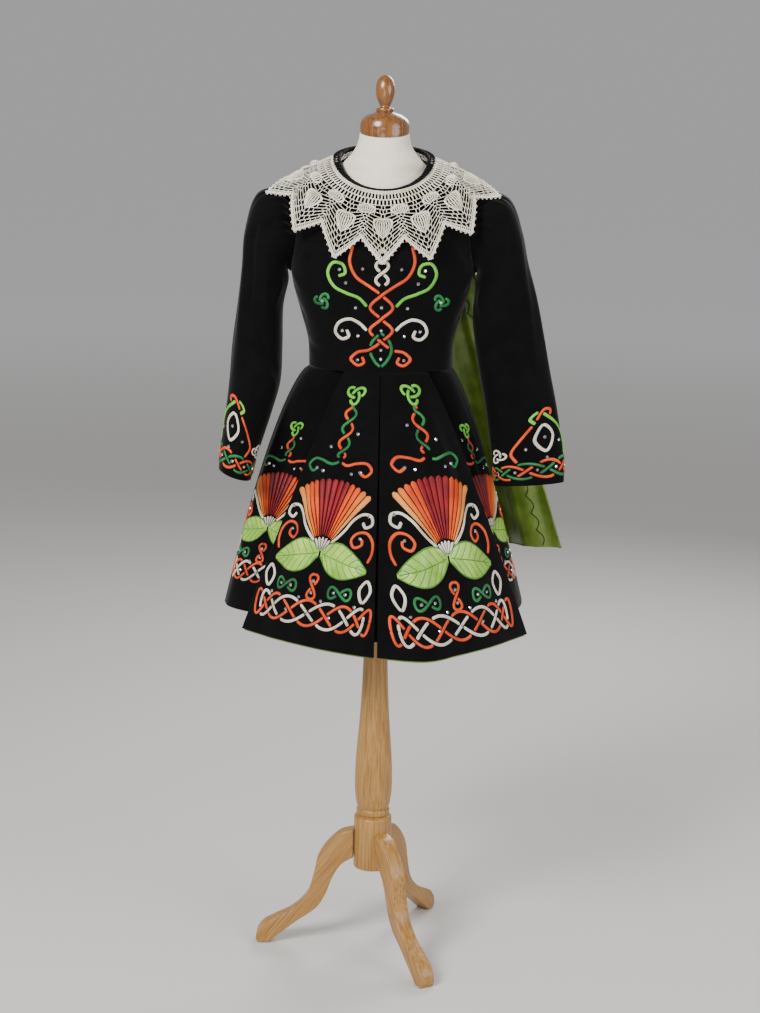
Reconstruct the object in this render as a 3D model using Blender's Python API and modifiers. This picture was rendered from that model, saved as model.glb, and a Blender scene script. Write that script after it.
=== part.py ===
"""Irish dance dress on a limbless dress form with a turned wooden stand.

Metres, +Z up, floor at z = 0. The wearer's front faces -Y. The sizes below are measured from
the axis of the stand's pole; one parent empty then shifts the whole model so that its outline is
centred on the origin. Every piece of cloth is its outer surface with a wall turned inwards.
"""

import math
from collections import namedtuple

import bmesh
import bpy
from mathutils import Vector

# ---------------------------------------------------------------- driving sizes
SHIFT = (-0.0269, -0.0013, 0.0)  # stand axis to the middle of the whole outline
GAP = 0.0003  # between pieces that meet at a seam

VELVET = 0.0016  # wall of the velvet with its interlining
SATIN = 0.0011  # wall of the satin lining
LACE = 0.0016  # thickness of the crochet
SEAM_STEP = 0.0019  # from the armhole's edge to the sleeve's, inwards and outwards

WAIST_Z = 0.989
HEM_Z = 0.563
UNDERARM_Z = 1.135
SHOULDER_Z = 1.268
NECK_FRONT_Z = 1.263
NECK_SIDE_Z = 1.311
NECK_BACK_Z = 1.330
NECK_HALF_WIDTH = 0.0675
NECK_FRONT_DEPTH = 0.0765
NECK_BACK_DEPTH = 0.0625
SHOULDER_RIDGE = 0.007  # rounds the shoulder, for each unit of pinch above 1

# ---------------------------------------------------------------- tables
# Cross-sections of the worn bodice, outside. A pinch above 1 draws the section in towards the
# shoulder ridge, where the front and the back meet.
BodySection = namedtuple("BodySection", "z half_width front back front_pinch back_pinch")
BODICE = (
    BodySection(0.989, 0.1145, 0.0925, 0.0840, 1.0, 1.0),
    BodySection(1.030, 0.1165, 0.0960, 0.0860, 1.0, 1.0),
    BodySection(1.070, 0.1270, 0.1040, 0.0920, 1.0, 1.0),
    BodySection(1.110, 0.1390, 0.1100, 0.0990, 1.0, 1.0),
    BodySection(1.150, 0.1455, 0.1110, 0.1050, 1.0, 1.0),
    BodySection(1.190, 0.1460, 0.1050, 0.1060, 1.05, 1.0),
    BodySection(1.220, 0.1440, 0.0955, 0.1040, 1.15, 1.05),
    BodySection(1.245, 0.1405, 0.0845, 0.0990, 1.35, 1.1),
    BodySection(1.268, 0.1335, 0.0745, 0.0910, 1.8, 1.2),
    BodySection(1.285, 0.1130, 0.0680, 0.0830, 3.0, 1.3),
    BodySection(1.300, 0.0890, 0.0620, 0.0740, 3.2, 1.3),
    BodySection(1.311, 0.0700, 0.0570, 0.0660, 1.6, 1.2),
    BodySection(1.331, 0.0520, 0.0500, 0.0620, 1.0, 1.0),
)
# Dress form: hips to neck. The last rings tilt forward to meet the wooden cap.
FormSection = namedtuple("FormSection", "z half_width front back front_pinch back_pinch tilt")
FORM = (
    FormSection(0.900, 0.0930, 0.0680, 0.0640, 1.0, 1.0, 0.0),
    FormSection(0.950, 0.0940, 0.0690, 0.0650, 1.0, 1.0, 0.0),
    FormSection(0.990, 0.0945, 0.0700, 0.0660, 1.0, 1.0, 0.0),
    FormSection(1.040, 0.1030, 0.0830, 0.0740, 1.0, 1.0, 0.0),
    FormSection(1.090, 0.1200, 0.0980, 0.0860, 1.0, 1.0, 0.0),
    FormSection(1.150, 0.1330, 0.1040, 0.0970, 1.0, 1.0, 0.0),
    FormSection(1.200, 0.1330, 0.0940, 0.0970, 1.05, 1.0, 0.0),
    FormSection(1.240, 0.1300, 0.0790, 0.0910, 1.3, 1.1, 0.0),
    FormSection(1.262, 0.1220, 0.0715, 0.0830, 1.7, 1.2, 0.0),
    FormSection(1.279, 0.1040, 0.0655, 0.0770, 2.9, 1.3, 0.0),
    FormSection(1.294, 0.0810, 0.0600, 0.0700, 3.1, 1.3, 0.0),
    FormSection(1.308, 0.0650, 0.0550, 0.0600, 1.5, 1.1, 0.0),
    FormSection(1.322, 0.0520, 0.0480, 0.0530, 1.0, 1.0, 0.05),
    FormSection(1.336, 0.0430, 0.0425, 0.0450, 1.0, 1.0, 0.18),
    FormSection(1.3560, 0.0385, 0.0385, 0.0385, 1.0, 1.0, 0.22),
)
# Edges of the bodice pieces, as angles round the body (0 centre front, 90 side, 180 centre back).
FrontRow = namedtuple("FrontRow", "z neck_deg side_deg")
FRONT_ROWS = (
    FrontRow(0.9893, 0.0, 89.8),
    FrontRow(1.025, 0.0, 89.8),
    FrontRow(1.060, 0.0, 89.8),
    FrontRow(1.100, 0.0, 89.8),
    FrontRow(1.135, 0.0, 89.8),
    FrontRow(1.147, 0.0, 79.0),
    FrontRow(1.167, 0.0, 70.0),
    FrontRow(1.195, 0.0, 66.0),
    FrontRow(1.222, 0.0, 69.0),
    FrontRow(1.246, 0.0, 77.0),
    FrontRow(1.263, 0.0, 86.0),
    FrontRow(1.270, 15.0, 89.0),
    FrontRow(1.285, 30.0, 89.0),
    FrontRow(1.297, 45.0, 89.0),
    FrontRow(1.3055, 62.0, 89.0),
)
BackRow = namedtuple("BackRow", "z side_deg centre_deg")
BACK_ROWS = (
    BackRow(0.9893, 90.2, 179.8),
    BackRow(1.030, 90.2, 179.8),
    BackRow(1.080, 90.2, 179.8),
    BackRow(1.135, 90.2, 179.8),
    BackRow(1.147, 100.0, 179.8),
    BackRow(1.167, 108.0, 179.8),
    BackRow(1.195, 112.0, 179.8),
    BackRow(1.222, 109.0, 179.8),
    BackRow(1.246, 102.0, 179.8),
    BackRow(1.263, 94.0, 179.8),
    BackRow(1.270, 91.0, 179.8),
    BackRow(1.290, 91.0, 179.8),
    BackRow(1.3055, 91.0, 179.8),
    BackRow(1.318, 118.0, 179.8),
    BackRow(1.327, 152.0, 179.8),
)
FRONT_COLUMNS = 8  # on each half
BACK_COLUMNS = 7

# Sleeve rings from the gathered head down to the cuff hem. Lean turns a ring's outer side up.
SleeveRing = namedtuple("SleeveRing", "x y z half_width half_depth lean_deg gather")
SLEEVE_RIGHT = (
    SleeveRing(0.1560, 0.002, 1.2060, 0.0650, 0.058, 85, 0.0030),
    SleeveRing(0.1745, 0.002, 1.1975, 0.0660, 0.062, 68, 0.0026),
    SleeveRing(0.1835, 0.002, 1.1670, 0.0500, 0.061, 46, 0.0016),
    SleeveRing(0.1860, 0.002, 1.1370, 0.0400, 0.059, 21, 0.0006),
    SleeveRing(0.1935, 0.000, 1.0850, 0.0370, 0.057, 4, 0.0),
    SleeveRing(0.198, -0.002, 1.0200, 0.0405, 0.054, 2, 0.0),
    SleeveRing(0.201, -0.005, 0.9650, 0.0410, 0.051, 3, 0.0),
    SleeveRing(0.2095, -0.010, 0.9200, 0.0370, 0.048, 8, 0.0),
    SleeveRing(0.2265, -0.018, 0.8450, 0.0300, 0.045, 14, 0.0),
    SleeveRing(0.232, -0.020, 0.8130, 0.0275, 0.044, 20, 0.0),
)
SLEEVE_LEFT = (
    SleeveRing(0.1560, 0.002, 1.2050, 0.0650, 0.058, 85, 0.0030),
    SleeveRing(0.1750, 0.002, 1.1960, 0.0660, 0.061, 68, 0.0026),
    SleeveRing(0.1850, 0.002, 1.1650, 0.0530, 0.058, 46, 0.0016),
    SleeveRing(0.1900, 0.002, 1.1320, 0.0470, 0.053, 27, 0.0006),
    SleeveRing(0.1965, 0.000, 1.0800, 0.0525, 0.046, 14, 0.0),
    SleeveRing(0.209, 0.000, 1.0100, 0.0550, 0.042, 13, 0.0),
    SleeveRing(0.2245, -0.002, 0.9400, 0.0565, 0.038, 12, 0.0),
    SleeveRing(0.235, -0.005, 0.8800, 0.0575, 0.032, 10, 0.0),
    SleeveRing(0.2415, -0.008, 0.8350, 0.0580, 0.025, 6, 0.0),
    SleeveRing(0.2435, -0.010, 0.8030, 0.0565, 0.022, 4, 0.0),
)
SLEEVE_COLUMNS = 28
GATHERS = 4  # troughs over the top of each sleeve head

# Skirt panels, from the waist seam to the hem. Bell below 1 makes the line swell near the waist.
PanelLine = namedtuple("PanelLine", "name waist_x waist_y hem_x hem_y bell")
FRONT_LEFT = (
    PanelLine("underlay", 0.0004, -0.0765, 0.0006, -0.122, 0.90),
    PanelLine("inner_fold", 0.0120, -0.0835, 0.0600, -0.143, 0.90),
    PanelLine("edge", 0.0004, -0.0925, 0.0024, -0.2145, 0.90),
    PanelLine("face", 0.0245, -0.0903, 0.0775, -0.2300, 0.90),
    PanelLine("face", 0.0440, -0.0854, 0.1280, -0.1900, 0.88),
    PanelLine("face", 0.0600, -0.0788, 0.1840, -0.1350, 0.88),
    PanelLine("edge", 0.0730, -0.0712, 0.2450, -0.0550, 0.88),
    PanelLine("inner_fold", 0.0580, -0.0721, 0.1650, 0.0200, 0.88),
)
SIDE_LEFT = (
    PanelLine("inner_fold", 0.0540, -0.0671, 0.1655, 0.0215, 0.88),
    PanelLine("face", 0.0726, -0.0629, 0.2050, 0.0560, 0.82),
    PanelLine("face", 0.0938, -0.0531, 0.2360, 0.0980, 0.78),
    PanelLine("face", 0.1076, -0.0316, 0.2490, 0.1400, 0.78),
    PanelLine("edge", 0.1144, -0.0030, 0.2530, 0.1810, 0.78),
    PanelLine("inner_fold", 0.1049, -0.0149, 0.1780, 0.1500, 0.80),
)
BACK_LEFT = (
    PanelLine("inner_fold", 0.0976, -0.0139, 0.1785, 0.1520, 0.80),
    PanelLine("face", 0.1064, 0.0080, 0.2080, 0.1860, 0.80),
    PanelLine("face", 0.1030, 0.0367, 0.1870, 0.2090, 0.80),
    PanelLine("face", 0.0573, 0.0727, 0.1000, 0.2240, 0.80),
    PanelLine("edge", 0.0004, 0.0840, 0.0020, 0.2180, 0.80),
    PanelLine("inner_fold", 0.0110, 0.0745, 0.0560, 0.1560, 0.85),
    PanelLine("underlay", 0.0004, 0.0690, 0.0006, 0.1350, 0.85),
)
FRONT_RIGHT = (
    PanelLine("underlay", 0.0004, -0.0765, 0.0006, -0.122, 0.90),
    PanelLine("inner_fold", 0.0120, -0.0835, 0.0600, -0.138, 0.90),
    PanelLine("edge", 0.0004, -0.0925, 0.0024, -0.2145, 0.90),
    PanelLine("face", 0.0160, -0.0916, 0.0560, -0.1880, 0.92),
    PanelLine("face", 0.0310, -0.0890, 0.1120, -0.1500, 0.93),
    PanelLine("face", 0.0440, -0.0854, 0.1670, -0.1030, 0.93),
    PanelLine("edge", 0.0560, -0.0807, 0.2180, -0.0490, 0.93),
    PanelLine("inner_fold", 0.0420, -0.0785, 0.1480, 0.0150, 0.90),
)
SIDE_RIGHT = (
    PanelLine("inner_fold", 0.0390, -0.0735, 0.1485, 0.0165, 0.90),
    PanelLine("face", 0.0590, -0.0710, 0.1920, 0.0440, 0.82),
    PanelLine("face", 0.0870, -0.0601, 0.2300, 0.0700, 0.72),
    PanelLine("face", 0.1060, -0.0350, 0.2530, 0.0980, 0.69),
    PanelLine("edge", 0.1144, -0.0030, 0.2610, 0.1300, 0.69),
    PanelLine("inner_fold", 0.1049, -0.0149, 0.1750, 0.1120, 0.75),
)
BACK_RIGHT = (
    PanelLine("inner_fold", 0.0976, -0.0139, 0.1755, 0.1140, 0.75),
    PanelLine("face", 0.1064, 0.0080, 0.2150, 0.1500, 0.75),
    PanelLine("face", 0.1030, 0.0367, 0.1960, 0.1900, 0.78),
    PanelLine("face", 0.0573, 0.0727, 0.1080, 0.2200, 0.80),
    PanelLine("edge", 0.0004, 0.0840, 0.0020, 0.2180, 0.80),
    PanelLine("inner_fold", 0.0110, 0.0745, 0.0560, 0.1560, 0.85),
    PanelLine("underlay", 0.0004, 0.0690, 0.0006, 0.1350, 0.85),
)
SKIRT_DROPS = (0.0, 0.06, 0.14, 0.24, 0.36, 0.50, 0.64, 0.78, 0.90, 1.0)
FACE_COLUMNS = 8
RETURN_COLUMNS = 2
HEM_BAND = 0.93  # the satin shows from this share of the drop down to the hem
SATIN_BELOW_HEM = 0.0014

# Applique on the front and side panels: a ribbed fan over two broad satin leaves. Across runs
# along the cloth from the motif's upright line, away from the centre front, and low and high are
# heights over the motif's heart.
MotifPlace = namedtuple("MotifPlace", "share z scale")
MOTIF_FRONT_RIGHT = MotifPlace(0.50, 0.706, 0.92)
MOTIF_FRONT_LEFT = MotifPlace(0.50, 0.706, 1.0)
MOTIF_SIDE = MotifPlace(0.50, 0.712, 0.78)
PatchLine = namedtuple("PatchLine", "across low high")
FAN = (
    PatchLine(-0.076, 0.098, 0.102),
    PatchLine(-0.062, 0.083, 0.113),
    PatchLine(-0.040, 0.055, 0.122),
    PatchLine(-0.018, 0.028, 0.127),
    PatchLine(0.018, 0.028, 0.127),
    PatchLine(0.040, 0.055, 0.122),
    PatchLine(0.062, 0.083, 0.113),
    PatchLine(0.076, 0.098, 0.102),
)
LEAF = (
    PatchLine(0.002, -0.004, 0.008),
    PatchLine(0.020, -0.026, 0.021),
    PatchLine(0.040, -0.036, 0.023),
    PatchLine(0.060, -0.037, 0.015),
    PatchLine(0.080, -0.031, 0.001),
    PatchLine(0.098, -0.022, -0.017),
)
APPLIQUE = 0.0013
APPLIQUE_GAP = 0.0007  # over the velvet
PATCH_CELL = 0.022  # a wider cell is halved
NEAR_SHARE = 0.03  # steps for the slope of a panel's face
NEAR_Z = 0.005

# Collar: directions round the neck, with the neck edge, the tips' reach and the lift between.
CollarLine = namedtuple("CollarLine", "deg tip_x tip_y tip_z lift")
COLLAR = (
    CollarLine(0.0, 0.000, -0.1165, 1.158, 0.006),
    CollarLine(27.7, 0.074, -0.1090, 1.166, 0.010),
    CollarLine(55.4, 0.137, -0.0740, 1.204, 0.014),
    CollarLine(83.1, 0.182, -0.0270, 1.259, 0.006),
    CollarLine(110.8, 0.163, 0.0560, 1.263, 0.006),
    CollarLine(138.5, 0.110, 0.1060, 1.232, 0.008),
    CollarLine(166.2, 0.040, 0.1200, 1.222, 0.006),
    CollarLine(180.0, 0.000, 0.1210, 1.221, 0.005),
)
COLLAR_POINTS = 13  # vandyked points round the collar, one at the centre front
NOTCH_REACH = 0.70  # how far out the notch between two points lies
COLLAR_OPENING_DEG = 0.35
COLLAR_START = (0.0070, 0.0035)  # the neck edge's reach and rise from the neckline
# One repeat of the crochet: shares of its width, then its rounds from neck to tip. A full stop
# is a gap, a hash is worked solid; the narrow posts between the gaps are always worked.
POST_EDGES = (0.0, 0.035, 0.235, 0.275, 0.475, 0.525, 0.725, 0.765, 0.965)
Round = namedtuple("Round", "name depth cells")
ROUNDS = (
    Round("neck band", 0.105, "####"),
    Round("ladder", 0.095, "...."),
    Round("chain", 0.030, "####"),
    Round("inner pineapple", 0.190, "#..#"),
    Round("chain", 0.030, "####"),
    Round("outer pineapple", 0.220, ".##."),
    Round("chain", 0.030, "####"),
    Round("net of the point", 0.190, "...."),
    Round("picot edge", 0.110, "####"),
)

# Shawl: from the top edge down. Four places across it, from the inner edge to the outer.
ShawlRow = namedtuple("ShawlRow", "z x0 y0 x1 y1 x2 y2 x3 y3 rise wave")
SHAWL = (
    ShawlRow(1.262, 0.026, 0.0985, 0.052, 0.0925, 0.077, 0.0820, 0.098, 0.0670, 0.000, 0.0),
    ShawlRow(1.205, 0.030, 0.1085, 0.060, 0.1030, 0.088, 0.0930, 0.113, 0.0780, 0.000, 0.0),
    ShawlRow(1.160, 0.036, 0.1110, 0.070, 0.1070, 0.104, 0.0990, 0.136, 0.0900, 0.000, 0.001),
    ShawlRow(1.100, 0.044, 0.1090, 0.084, 0.1080, 0.124, 0.1060, 0.166, 0.1030, 0.000, 0.003),
    ShawlRow(1.040, 0.050, 0.1060, 0.094, 0.1080, 0.142, 0.1110, 0.188, 0.1120, 0.000, 0.004),
    ShawlRow(0.970, 0.058, 0.1170, 0.106, 0.1160, 0.160, 0.1180, 0.213, 0.1190, 0.000, 0.005),
    ShawlRow(0.890, 0.070, 0.1520, 0.120, 0.1440, 0.176, 0.1340, 0.239, 0.1250, 0.002, 0.006),
    ShawlRow(0.800, 0.083, 0.1830, 0.136, 0.1740, 0.196, 0.1560, 0.264, 0.1260, 0.006, 0.007),
    ShawlRow(0.720, 0.093, 0.2040, 0.148, 0.1950, 0.214, 0.1740, 0.286, 0.1270, 0.010, 0.008),
    ShawlRow(0.650, 0.100, 0.2140, 0.158, 0.2080, 0.228, 0.1860, 0.304, 0.1240, 0.016, 0.009),
)
SHAWL_COLUMNS = 12
SHAWL_WAVES = 2.4

# Turned pieces, top to bottom.
TurnPoint = namedtuple("TurnPoint", "radius z")
FINIAL = (
    TurnPoint(0.0000, 1.4440),
    TurnPoint(0.0060, 1.4425),
    TurnPoint(0.0115, 1.4370),
    TurnPoint(0.0145, 1.4280),
    TurnPoint(0.0150, 1.4200),
    TurnPoint(0.0138, 1.4110),
    TurnPoint(0.0105, 1.4020),
    TurnPoint(0.0080, 1.3970),
    TurnPoint(0.0085, 1.3945),
    TurnPoint(0.0135, 1.3930),
    TurnPoint(0.0140, 1.3905),
    TurnPoint(0.0135, 1.3885),
    TurnPoint(0.0000, 1.3885),
)
CapRing = namedtuple("CapRing", "radius z tilt")
NECK_CAP = (
    CapRing(0.0384, 1.3566, 0.22),
    CapRing(0.0388, 1.3640, 0.12),
    CapRing(0.0385, 1.3690, 0.03),
    CapRing(0.0350, 1.3770, 0.0),
    CapRing(0.0270, 1.3830, 0.0),
    CapRing(0.0170, 1.3862, 0.0),
    CapRing(0.0145, 1.3880, 0.0),
)
POLE = (
    TurnPoint(0.0000, 0.8995),
    TurnPoint(0.0160, 0.8995),
    TurnPoint(0.0165, 0.7000),
    TurnPoint(0.0180, 0.6000),
    TurnPoint(0.0202, 0.5000),
    TurnPoint(0.0238, 0.4150),
    TurnPoint(0.0298, 0.3350),
    TurnPoint(0.0313, 0.2950),
    TurnPoint(0.0306, 0.2700),
    TurnPoint(0.0275, 0.2500),
    TurnPoint(0.0255, 0.2450),
    TurnPoint(0.0275, 0.2420),
    TurnPoint(0.0275, 0.2360),
    TurnPoint(0.0255, 0.2330),
    TurnPoint(0.0300, 0.2300),
    TurnPoint(0.0315, 0.2270),
    TurnPoint(0.0315, 0.1430),
    TurnPoint(0.0295, 0.1400),
    TurnPoint(0.0000, 0.1400),
)
TURNED_STEPS = 20

LEG_THICKNESS = 0.026
LEG_DIRECTIONS_DEG = (28.5, 148.5, 268.5)  # from -Y towards +X
LegPoint = namedtuple("LegPoint", "reach z")
LEG_UPPER = (
    LegPoint(0.0319, 0.2060),
    LegPoint(0.0530, 0.2000),
    LegPoint(0.0760, 0.1790),
    LegPoint(0.0915, 0.1540),
    LegPoint(0.0990, 0.1200),
    LegPoint(0.1100, 0.0870),
    LegPoint(0.1335, 0.0620),
    LegPoint(0.1650, 0.0445),
    LegPoint(0.1840, 0.0335),
    LegPoint(0.1940, 0.0200),
)
LEG_LOWER = (
    LegPoint(0.1960, 0.0080),
    LegPoint(0.1925, 0.0000),
)
LEG_UNDER = (
    LegPoint(0.1760, 0.0000),
    LegPoint(0.1580, 0.0150),
    LegPoint(0.1240, 0.0420),
    LegPoint(0.0935, 0.0650),
    LegPoint(0.0780, 0.0900),
    LegPoint(0.0670, 0.1190),
    LegPoint(0.0520, 0.1440),
    LegPoint(0.0319, 0.1570),
)

BINDING_RADIUS = 0.0022
BINDING_PLACE = (0.0018, 0.0048)  # its middle's reach and rise from the neckline
BINDING_POINTS = 30
ZIP_PULL = (0.0050, 0.0020, 0.0240)  # width, thickness, length


# ---------------------------------------------------------------- scene helpers
def clear_scene():
    """Remove every object that the file opened with."""
    for item in list(bpy.data.objects):
        bpy.data.objects.remove(item, do_unlink=True)


def new_collection(name):
    """Return a new collection under the scene's own."""
    group = bpy.data.collections.new(name)
    bpy.context.scene.collection.children.link(group)
    return group


def principled(name, colour, roughness):
    """Return a Principled material of one colour."""
    material = bpy.data.materials.new(name)
    material.use_nodes = True
    shader = material.node_tree.nodes["Principled BSDF"]
    shader.inputs["Base Color"].default_value = (*colour, 1.0)
    shader.inputs["Roughness"].default_value = roughness
    shader.inputs["Metallic"].default_value = 0.0
    return material


def add_object(name, data, material):
    """Link an object with its own material under the parent empty."""
    item = bpy.data.objects.new(name, data)
    data.materials.append(material)
    PARTS.objects.link(item)
    item.parent = ORIGIN
    return item


def sheet_object(name, rows, material, wrap=False, keep=None, falling=False):
    """Make an open surface from rows of points, bottom to top, each row anticlockwise from above.

    keep(row, column) says which cells are worked; the rest stay open. Falling turns the cells'
    diagonals the other way, so that two layers made in opposite orders lie along each other.
    """
    mesh = bpy.data.meshes.new(name)
    build = bmesh.new()
    grid = [[build.verts.new(point) for point in row] for row in rows]
    columns = len(rows[0]) if wrap else len(rows[0]) - 1
    for r in range(len(rows) - 1):
        for c in range(columns):
            if keep and not keep(r, c):
                continue
            d = (c + 1) % len(rows[0])
            near, far, over, back = grid[r][c], grid[r][d], grid[r + 1][d], grid[r + 1][c]
            if falling:
                build.faces.new((near, far, back))
                build.faces.new((far, over, back))
            else:
                build.faces.new((near, far, over))
                build.faces.new((near, over, back))
    loose = [vertex for vertex in build.verts if not vertex.link_faces]
    bmesh.ops.delete(build, geom=loose, context="VERTS")
    build.to_mesh(mesh)
    build.free()
    mesh.shade_smooth()
    return add_object(name, mesh, material)


def add_wall(item, thickness):
    """Give an outer surface its wall, turned inwards."""
    wall = item.modifiers.new("wall", "SOLIDIFY")
    wall.thickness = thickness
    wall.offset = -1.0
    wall.use_rim = True
    return item


def solid_from_rings(name, rings, material):
    """Close a stack of rings, bottom to top, with a flat cap at each end."""
    mesh = bpy.data.meshes.new(name)
    build = bmesh.new()
    loops = [[build.verts.new(point) for point in ring] for ring in rings]
    count = len(rings[0])
    for low, high in zip(loops, loops[1:]):
        for c in range(count):
            d = (c + 1) % count
            build.faces.new((low[c], low[d], high[d], high[c]))
    build.faces.new(list(reversed(loops[0])))
    build.faces.new(loops[-1])
    build.to_mesh(mesh)
    build.free()
    mesh.shade_smooth()
    mesh.set_sharp_from_angle(angle=math.radians(50))
    return add_object(name, mesh, material)


def turned(name, profile, material):
    """Turn a profile, given top to bottom, about the Z axis."""
    mesh = bpy.data.meshes.new(name)
    points = [(point.radius, 0.0, point.z) for point in profile]
    mesh.from_pydata(points, [(i, i + 1) for i in range(len(points) - 1)], [])
    item = add_object(name, mesh, material)
    screw = item.modifiers.new("turn", "SCREW")
    screw.steps = TURNED_STEPS
    screw.render_steps = TURNED_STEPS
    screw.use_merge_vertices = True
    screw.merge_threshold = 0.0001
    screw.use_smooth_shade = True
    return item


# ---------------------------------------------------------------- curves
def smooth_value(xs, ys, x):
    """Read a smooth curve through (xs, ys) at x."""
    if x <= xs[0]:
        return ys[0]
    if x >= xs[-1]:
        return ys[-1]
    i = max(k for k in range(len(xs) - 1) if xs[k] <= x)

    def slope(k):
        a, b = max(k - 1, 0), min(k + 1, len(xs) - 1)
        return (ys[b] - ys[a]) / (xs[b] - xs[a])

    span = xs[i + 1] - xs[i]
    t = (x - xs[i]) / span
    rise_in = slope(i) * span * (t ** 3 - 2 * t ** 2 + t)
    rise_out = slope(i + 1) * span * (t ** 3 - t ** 2)
    blend = 2 * t ** 3 - 3 * t ** 2
    return ys[i] * (blend + 1) - ys[i + 1] * blend + rise_in + rise_out


def read_table(table, column, value):
    """Return a row of the table at a value of one of its columns, smooth between rows."""
    xs = [getattr(row, column) for row in table]
    fields = table[0]._fields
    return type(table[0])(*(smooth_value(xs, [getattr(row, f) for row in table], value)
                            for f in fields))


def smooth_path(points, steps, closed=False):
    """Return points at even steps along a smooth curve through the given points."""
    pts = [Vector(p) for p in points]
    if closed:
        pts = pts + [pts[0]]
    lengths = [0.0]
    for a, b in zip(pts, pts[1:]):
        lengths.append(lengths[-1] + (b - a).length)
    if closed:
        lengths = [-lengths[1], *lengths, lengths[-1] + lengths[1]]
        lengths[0] = -(pts[-1] - pts[-2]).length
        pts = [pts[-2], *pts, pts[1]]
    total = lengths[-2] if closed else lengths[-1]
    count = steps if closed else steps + 1
    axes = range(len(pts[0]))
    columns = [[p[a] for p in pts] for a in axes]
    return [Vector([smooth_value(lengths, columns[a], total * k / steps) for a in axes])
            for k in range(count)]


def straight_path(points, steps):
    """Return points at even steps round a closed outline of straight sides."""
    ring = [*points, points[0]]
    ends = [0.0]
    for a, b in zip(ring, ring[1:]):
        ends.append(ends[-1] + (b - a).length)
    path = []
    for k in range(steps):
        along = ends[-1] * k / steps
        i = max(n for n in range(len(points)) if ends[n] <= along)
        path.append(ring[i].lerp(ring[i + 1], (along - ends[i]) / (ends[i + 1] - ends[i])))
    return path


def moved_out(rows, distance):
    """Move each point of a sheet along the sheet's outward direction."""
    moved = []
    last_row, last_column = len(rows) - 1, len(rows[0]) - 1
    for r, row in enumerate(rows):
        moved.append([])
        for c, point in enumerate(row):
            across = row[min(c + 1, last_column)] - row[max(c - 1, 0)]
            upwards = rows[min(r + 1, last_row)][c] - rows[max(r - 1, 0)][c]
            moved[-1].append(point + across.cross(upwards).normalized() * distance)
    return moved


def round_section(row, degrees):
    """Return the point of a body section at an angle round it."""
    turn = math.radians(degrees)
    across, ahead = math.sin(turn), abs(math.cos(turn))
    if math.cos(turn) >= 0:
        depth, pinch, way = row.front, row.front_pinch, -1.0
    else:
        depth, pinch, way = row.back, row.back_pinch, 1.0
    ridge = SHOULDER_RIDGE * max(pinch - 1.0, 0.0) * math.sqrt(ahead) * (1.0 - ahead)
    return Vector((row.half_width * across, way * (depth * ahead ** pinch + ridge), row.z))


def bodice_point(degrees, z):
    """Return the point of the bodice's outer surface at an angle and a height."""
    return round_section(read_table(BODICE, "z", z), degrees)


def mirrored(rows):
    """Mirror rows of points across the centre plane, keeping them anticlockwise."""
    return [[Vector((-p.x, p.y, p.z)) for p in reversed(row)] for row in rows]


# ---------------------------------------------------------------- bodice
def bodice_front():
    """One piece from side seam to side seam, with the front of the armholes and the neck."""
    rows = []
    for row in FRONT_ROWS:
        step = (row.side_deg - row.neck_deg) / FRONT_COLUMNS
        rows.append([bodice_point(row.neck_deg + step * c, row.z)
                     for c in range(FRONT_COLUMNS + 1)])
    item = sheet_object("bodice_front", rows, principled("black_velvet_front", (0.012,) * 3, 0.85))
    mirror = item.modifiers.new("other_half", "MIRROR")
    mirror.use_axis = (True, False, False)
    mirror.merge_threshold = 0.0001
    return add_wall(item, VELVET)


def bodice_back(side):
    """One half of the back, from the side seam to the zip at the centre."""
    rows = []
    for row in BACK_ROWS:
        step = (row.centre_deg - row.side_deg) / BACK_COLUMNS
        rows.append([bodice_point(row.side_deg + step * c, row.z)
                     for c in range(BACK_COLUMNS + 1)])
    if side == "right":
        rows = mirrored(rows)
    velvet = principled(f"black_velvet_back_{side}", (0.012,) * 3, 0.85)
    return add_wall(sheet_object(f"bodice_back_{side}", rows, velvet), VELVET)


def neckline(degrees, reach, rise):
    """Return a point of a ring round the neck, a reach out from the neckline and a rise above."""
    turn = math.radians(degrees)
    across, ahead = math.sin(turn), math.cos(turn)
    if ahead >= 0:
        y = -(NECK_FRONT_DEPTH + reach) * ahead
        z = NECK_FRONT_Z + (NECK_SIDE_Z - NECK_FRONT_Z) * (1 - ahead)
    else:
        y = -(NECK_BACK_DEPTH + reach) * ahead
        z = NECK_SIDE_Z + (NECK_BACK_Z - NECK_SIDE_Z) * -ahead
    return Vector(((NECK_HALF_WIDTH + reach) * across, y, z + rise))


def neck_binding():
    """A narrow roll round the neck, open at the zip."""
    curve = bpy.data.curves.new("neck_binding", "CURVE")
    curve.dimensions = "3D"
    curve.bevel_depth = BINDING_RADIUS
    curve.bevel_resolution = 1
    curve.use_fill_caps = True
    spline = curve.splines.new("POLY")
    spline.points.add(BINDING_POINTS)
    for k, point in enumerate(spline.points):
        degrees = -179.0 + 358.0 * k / BINDING_POINTS
        point.co = (*neckline(degrees, *BINDING_PLACE), 1.0)
    return add_object("neck_binding", curve, principled("black_binding", (0.015,) * 3, 0.7))


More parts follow.
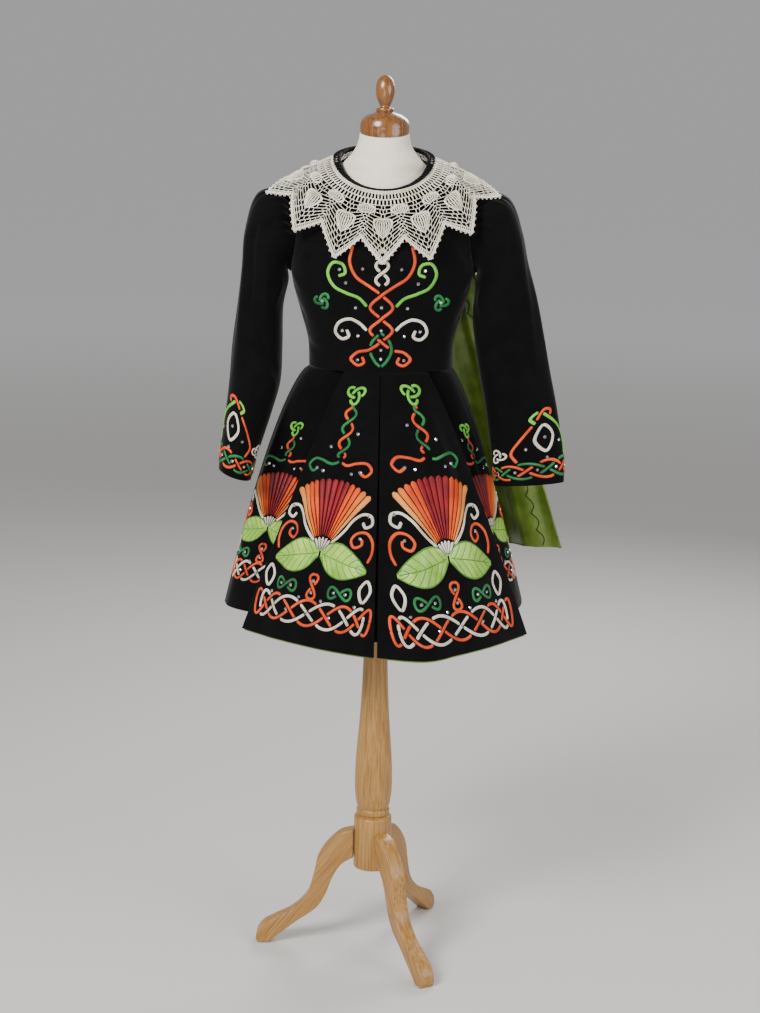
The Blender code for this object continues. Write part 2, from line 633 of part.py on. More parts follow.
def zip_pull():
    """The pull tab of the centre-back zip, hanging flat under the neck binding."""
    width, thickness, length = ZIP_PULL
    top = bodice_point(180.0, 1.318)
    bottom = bodice_point(180.0, 1.318 - length)
    mesh = bpy.data.meshes.new("zip_pull")
    build = bmesh.new()
    bmesh.ops.create_cube(build, size=1.0)
    bmesh.ops.scale(build, vec=(width, thickness, length), verts=build.verts)
    build.to_mesh(mesh)
    build.free()
    item = add_object("zip_pull", mesh, principled("black_metal", (0.02,) * 3, 0.35))
    middle = (top + bottom) / 2
    item.location = (0.0, middle.y + thickness, middle.z)
    item.rotation_euler = (math.atan2(bottom.y - top.y, length), 0.0, 0.0)
    bevel = item.modifiers.new("rounded", "BEVEL")
    bevel.width = thickness * 0.3
    bevel.segments = 1
    return item


# ---------------------------------------------------------------- sleeves
def armhole_ring():
    """Return the left armhole seam as a closed ring, from the shoulder down the front."""
    front = [bodice_point(row.side_deg, row.z) for row in FRONT_ROWS
             if UNDERARM_Z <= row.z <= SHOULDER_Z + 0.003]
    back = [bodice_point(row.side_deg, row.z) for row in BACK_ROWS
            if UNDERARM_Z < row.z < SHOULDER_Z]
    ring = list(reversed(front)) + back
    centre = sum(ring, Vector()) / len(ring)
    seam = []
    for point in ring:
        inwards = Vector((0.0, centre.y - point.y, centre.z - point.z)).normalized()
        seam.append(point + inwards * SEAM_STEP + Vector((SEAM_STEP, 0.0, 0.0)))
    return straight_path(seam, SLEEVE_COLUMNS)


def sleeve_ring(ring):
    """Return one ring of a left sleeve, gathered over its top."""
    lean = math.radians(ring.lean_deg)
    outwards = Vector((math.cos(lean), 0.0, math.sin(lean)))
    forwards = Vector((0.0, -1.0, 0.0))
    points = []
    for c in range(SLEEVE_COLUMNS):
        turn = math.tau * c / SLEEVE_COLUMNS
        top_share = max(0.0, math.cos(turn)) ** 0.5
        trough = ring.gather * top_share * (1 - math.cos(2 * GATHERS * turn)) / 2
        points.append(Vector((ring.x, ring.y, ring.z))
                      + outwards * (ring.half_width - trough) * math.cos(turn)
                      + forwards * (ring.half_depth - trough) * math.sin(turn))
    return points


def sleeve(name, table, right):
    """A sleeve from the armhole seam to the cuff hem, open at both ends."""
    rings = [armhole_ring()] + [sleeve_ring(ring) for ring in table]
    rows = list(reversed(rings))
    rows = [list(reversed(row)) for row in rows]
    if right:
        rows = mirrored(rows)
    velvet = principled(f"black_velvet_{name}", (0.012,) * 3, 0.85)
    return add_wall(sheet_object(name, rows, velvet, wrap=True), VELVET)


# ---------------------------------------------------------------- skirt
def panel_row(lines, drop, below=0.0, inset=0.0):
    """Return a panel's outline at a share of the drop from waist to hem."""
    places = []
    for line in lines:
        share = drop ** line.bell
        places.append(Vector((line.waist_x + (line.hem_x - line.waist_x) * share,
                              line.waist_y + (line.hem_y - line.waist_y) * share)))
    z = WAIST_Z - GAP + (HEM_Z - WAIST_Z) * drop - below
    edges = [k for k, line in enumerate(lines) if line.name != "face"]
    flat = [places[0]]
    for a, b in zip(edges, edges[1:]):
        steps = FACE_COLUMNS if b - a > 1 else RETURN_COLUMNS
        flat.extend(smooth_path(places[a:b + 1], steps)[1:])
    if inset:
        flat = inset_path(flat, inset)
    return [Vector((p.x, p.y, z)) for p in flat]


def inset_path(path, inset):
    """Move a plan outline to its inner side."""
    moved = []
    for k, point in enumerate(path):
        ahead = path[min(k + 1, len(path) - 1)] - path[max(k - 1, 0)]
        normal = Vector((ahead.y, -ahead.x)).normalized()
        moved.append(point - normal * inset)
    return moved


def skirt_panel(name, lines, right):
    """A skirt panel with the folds of its pleats, from the waist seam to the hem."""
    rows = [panel_row(lines, drop) for drop in reversed(SKIRT_DROPS)]
    if right:
        rows = mirrored(rows)
    velvet = principled(f"black_velvet_{name}", (0.012,) * 3, 0.85)
    return add_wall(sheet_object(name, rows, velvet), VELVET)


def lining_band(name, lines, right):
    """The satin lining of a front panel, where it shows below the velvet at the hem."""
    face = [line for line in lines if line.name != "underlay"][1:-1]
    inset = VELVET + GAP * 2
    rows = []
    for drop in (1.0, (1.0 + HEM_BAND) / 2, HEM_BAND):
        below = SATIN_BELOW_HEM if drop == 1.0 else 0.0
        rows.append(panel_row(face, drop, below, inset)[1:-1])
    if right:
        rows = mirrored(rows)
    satin = principled(f"green_satin_{name}", (0.42, 0.70, 0.13), 0.3)
    return add_wall(sheet_object(name, rows, satin), SATIN)


# ---------------------------------------------------------------- applique
def panel_face(lines):
    """Return the rows of points across a panel's face, from the waist to the hem."""
    first = next(k for k in range(len(lines)) if lines[k + 1].name == "face")
    last = next(k for k in range(first + 1, len(lines)) if lines[k].name != "face")
    return [panel_row(lines[first:last + 1], drop) for drop in SKIRT_DROPS]


def face_point(face, share, z):
    """Return the point of a panel's face at a share of its width and a height."""
    r = max(k for k in range(len(face) - 1) if face[k][0].z >= z)
    fall = (face[r][0].z - z) / (face[r][0].z - face[r + 1][0].z)
    row = [high.lerp(low, fall) for high, low in zip(face[r], face[r + 1])]
    c = min(int(share * (len(row) - 1)), len(row) - 2)
    return row[c].lerp(row[c + 1], share * (len(row) - 1) - c)


def on_panel(face, share, z, lift):
    """Return a point lifted off a panel's face."""
    side = face_point(face, share + NEAR_SHARE, z) - face_point(face, share - NEAR_SHARE, z)
    upwards = face_point(face, share, z + NEAR_Z) - face_point(face, share, z - NEAR_Z)
    return face_point(face, share, z) + side.cross(upwards).normalized() * lift


def applique(name, lines, place, outline, right, colour):
    """Lay a patch on a panel's face, with its own columns on the panel's, so it follows the cloth."""
    face = panel_face(lines)
    middle = place.z + place.scale * sum(line.low + line.high for line in outline) / 2 / len(outline)
    columns = len(face[0]) - 1
    points = [face_point(face, c / columns, middle) for c in range(columns + 1)]
    width = sum((b - a).length for a, b in zip(points, points[1:]))
    reach = [place.scale * line.across for line in outline]
    ends = [place.share + reach[0] / width, place.share + reach[-1] / width]
    shares = [ends[0], *(c / columns for c in range(columns + 1)
                         if ends[0] < c / columns < ends[1]), ends[1]]
    halves = [(a + b) / 2 for a, b in zip(shares, shares[1:]) if (b - a) * width > PATCH_CELL]
    rows = []
    for side in ("low", "high"):
        heights = [place.z + place.scale * getattr(line, side) for line in outline]
        rows.append([on_panel(face, share,
                              smooth_value(reach, heights, (share - place.share) * width),
                              APPLIQUE + APPLIQUE_GAP) for share in sorted(shares + halves)])
    if right:
        rows = mirrored(rows)
    return add_wall(sheet_object(name, rows, principled(f"satin_{name}", colour, 0.35)), APPLIQUE)


def motif(panel, lines, place, right):
    """The fan and the two leaves of one panel."""
    inner = [PatchLine(-line.across, line.low, line.high) for line in reversed(LEAF)]
    applique(f"fan_{panel}", lines, place, FAN, right, (0.75, 0.12, 0.03))
    applique(f"leaf_inner_{panel}", lines, place, inner, right, (0.45, 0.72, 0.15))
    applique(f"leaf_outer_{panel}", lines, place, LEAF, right, (0.45, 0.72, 0.15))


# ---------------------------------------------------------------- collar
def collar_point(degrees, reach):
    """Return a point of the collar in a direction, a share of the way to the tips."""
    line = read_table(COLLAR, "deg", abs(degrees))
    side = -1.0 if degrees < 0 else 1.0
    inner = neckline(degrees, *COLLAR_START)
    outer = Vector((side * line.tip_x, line.tip_y, line.tip_z))
    away = Vector((inner.x, inner.y, 0.0)).normalized()
    normal = (away * 0.6 + Vector((0.0, 0.0, 0.8))).normalized()
    return inner.lerp(outer, reach) + normal * (4 * line.lift * reach * (1 - reach))


def lace_collar():
    """The crocheted collar: rounds worked from the neck, ending in vandyked points."""
    span = (360.0 - 2 * COLLAR_OPENING_DEG) / COLLAR_POINTS
    start = -180.0 + COLLAR_OPENING_DEG
    places = [(start + span * (n + edge), edge) for n in range(COLLAR_POINTS)
              for edge in POST_EDGES]
    places.append((start + span * COLLAR_POINTS, 0.0))
    depths = [0.0]
    for worked in ROUNDS:
        depths.append(depths[-1] + worked.depth)
    ladder_end = depths[3]
    rows = []
    for depth in reversed(depths):
        row = []
        for degrees, edge in places:
            point_share = 1.0 - abs(2.0 * edge - 1.0)
            far = NOTCH_REACH + (1.0 - NOTCH_REACH) * point_share
            if depth <= ladder_end:
                reach = depth
            else:
                share = (depth - ladder_end) / (depths[-1] - ladder_end)
                reach = ladder_end + (far - ladder_end) * share
            row.append(collar_point(degrees, reach))
        rows.append(row)
    rounds = list(reversed(ROUNDS))
    posts = len(POST_EDGES)

    def worked_cell(r, c):
        place = c % posts
        if place % 2 == 0:
            return True
        return rounds[r].cells[place // 2] == "#"

    lace = principled("cream_crochet", (0.78, 0.73, 0.62), 0.8)
    return add_wall(sheet_object("lace_collar", rows, lace, keep=worked_cell), LACE)


# ---------------------------------------------------------------- shawl
def shawl_rows():
    """Return the surface between the shawl's two layers, bottom to top, facing front."""
    rows = []
    for row in reversed(SHAWL):
        places = [Vector((row.x0, row.y0)), Vector((row.x1, row.y1)),
                  Vector((row.x2, row.y2)), Vector((row.x3, row.y3))]
        path = smooth_path(places, SHAWL_COLUMNS)
        points = []
        for k, point in enumerate(path):
            share = k / SHAWL_COLUMNS
            ahead = path[min(k + 1, SHAWL_COLUMNS)] - path[max(k - 1, 0)]
            normal = Vector((-ahead.y, ahead.x)).normalized()
            wave = row.wave * (1 + math.sin(math.tau * SHAWL_WAVES * share))
            place = point + normal * wave
            points.append(Vector((place.x, place.y, row.z + row.rise * share)))
        rows.append(points)
    return rows


def shawl():
    """The shawl's velvet, facing back."""
    rows = [list(reversed(row)) for row in moved_out(shawl_rows(), -VELVET - GAP)]
    velvet = principled("black_velvet_shawl", (0.012,) * 3, 0.85)
    return add_wall(sheet_object("shawl", rows, velvet, falling=True), VELVET)


def shawl_lining():
    """The shawl's satin, facing front."""
    satin = principled("green_satin_shawl", (0.42, 0.70, 0.13), 0.3)
    rows = moved_out(shawl_rows(), SATIN + GAP)
    return add_wall(sheet_object("shawl_lining", rows, satin), SATIN)


# ---------------------------------------------------------------- form and stand
def form_torso():
    """The jersey-covered form from the hips to the neck."""
    rings = []
    for row in FORM:
        ring = []
        for c in range(28):
            point = round_section(row, 360.0 * c / 28 if c <= 14 else 360.0 * c / 28 - 360.0)
            ring.append(Vector((point.x, point.y, point.z + row.tilt * point.y)))
        rings.append(ring)
    return solid_from_rings("form_torso", rings, principled("cream_jersey", (0.83, 0.80, 0.72), 0.9))


def neck_cap():
    """The turned cap on the neck, its underside tilted with the neck."""
    rings = []
    for row in NECK_CAP:
        ring = []
        for c in range(TURNED_STEPS):
            turn = math.tau * c / TURNED_STEPS
            x, y = row.radius * math.sin(turn), -row.radius * math.cos(turn)
            ring.append(Vector((x, y, row.z + row.tilt * y)))
        rings.append(ring)
    return solid_from_rings("neck_cap", rings, principled("oiled_wood", (0.55, 0.27, 0.09), 0.35))


def leg(number, degrees):
    """One flat-sawn leg, its foot on the floor."""
    upper = smooth_path([(p.reach, p.z) for p in LEG_UPPER], 18)
    under = smooth_path([(p.reach, p.z) for p in LEG_UNDER], 14)
    toe = [Vector((p.reach, p.z)) for p in LEG_LOWER]
    outline = upper + toe + under
    curve = bpy.data.curves.new(f"leg_{number}", "CURVE")
    curve.dimensions = "2D"
    curve.fill_mode = "BOTH"
    curve.extrude = LEG_THICKNESS / 2
    spline = curve.splines.new("POLY")
    spline.points.add(len(outline) - 1)
    for point, place in zip(spline.points, outline):
        point.co = (place.x, place.y, 0.0, 1.0)
    spline.use_cyclic_u = True
    item = add_object(f"leg_{number}", curve, principled(f"beech_leg_{number}", (0.72, 0.52, 0.32), 0.45))
    item.rotation_euler = (math.radians(90), 0.0, math.radians(degrees - 90))
    return item


def build():
    """Make every piece of the dress, the shawl, the form and the stand."""
    beech = principled("beech_pole", (0.72, 0.52, 0.32), 0.45)
    turned("pole", POLE, beech)
    for number, degrees in enumerate(LEG_DIRECTIONS_DEG, 1):
        leg(number, degrees)
    form_torso()
    neck_cap()
    turned("finial", FINIAL, principled("oiled_wood_finial", (0.55, 0.27, 0.09), 0.35))
    bodice_front()
    bodice_back("right")
    bodice_back("left")
    neck_binding()
    zip_pull()
    sleeve("sleeve_right", SLEEVE_RIGHT, True)
    sleeve("sleeve_left", SLEEVE_LEFT, False)
    skirt_panel("skirt_front_right", FRONT_RIGHT, True)
    skirt_panel("skirt_side_right", SIDE_RIGHT, True)
    skirt_panel("skirt_back_right", BACK_RIGHT, True)
    skirt_panel("skirt_front_left", FRONT_LEFT, False)
    skirt_panel("skirt_side_left", SIDE_LEFT, False)
    skirt_panel("skirt_back_left", BACK_LEFT, False)
    lining_band("hem_lining_right", FRONT_RIGHT, True)
    lining_band("hem_lining_left", FRONT_LEFT, False)
    motif("front_right", FRONT_RIGHT, MOTIF_FRONT_RIGHT, True)
    motif("front_left", FRONT_LEFT, MOTIF_FRONT_LEFT, False)
    motif("side_right", SIDE_RIGHT, MOTIF_SIDE, True)
    motif("side_left", SIDE_LEFT, MOTIF_SIDE, False)
    lace_collar()
    shawl()
    shawl_lining()


clear_scene()
PARTS = new_collection("irish_dance_dress")
ORIGIN = bpy.data.objects.new("dress_origin", None)
ORIGIN.location = SHIFT
PARTS.objects.link(ORIGIN)
build()
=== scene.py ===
"""Looks of an Irish dance dress on its dress form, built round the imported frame.

Metres, +Z up, the wearer's front faces -Y. The tables are measured from the axis of the stand's
pole, as in the part's source, and every mesh is moved by SHIFT as it is made.
"""

from __future__ import annotations

import logging  # noqa: E402
import math  # noqa: E402
from dataclasses import dataclass, field  # noqa: E402
from enum import Enum  # noqa: E402
from typing import Callable, NamedTuple, Sequence  # noqa: E402

import bmesh  # noqa: E402
import bpy  # noqa: E402
import numpy as np  # noqa: E402
from mathutils import Matrix, Vector  # noqa: E402


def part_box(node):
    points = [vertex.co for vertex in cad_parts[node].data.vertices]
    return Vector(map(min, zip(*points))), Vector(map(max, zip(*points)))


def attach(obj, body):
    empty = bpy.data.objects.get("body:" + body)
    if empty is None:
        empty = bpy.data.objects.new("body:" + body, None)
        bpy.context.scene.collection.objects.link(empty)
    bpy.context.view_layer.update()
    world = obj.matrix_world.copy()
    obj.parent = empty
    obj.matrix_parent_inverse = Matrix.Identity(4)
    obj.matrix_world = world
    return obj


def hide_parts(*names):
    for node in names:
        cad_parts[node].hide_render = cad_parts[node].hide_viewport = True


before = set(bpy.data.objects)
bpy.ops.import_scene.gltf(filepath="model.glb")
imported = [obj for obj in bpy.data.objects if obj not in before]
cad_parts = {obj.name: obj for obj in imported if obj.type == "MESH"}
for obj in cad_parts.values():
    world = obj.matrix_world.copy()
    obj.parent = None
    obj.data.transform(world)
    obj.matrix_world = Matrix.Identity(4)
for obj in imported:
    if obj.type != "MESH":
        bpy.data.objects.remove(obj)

LOG = logging.getLogger("dress")
Array = np.ndarray

SHIFT = np.array((-0.0269, -0.0013, 0.0))

WAIST_Z = 0.989
HEM_Z = 0.563
UNDERARM_Z = 1.135
SHOULDER_Z = 1.268
NECK_FRONT_Z = 1.263
NECK_SIDE_Z = 1.311
NECK_BACK_Z = 1.330
NECK_HALF_WIDTH = 0.0675
NECK_FRONT_DEPTH = 0.0765
NECK_BACK_DEPTH = 0.0625
SHOULDER_RIDGE = 0.007
SEAM_STEP = 0.0019
VELVET = 0.0016
SATIN = 0.0009
SEAM_GAP = 0.0003

# z, half width, front depth, back depth, front pinch, back pinch of the worn bodice.
BODICE = np.array((
    (0.989, 0.1145, 0.0925, 0.0840, 1.0, 1.0),
    (1.030, 0.1165, 0.0960, 0.0860, 1.0, 1.0),
    (1.070, 0.1270, 0.1040, 0.0920, 1.0, 1.0),
    (1.110, 0.1390, 0.1100, 0.0990, 1.0, 1.0),
    (1.150, 0.1455, 0.1110, 0.1050, 1.0, 1.0),
    (1.190, 0.1460, 0.1050, 0.1060, 1.05, 1.0),
    (1.220, 0.1440, 0.0955, 0.1040, 1.15, 1.05),
    (1.245, 0.1405, 0.0845, 0.0990, 1.35, 1.1),
    (1.268, 0.1335, 0.0745, 0.0910, 1.8, 1.2),
    (1.285, 0.1130, 0.0680, 0.0830, 3.0, 1.3),
    (1.300, 0.0890, 0.0620, 0.0740, 3.2, 1.3),
    (1.311, 0.0700, 0.0570, 0.0660, 1.6, 1.2),
    (1.331, 0.0520, 0.0500, 0.0620, 1.0, 1.0),
))
# The same for the dress form, and the tilt of its last rings.
FORM = np.array((
    (0.900, 0.0930, 0.0680, 0.0640, 1.0, 1.0, 0.0),
    (0.950, 0.0940, 0.0690, 0.0650, 1.0, 1.0, 0.0),
    (0.990, 0.0945, 0.0700, 0.0660, 1.0, 1.0, 0.0),
    (1.040, 0.1030, 0.0830, 0.0740, 1.0, 1.0, 0.0),
    (1.090, 0.1200, 0.0980, 0.0860, 1.0, 1.0, 0.0),
    (1.150, 0.1330, 0.1040, 0.0970, 1.0, 1.0, 0.0),
    (1.200, 0.1330, 0.0940, 0.0970, 1.05, 1.0, 0.0),
    (1.240, 0.1300, 0.0790, 0.0910, 1.3, 1.1, 0.0),
    (1.262, 0.1220, 0.0715, 0.0830, 1.7, 1.2, 0.0),
    (1.279, 0.1040, 0.0655, 0.0770, 2.9, 1.3, 0.0),
    (1.294, 0.0810, 0.0600, 0.0700, 3.1, 1.3, 0.0),
    (1.308, 0.0650, 0.0550, 0.0600, 1.5, 1.1, 0.0),
    (1.322, 0.0520, 0.0480, 0.0530, 1.0, 1.0, 0.05),
    (1.336, 0.0430, 0.0425, 0.0450, 1.0, 1.0, 0.18),
    (1.356, 0.0385, 0.0385, 0.0385, 1.0, 1.0, 0.22),
))
# z, neck edge and side edge of the bodice front, in degrees from the centre front.
FRONT_EDGES = np.array((
    (0.9888, 0.0, 89.8), (1.025, 0.0, 89.8), (1.060, 0.0, 89.8), (1.100, 0.0, 89.8),
    (1.135, 0.0, 89.8), (1.147, 0.0, 79.0), (1.167, 0.0, 70.0), (1.195, 0.0, 66.0),
    (1.222, 0.0, 69.0), (1.246, 0.0, 77.0), (1.263, 0.0, 86.0), (1.270, 15.0, 89.0),
    (1.285, 30.0, 89.0), (1.297, 45.0, 89.0), (1.3055, 62.0, 89.0),
))
# z, side edge and zip edge of each bodice back.
BACK_EDGES = np.array((
    (0.9888, 90.2, 179.8), (1.030, 90.2, 179.8), (1.080, 90.2, 179.8), (1.135, 90.2, 179.8),
    (1.147, 100.0, 179.8), (1.167, 108.0, 179.8), (1.195, 112.0, 179.8), (1.222, 109.0, 179.8),
    (1.246, 102.0, 179.8), (1.263, 94.0, 179.8), (1.270, 91.0, 179.8), (1.290, 91.0, 179.8),
    (1.3055, 91.0, 179.8), (1.318, 118.0, 179.8), (1.327, 152.0, 179.8),
))
# x, y, z, half width, half depth, lean in degrees of the sleeve rings, head to cuff.
SLEEVE_RIGHT = np.array((
    (0.1560, 0.002, 1.2060, 0.0650, 0.058, 85), (0.1745, 0.002, 1.1975, 0.0660, 0.062, 68),
    (0.1835, 0.002, 1.1670, 0.0500, 0.061, 46), (0.1860, 0.002, 1.1370, 0.0400, 0.059, 21),
    (0.1935, 0.000, 1.0850, 0.0370, 0.057, 4), (0.1980, -0.002, 1.0200, 0.0405, 0.054, 2),
    (0.2010, -0.005, 0.9650, 0.0410, 0.051, 3), (0.2095, -0.010, 0.9200, 0.0370, 0.048, 8),
    (0.2265, -0.018, 0.8450, 0.0300, 0.045, 14), (0.2320, -0.020, 0.8130, 0.0275, 0.044, 20),
))
SLEEVE_LEFT = np.array((
    (0.1560, 0.002, 1.2050, 0.0650, 0.058, 85), (0.1750, 0.002, 1.1960, 0.0660, 0.061, 68),
    (0.1850, 0.002, 1.1650, 0.0530, 0.058, 46), (0.1900, 0.002, 1.1320, 0.0470, 0.053, 27),
    (0.1965, 0.000, 1.0800, 0.0525, 0.046, 14), (0.2090, 0.000, 1.0100, 0.0550, 0.042, 13),
    (0.2245, -0.002, 0.9400, 0.0565, 0.038, 12), (0.2350, -0.005, 0.8800, 0.0575, 0.032, 10),
    (0.2415, -0.008, 0.8350, 0.0580, 0.025, 6), (0.2435, -0.010, 0.8030, 0.0565, 0.022, 4),
))


class PanelLine(NamedTuple):
    """A line of a skirt panel from the waist to the hem.

    Args:
        name: underlay, inner_fold, edge or face.
        waist_x: its place at the waist.
        waist_y: the same.
        hem_x: its place at the hem.
        hem_y: the same.
        bell: power of the drop that it follows, flaring more at once where it is smaller.
    """

    name: str
    waist_x: float
    waist_y: float
    hem_x: float
    hem_y: float
    bell: float


FRONT_LEFT = (
    PanelLine("underlay", 0.0, -0.0765, 0.0, -0.122, 0.90),
    PanelLine("inner_fold", 0.0120, -0.0835, 0.0600, -0.143, 0.90),
    PanelLine("edge", 0.0004, -0.0925, 0.0024, -0.2145, 0.90),
    PanelLine("face", 0.0245, -0.0903, 0.0775, -0.2300, 0.90),
    PanelLine("face", 0.0440, -0.0854, 0.1280, -0.1900, 0.88),
    PanelLine("face", 0.0600, -0.0788, 0.1840, -0.1350, 0.88),
    PanelLine("edge", 0.0730, -0.0712, 0.2450, -0.0550, 0.88),
    PanelLine("inner_fold", 0.0580, -0.0721, 0.1650, 0.0200, 0.88),
)
SIDE_LEFT = (
    PanelLine("inner_fold", 0.0580, -0.0719, 0.1650, 0.0202, 0.88),
    PanelLine("face", 0.0726, -0.0629, 0.2050, 0.0560, 0.82),
    PanelLine("face", 0.0938, -0.0531, 0.2360, 0.0980, 0.78),
    PanelLine("face", 0.1076, -0.0316, 0.2490, 0.1400, 0.78),
    PanelLine("edge", 0.1144, -0.0030, 0.2530, 0.1810, 0.78),
    PanelLine("inner_fold", 0.1049, -0.0149, 0.1780, 0.1500, 0.80),
)
BACK_LEFT = (
    PanelLine("inner_fold", 0.1047, -0.0147, 0.1780, 0.1502, 0.80),
    PanelLine("face", 0.1064, 0.0080, 0.2080, 0.1860, 0.80),
    PanelLine("face", 0.1030, 0.0367, 0.1870, 0.2090, 0.80),
    PanelLine("face", 0.0573, 0.0727, 0.1000, 0.2240, 0.80),
    PanelLine("edge", 0.0004, 0.0840, 0.0020, 0.2180, 0.80),
    PanelLine("inner_fold", 0.0110, 0.0745, 0.0560, 0.1560, 0.85),
    PanelLine("underlay", 0.0, 0.0690, 0.0, 0.1350, 0.85),
)
FRONT_RIGHT = (
    FRONT_LEFT[0],
    PanelLine("inner_fold", 0.0120, -0.0835, 0.0600, -0.138, 0.90),
    FRONT_LEFT[2],
    PanelLine("face", 0.0160, -0.0916, 0.0560, -0.1880, 0.92),
    PanelLine("face", 0.0310, -0.0890, 0.1120, -0.1500, 0.93),
    PanelLine("face", 0.0440, -0.0854, 0.1670, -0.1030, 0.93),
    PanelLine("edge", 0.0560, -0.0807, 0.2180, -0.0490, 0.93),
    PanelLine("inner_fold", 0.0420, -0.0785, 0.1480, 0.0150, 0.90),
)
SIDE_RIGHT = (
    PanelLine("inner_fold", 0.0420, -0.0783, 0.1480, 0.0152, 0.90),
    PanelLine("face", 0.0590, -0.0710, 0.1920, 0.0440, 0.82),
    PanelLine("face", 0.0870, -0.0601, 0.2300, 0.0700, 0.72),
    PanelLine("face", 0.1060, -0.0350, 0.2530, 0.0980, 0.69),
    PanelLine("edge", 0.1144, -0.0030, 0.2610, 0.1300, 0.69),
    PanelLine("inner_fold", 0.1049, -0.0149, 0.1750, 0.1120, 0.75),
)
BACK_RIGHT = (
    PanelLine("inner_fold", 0.1047, -0.0147, 0.1750, 0.1122, 0.75),
    PanelLine("face", 0.1064, 0.0080, 0.2150, 0.1500, 0.75),
    PanelLine("face", 0.1030, 0.0367, 0.1960, 0.1900, 0.78),
    PanelLine("face", 0.0573, 0.0727, 0.1080, 0.2200, 0.80),
    *BACK_LEFT[-3:],
)
# Direction in degrees from the centre front, tip x, y, z and lift of the lace collar.
COLLAR = np.array((
    (0.0, 0.000, -0.1165, 1.158, 0.006), (27.7, 0.074, -0.1090, 1.166, 0.010),
    (55.4, 0.137, -0.0740, 1.204, 0.014), (83.1, 0.182, -0.0270, 1.259, 0.006),
    (110.8, 0.163, 0.0560, 1.263, 0.006), (138.5, 0.110, 0.1060, 1.232, 0.008),
    (166.2, 0.040, 0.1200, 1.222, 0.006), (180.0, 0.000, 0.1210, 1.221, 0.005),
))
# z, then x and y of four places across, rise and wave of the shawl's rows.
SHAWL = np.array((
    (1.262, 0.026, 0.0985, 0.052, 0.0925, 0.077, 0.0820, 0.098, 0.0670, 0.000, 0.0),
    (1.205, 0.030, 0.1085, 0.060, 0.1030, 0.088, 0.0930, 0.113, 0.0780, 0.000, 0.0),
    (1.160, 0.036, 0.1110, 0.070, 0.1070, 0.104, 0.0990, 0.136, 0.0900, 0.000, 0.001),
    (1.100, 0.044, 0.1090, 0.084, 0.1080, 0.124, 0.1060, 0.166, 0.1030, 0.000, 0.003),
    (1.040, 0.050, 0.1060, 0.094, 0.1080, 0.142, 0.1110, 0.188, 0.1120, 0.000, 0.004),
    (0.970, 0.058, 0.1170, 0.106, 0.1160, 0.160, 0.1180, 0.213, 0.1190, 0.000, 0.005),
    (0.890, 0.070, 0.1520, 0.120, 0.1440, 0.176, 0.1340, 0.239, 0.1250, 0.002, 0.006),
    (0.800, 0.083, 0.1830, 0.136, 0.1740, 0.196, 0.1560, 0.264, 0.1260, 0.006, 0.007),
    (0.720, 0.093, 0.2040, 0.148, 0.1950, 0.214, 0.1740, 0.286, 0.1270, 0.010, 0.008),
    (0.650, 0.100, 0.2140, 0.158, 0.2080, 0.228, 0.1860, 0.304, 0.1240, 0.016, 0.009),
))
SHAWL_WAVES = 2.4
# radius, z of the turned pieces, top to bottom.
FINIAL = ((0.0, 1.4440), (0.0060, 1.4425), (0.0115, 1.4370), (0.0145, 1.4280), (0.0150, 1.4200),
          (0.0138, 1.4110), (0.0105, 1.4020), (0.0080, 1.3970), (0.0085, 1.3945),
          (0.0135, 1.3930), (0.0140, 1.3905), (0.0135, 1.3885), (0.0, 1.3885))
FINIAL_FOOT = (0.0134, 1.3881)
POLE_SHAFT = ((0.0160, 0.8995), (0.0165, 0.7000), (0.0180, 0.6000), (0.0202, 0.5000),
              (0.0238, 0.4150), (0.0298, 0.3350), (0.0313, 0.2950), (0.0306, 0.2700),
              (0.0275, 0.2500), (0.0255, 0.2450))
POLE_BEAD = ((0.0255, 0.2450), (0.0268, 0.2438), (0.0275, 0.2420), (0.0278, 0.2390),
             (0.0275, 0.2360), (0.0268, 0.2342), (0.0255, 0.2330))
POLE_HUB = ((0.0255, 0.2330), (0.0300, 0.2300), (0.0312, 0.2286), (0.0315, 0.2265),
            (0.0315, 0.1430), (0.0308, 0.1408), (0.0290, 0.1400))
NECK_CAP = ((0.0384, 1.3566, 0.22), (0.0388, 1.3600, 0.20), (0.0388, 1.3640, 0.12),
            (0.0385, 1.3690, 0.03), (0.0350, 1.3770, 0.0), (0.0270, 1.3830, 0.0),
            (0.0170, 1.3862, 0.0), (0.0145, 1.3880, 0.0))
LEG_THICKNESS = 0.026
LEG_DIRECTIONS_DEG = (28.5, 148.5, 268.5)
LEG_UPPER = ((0.0319, 0.2060), (0.0530, 0.2000), (0.0760, 0.1790), (0.0915, 0.1540),
             (0.0990, 0.1200), (0.1100, 0.0870), (0.1335, 0.0620), (0.1650, 0.0445),
             (0.1840, 0.0335), (0.1940, 0.0200))
LEG_TOE = ((0.1960, 0.0080), (0.1925, 0.0000))
LEG_UNDER = ((0.1760, 0.0000), (0.1580, 0.0150), (0.1240, 0.0420), (0.0935, 0.0650),
             (0.0780, 0.0900), (0.0670, 0.1190), (0.0520, 0.1440), (0.0319, 0.1570))
# Across, low and high of a satin leaf's outline, from the motif's heart.
LEAF = ((0.002, -0.004, 0.008), (0.020, -0.026, 0.021), (0.040, -0.036, 0.023),
        (0.060, -0.037, 0.015), (0.080, -0.031, 0.001), (0.098, -0.022, -0.017))
# Of a leaf's side veins: their number, and how many spacings each runs along the leaf.
LEAF_VEINS = 7
LEAF_SLANT = 1.4
# Heights of the satin leaf's edge, of its wadding, and depths of its middle and side veins.
LEAF_EDGE = 0.0007
LEAF_WADDING = 0.0011
LEAF_MIDRIB = 0.0006
LEAF_GROOVE = 0.0005


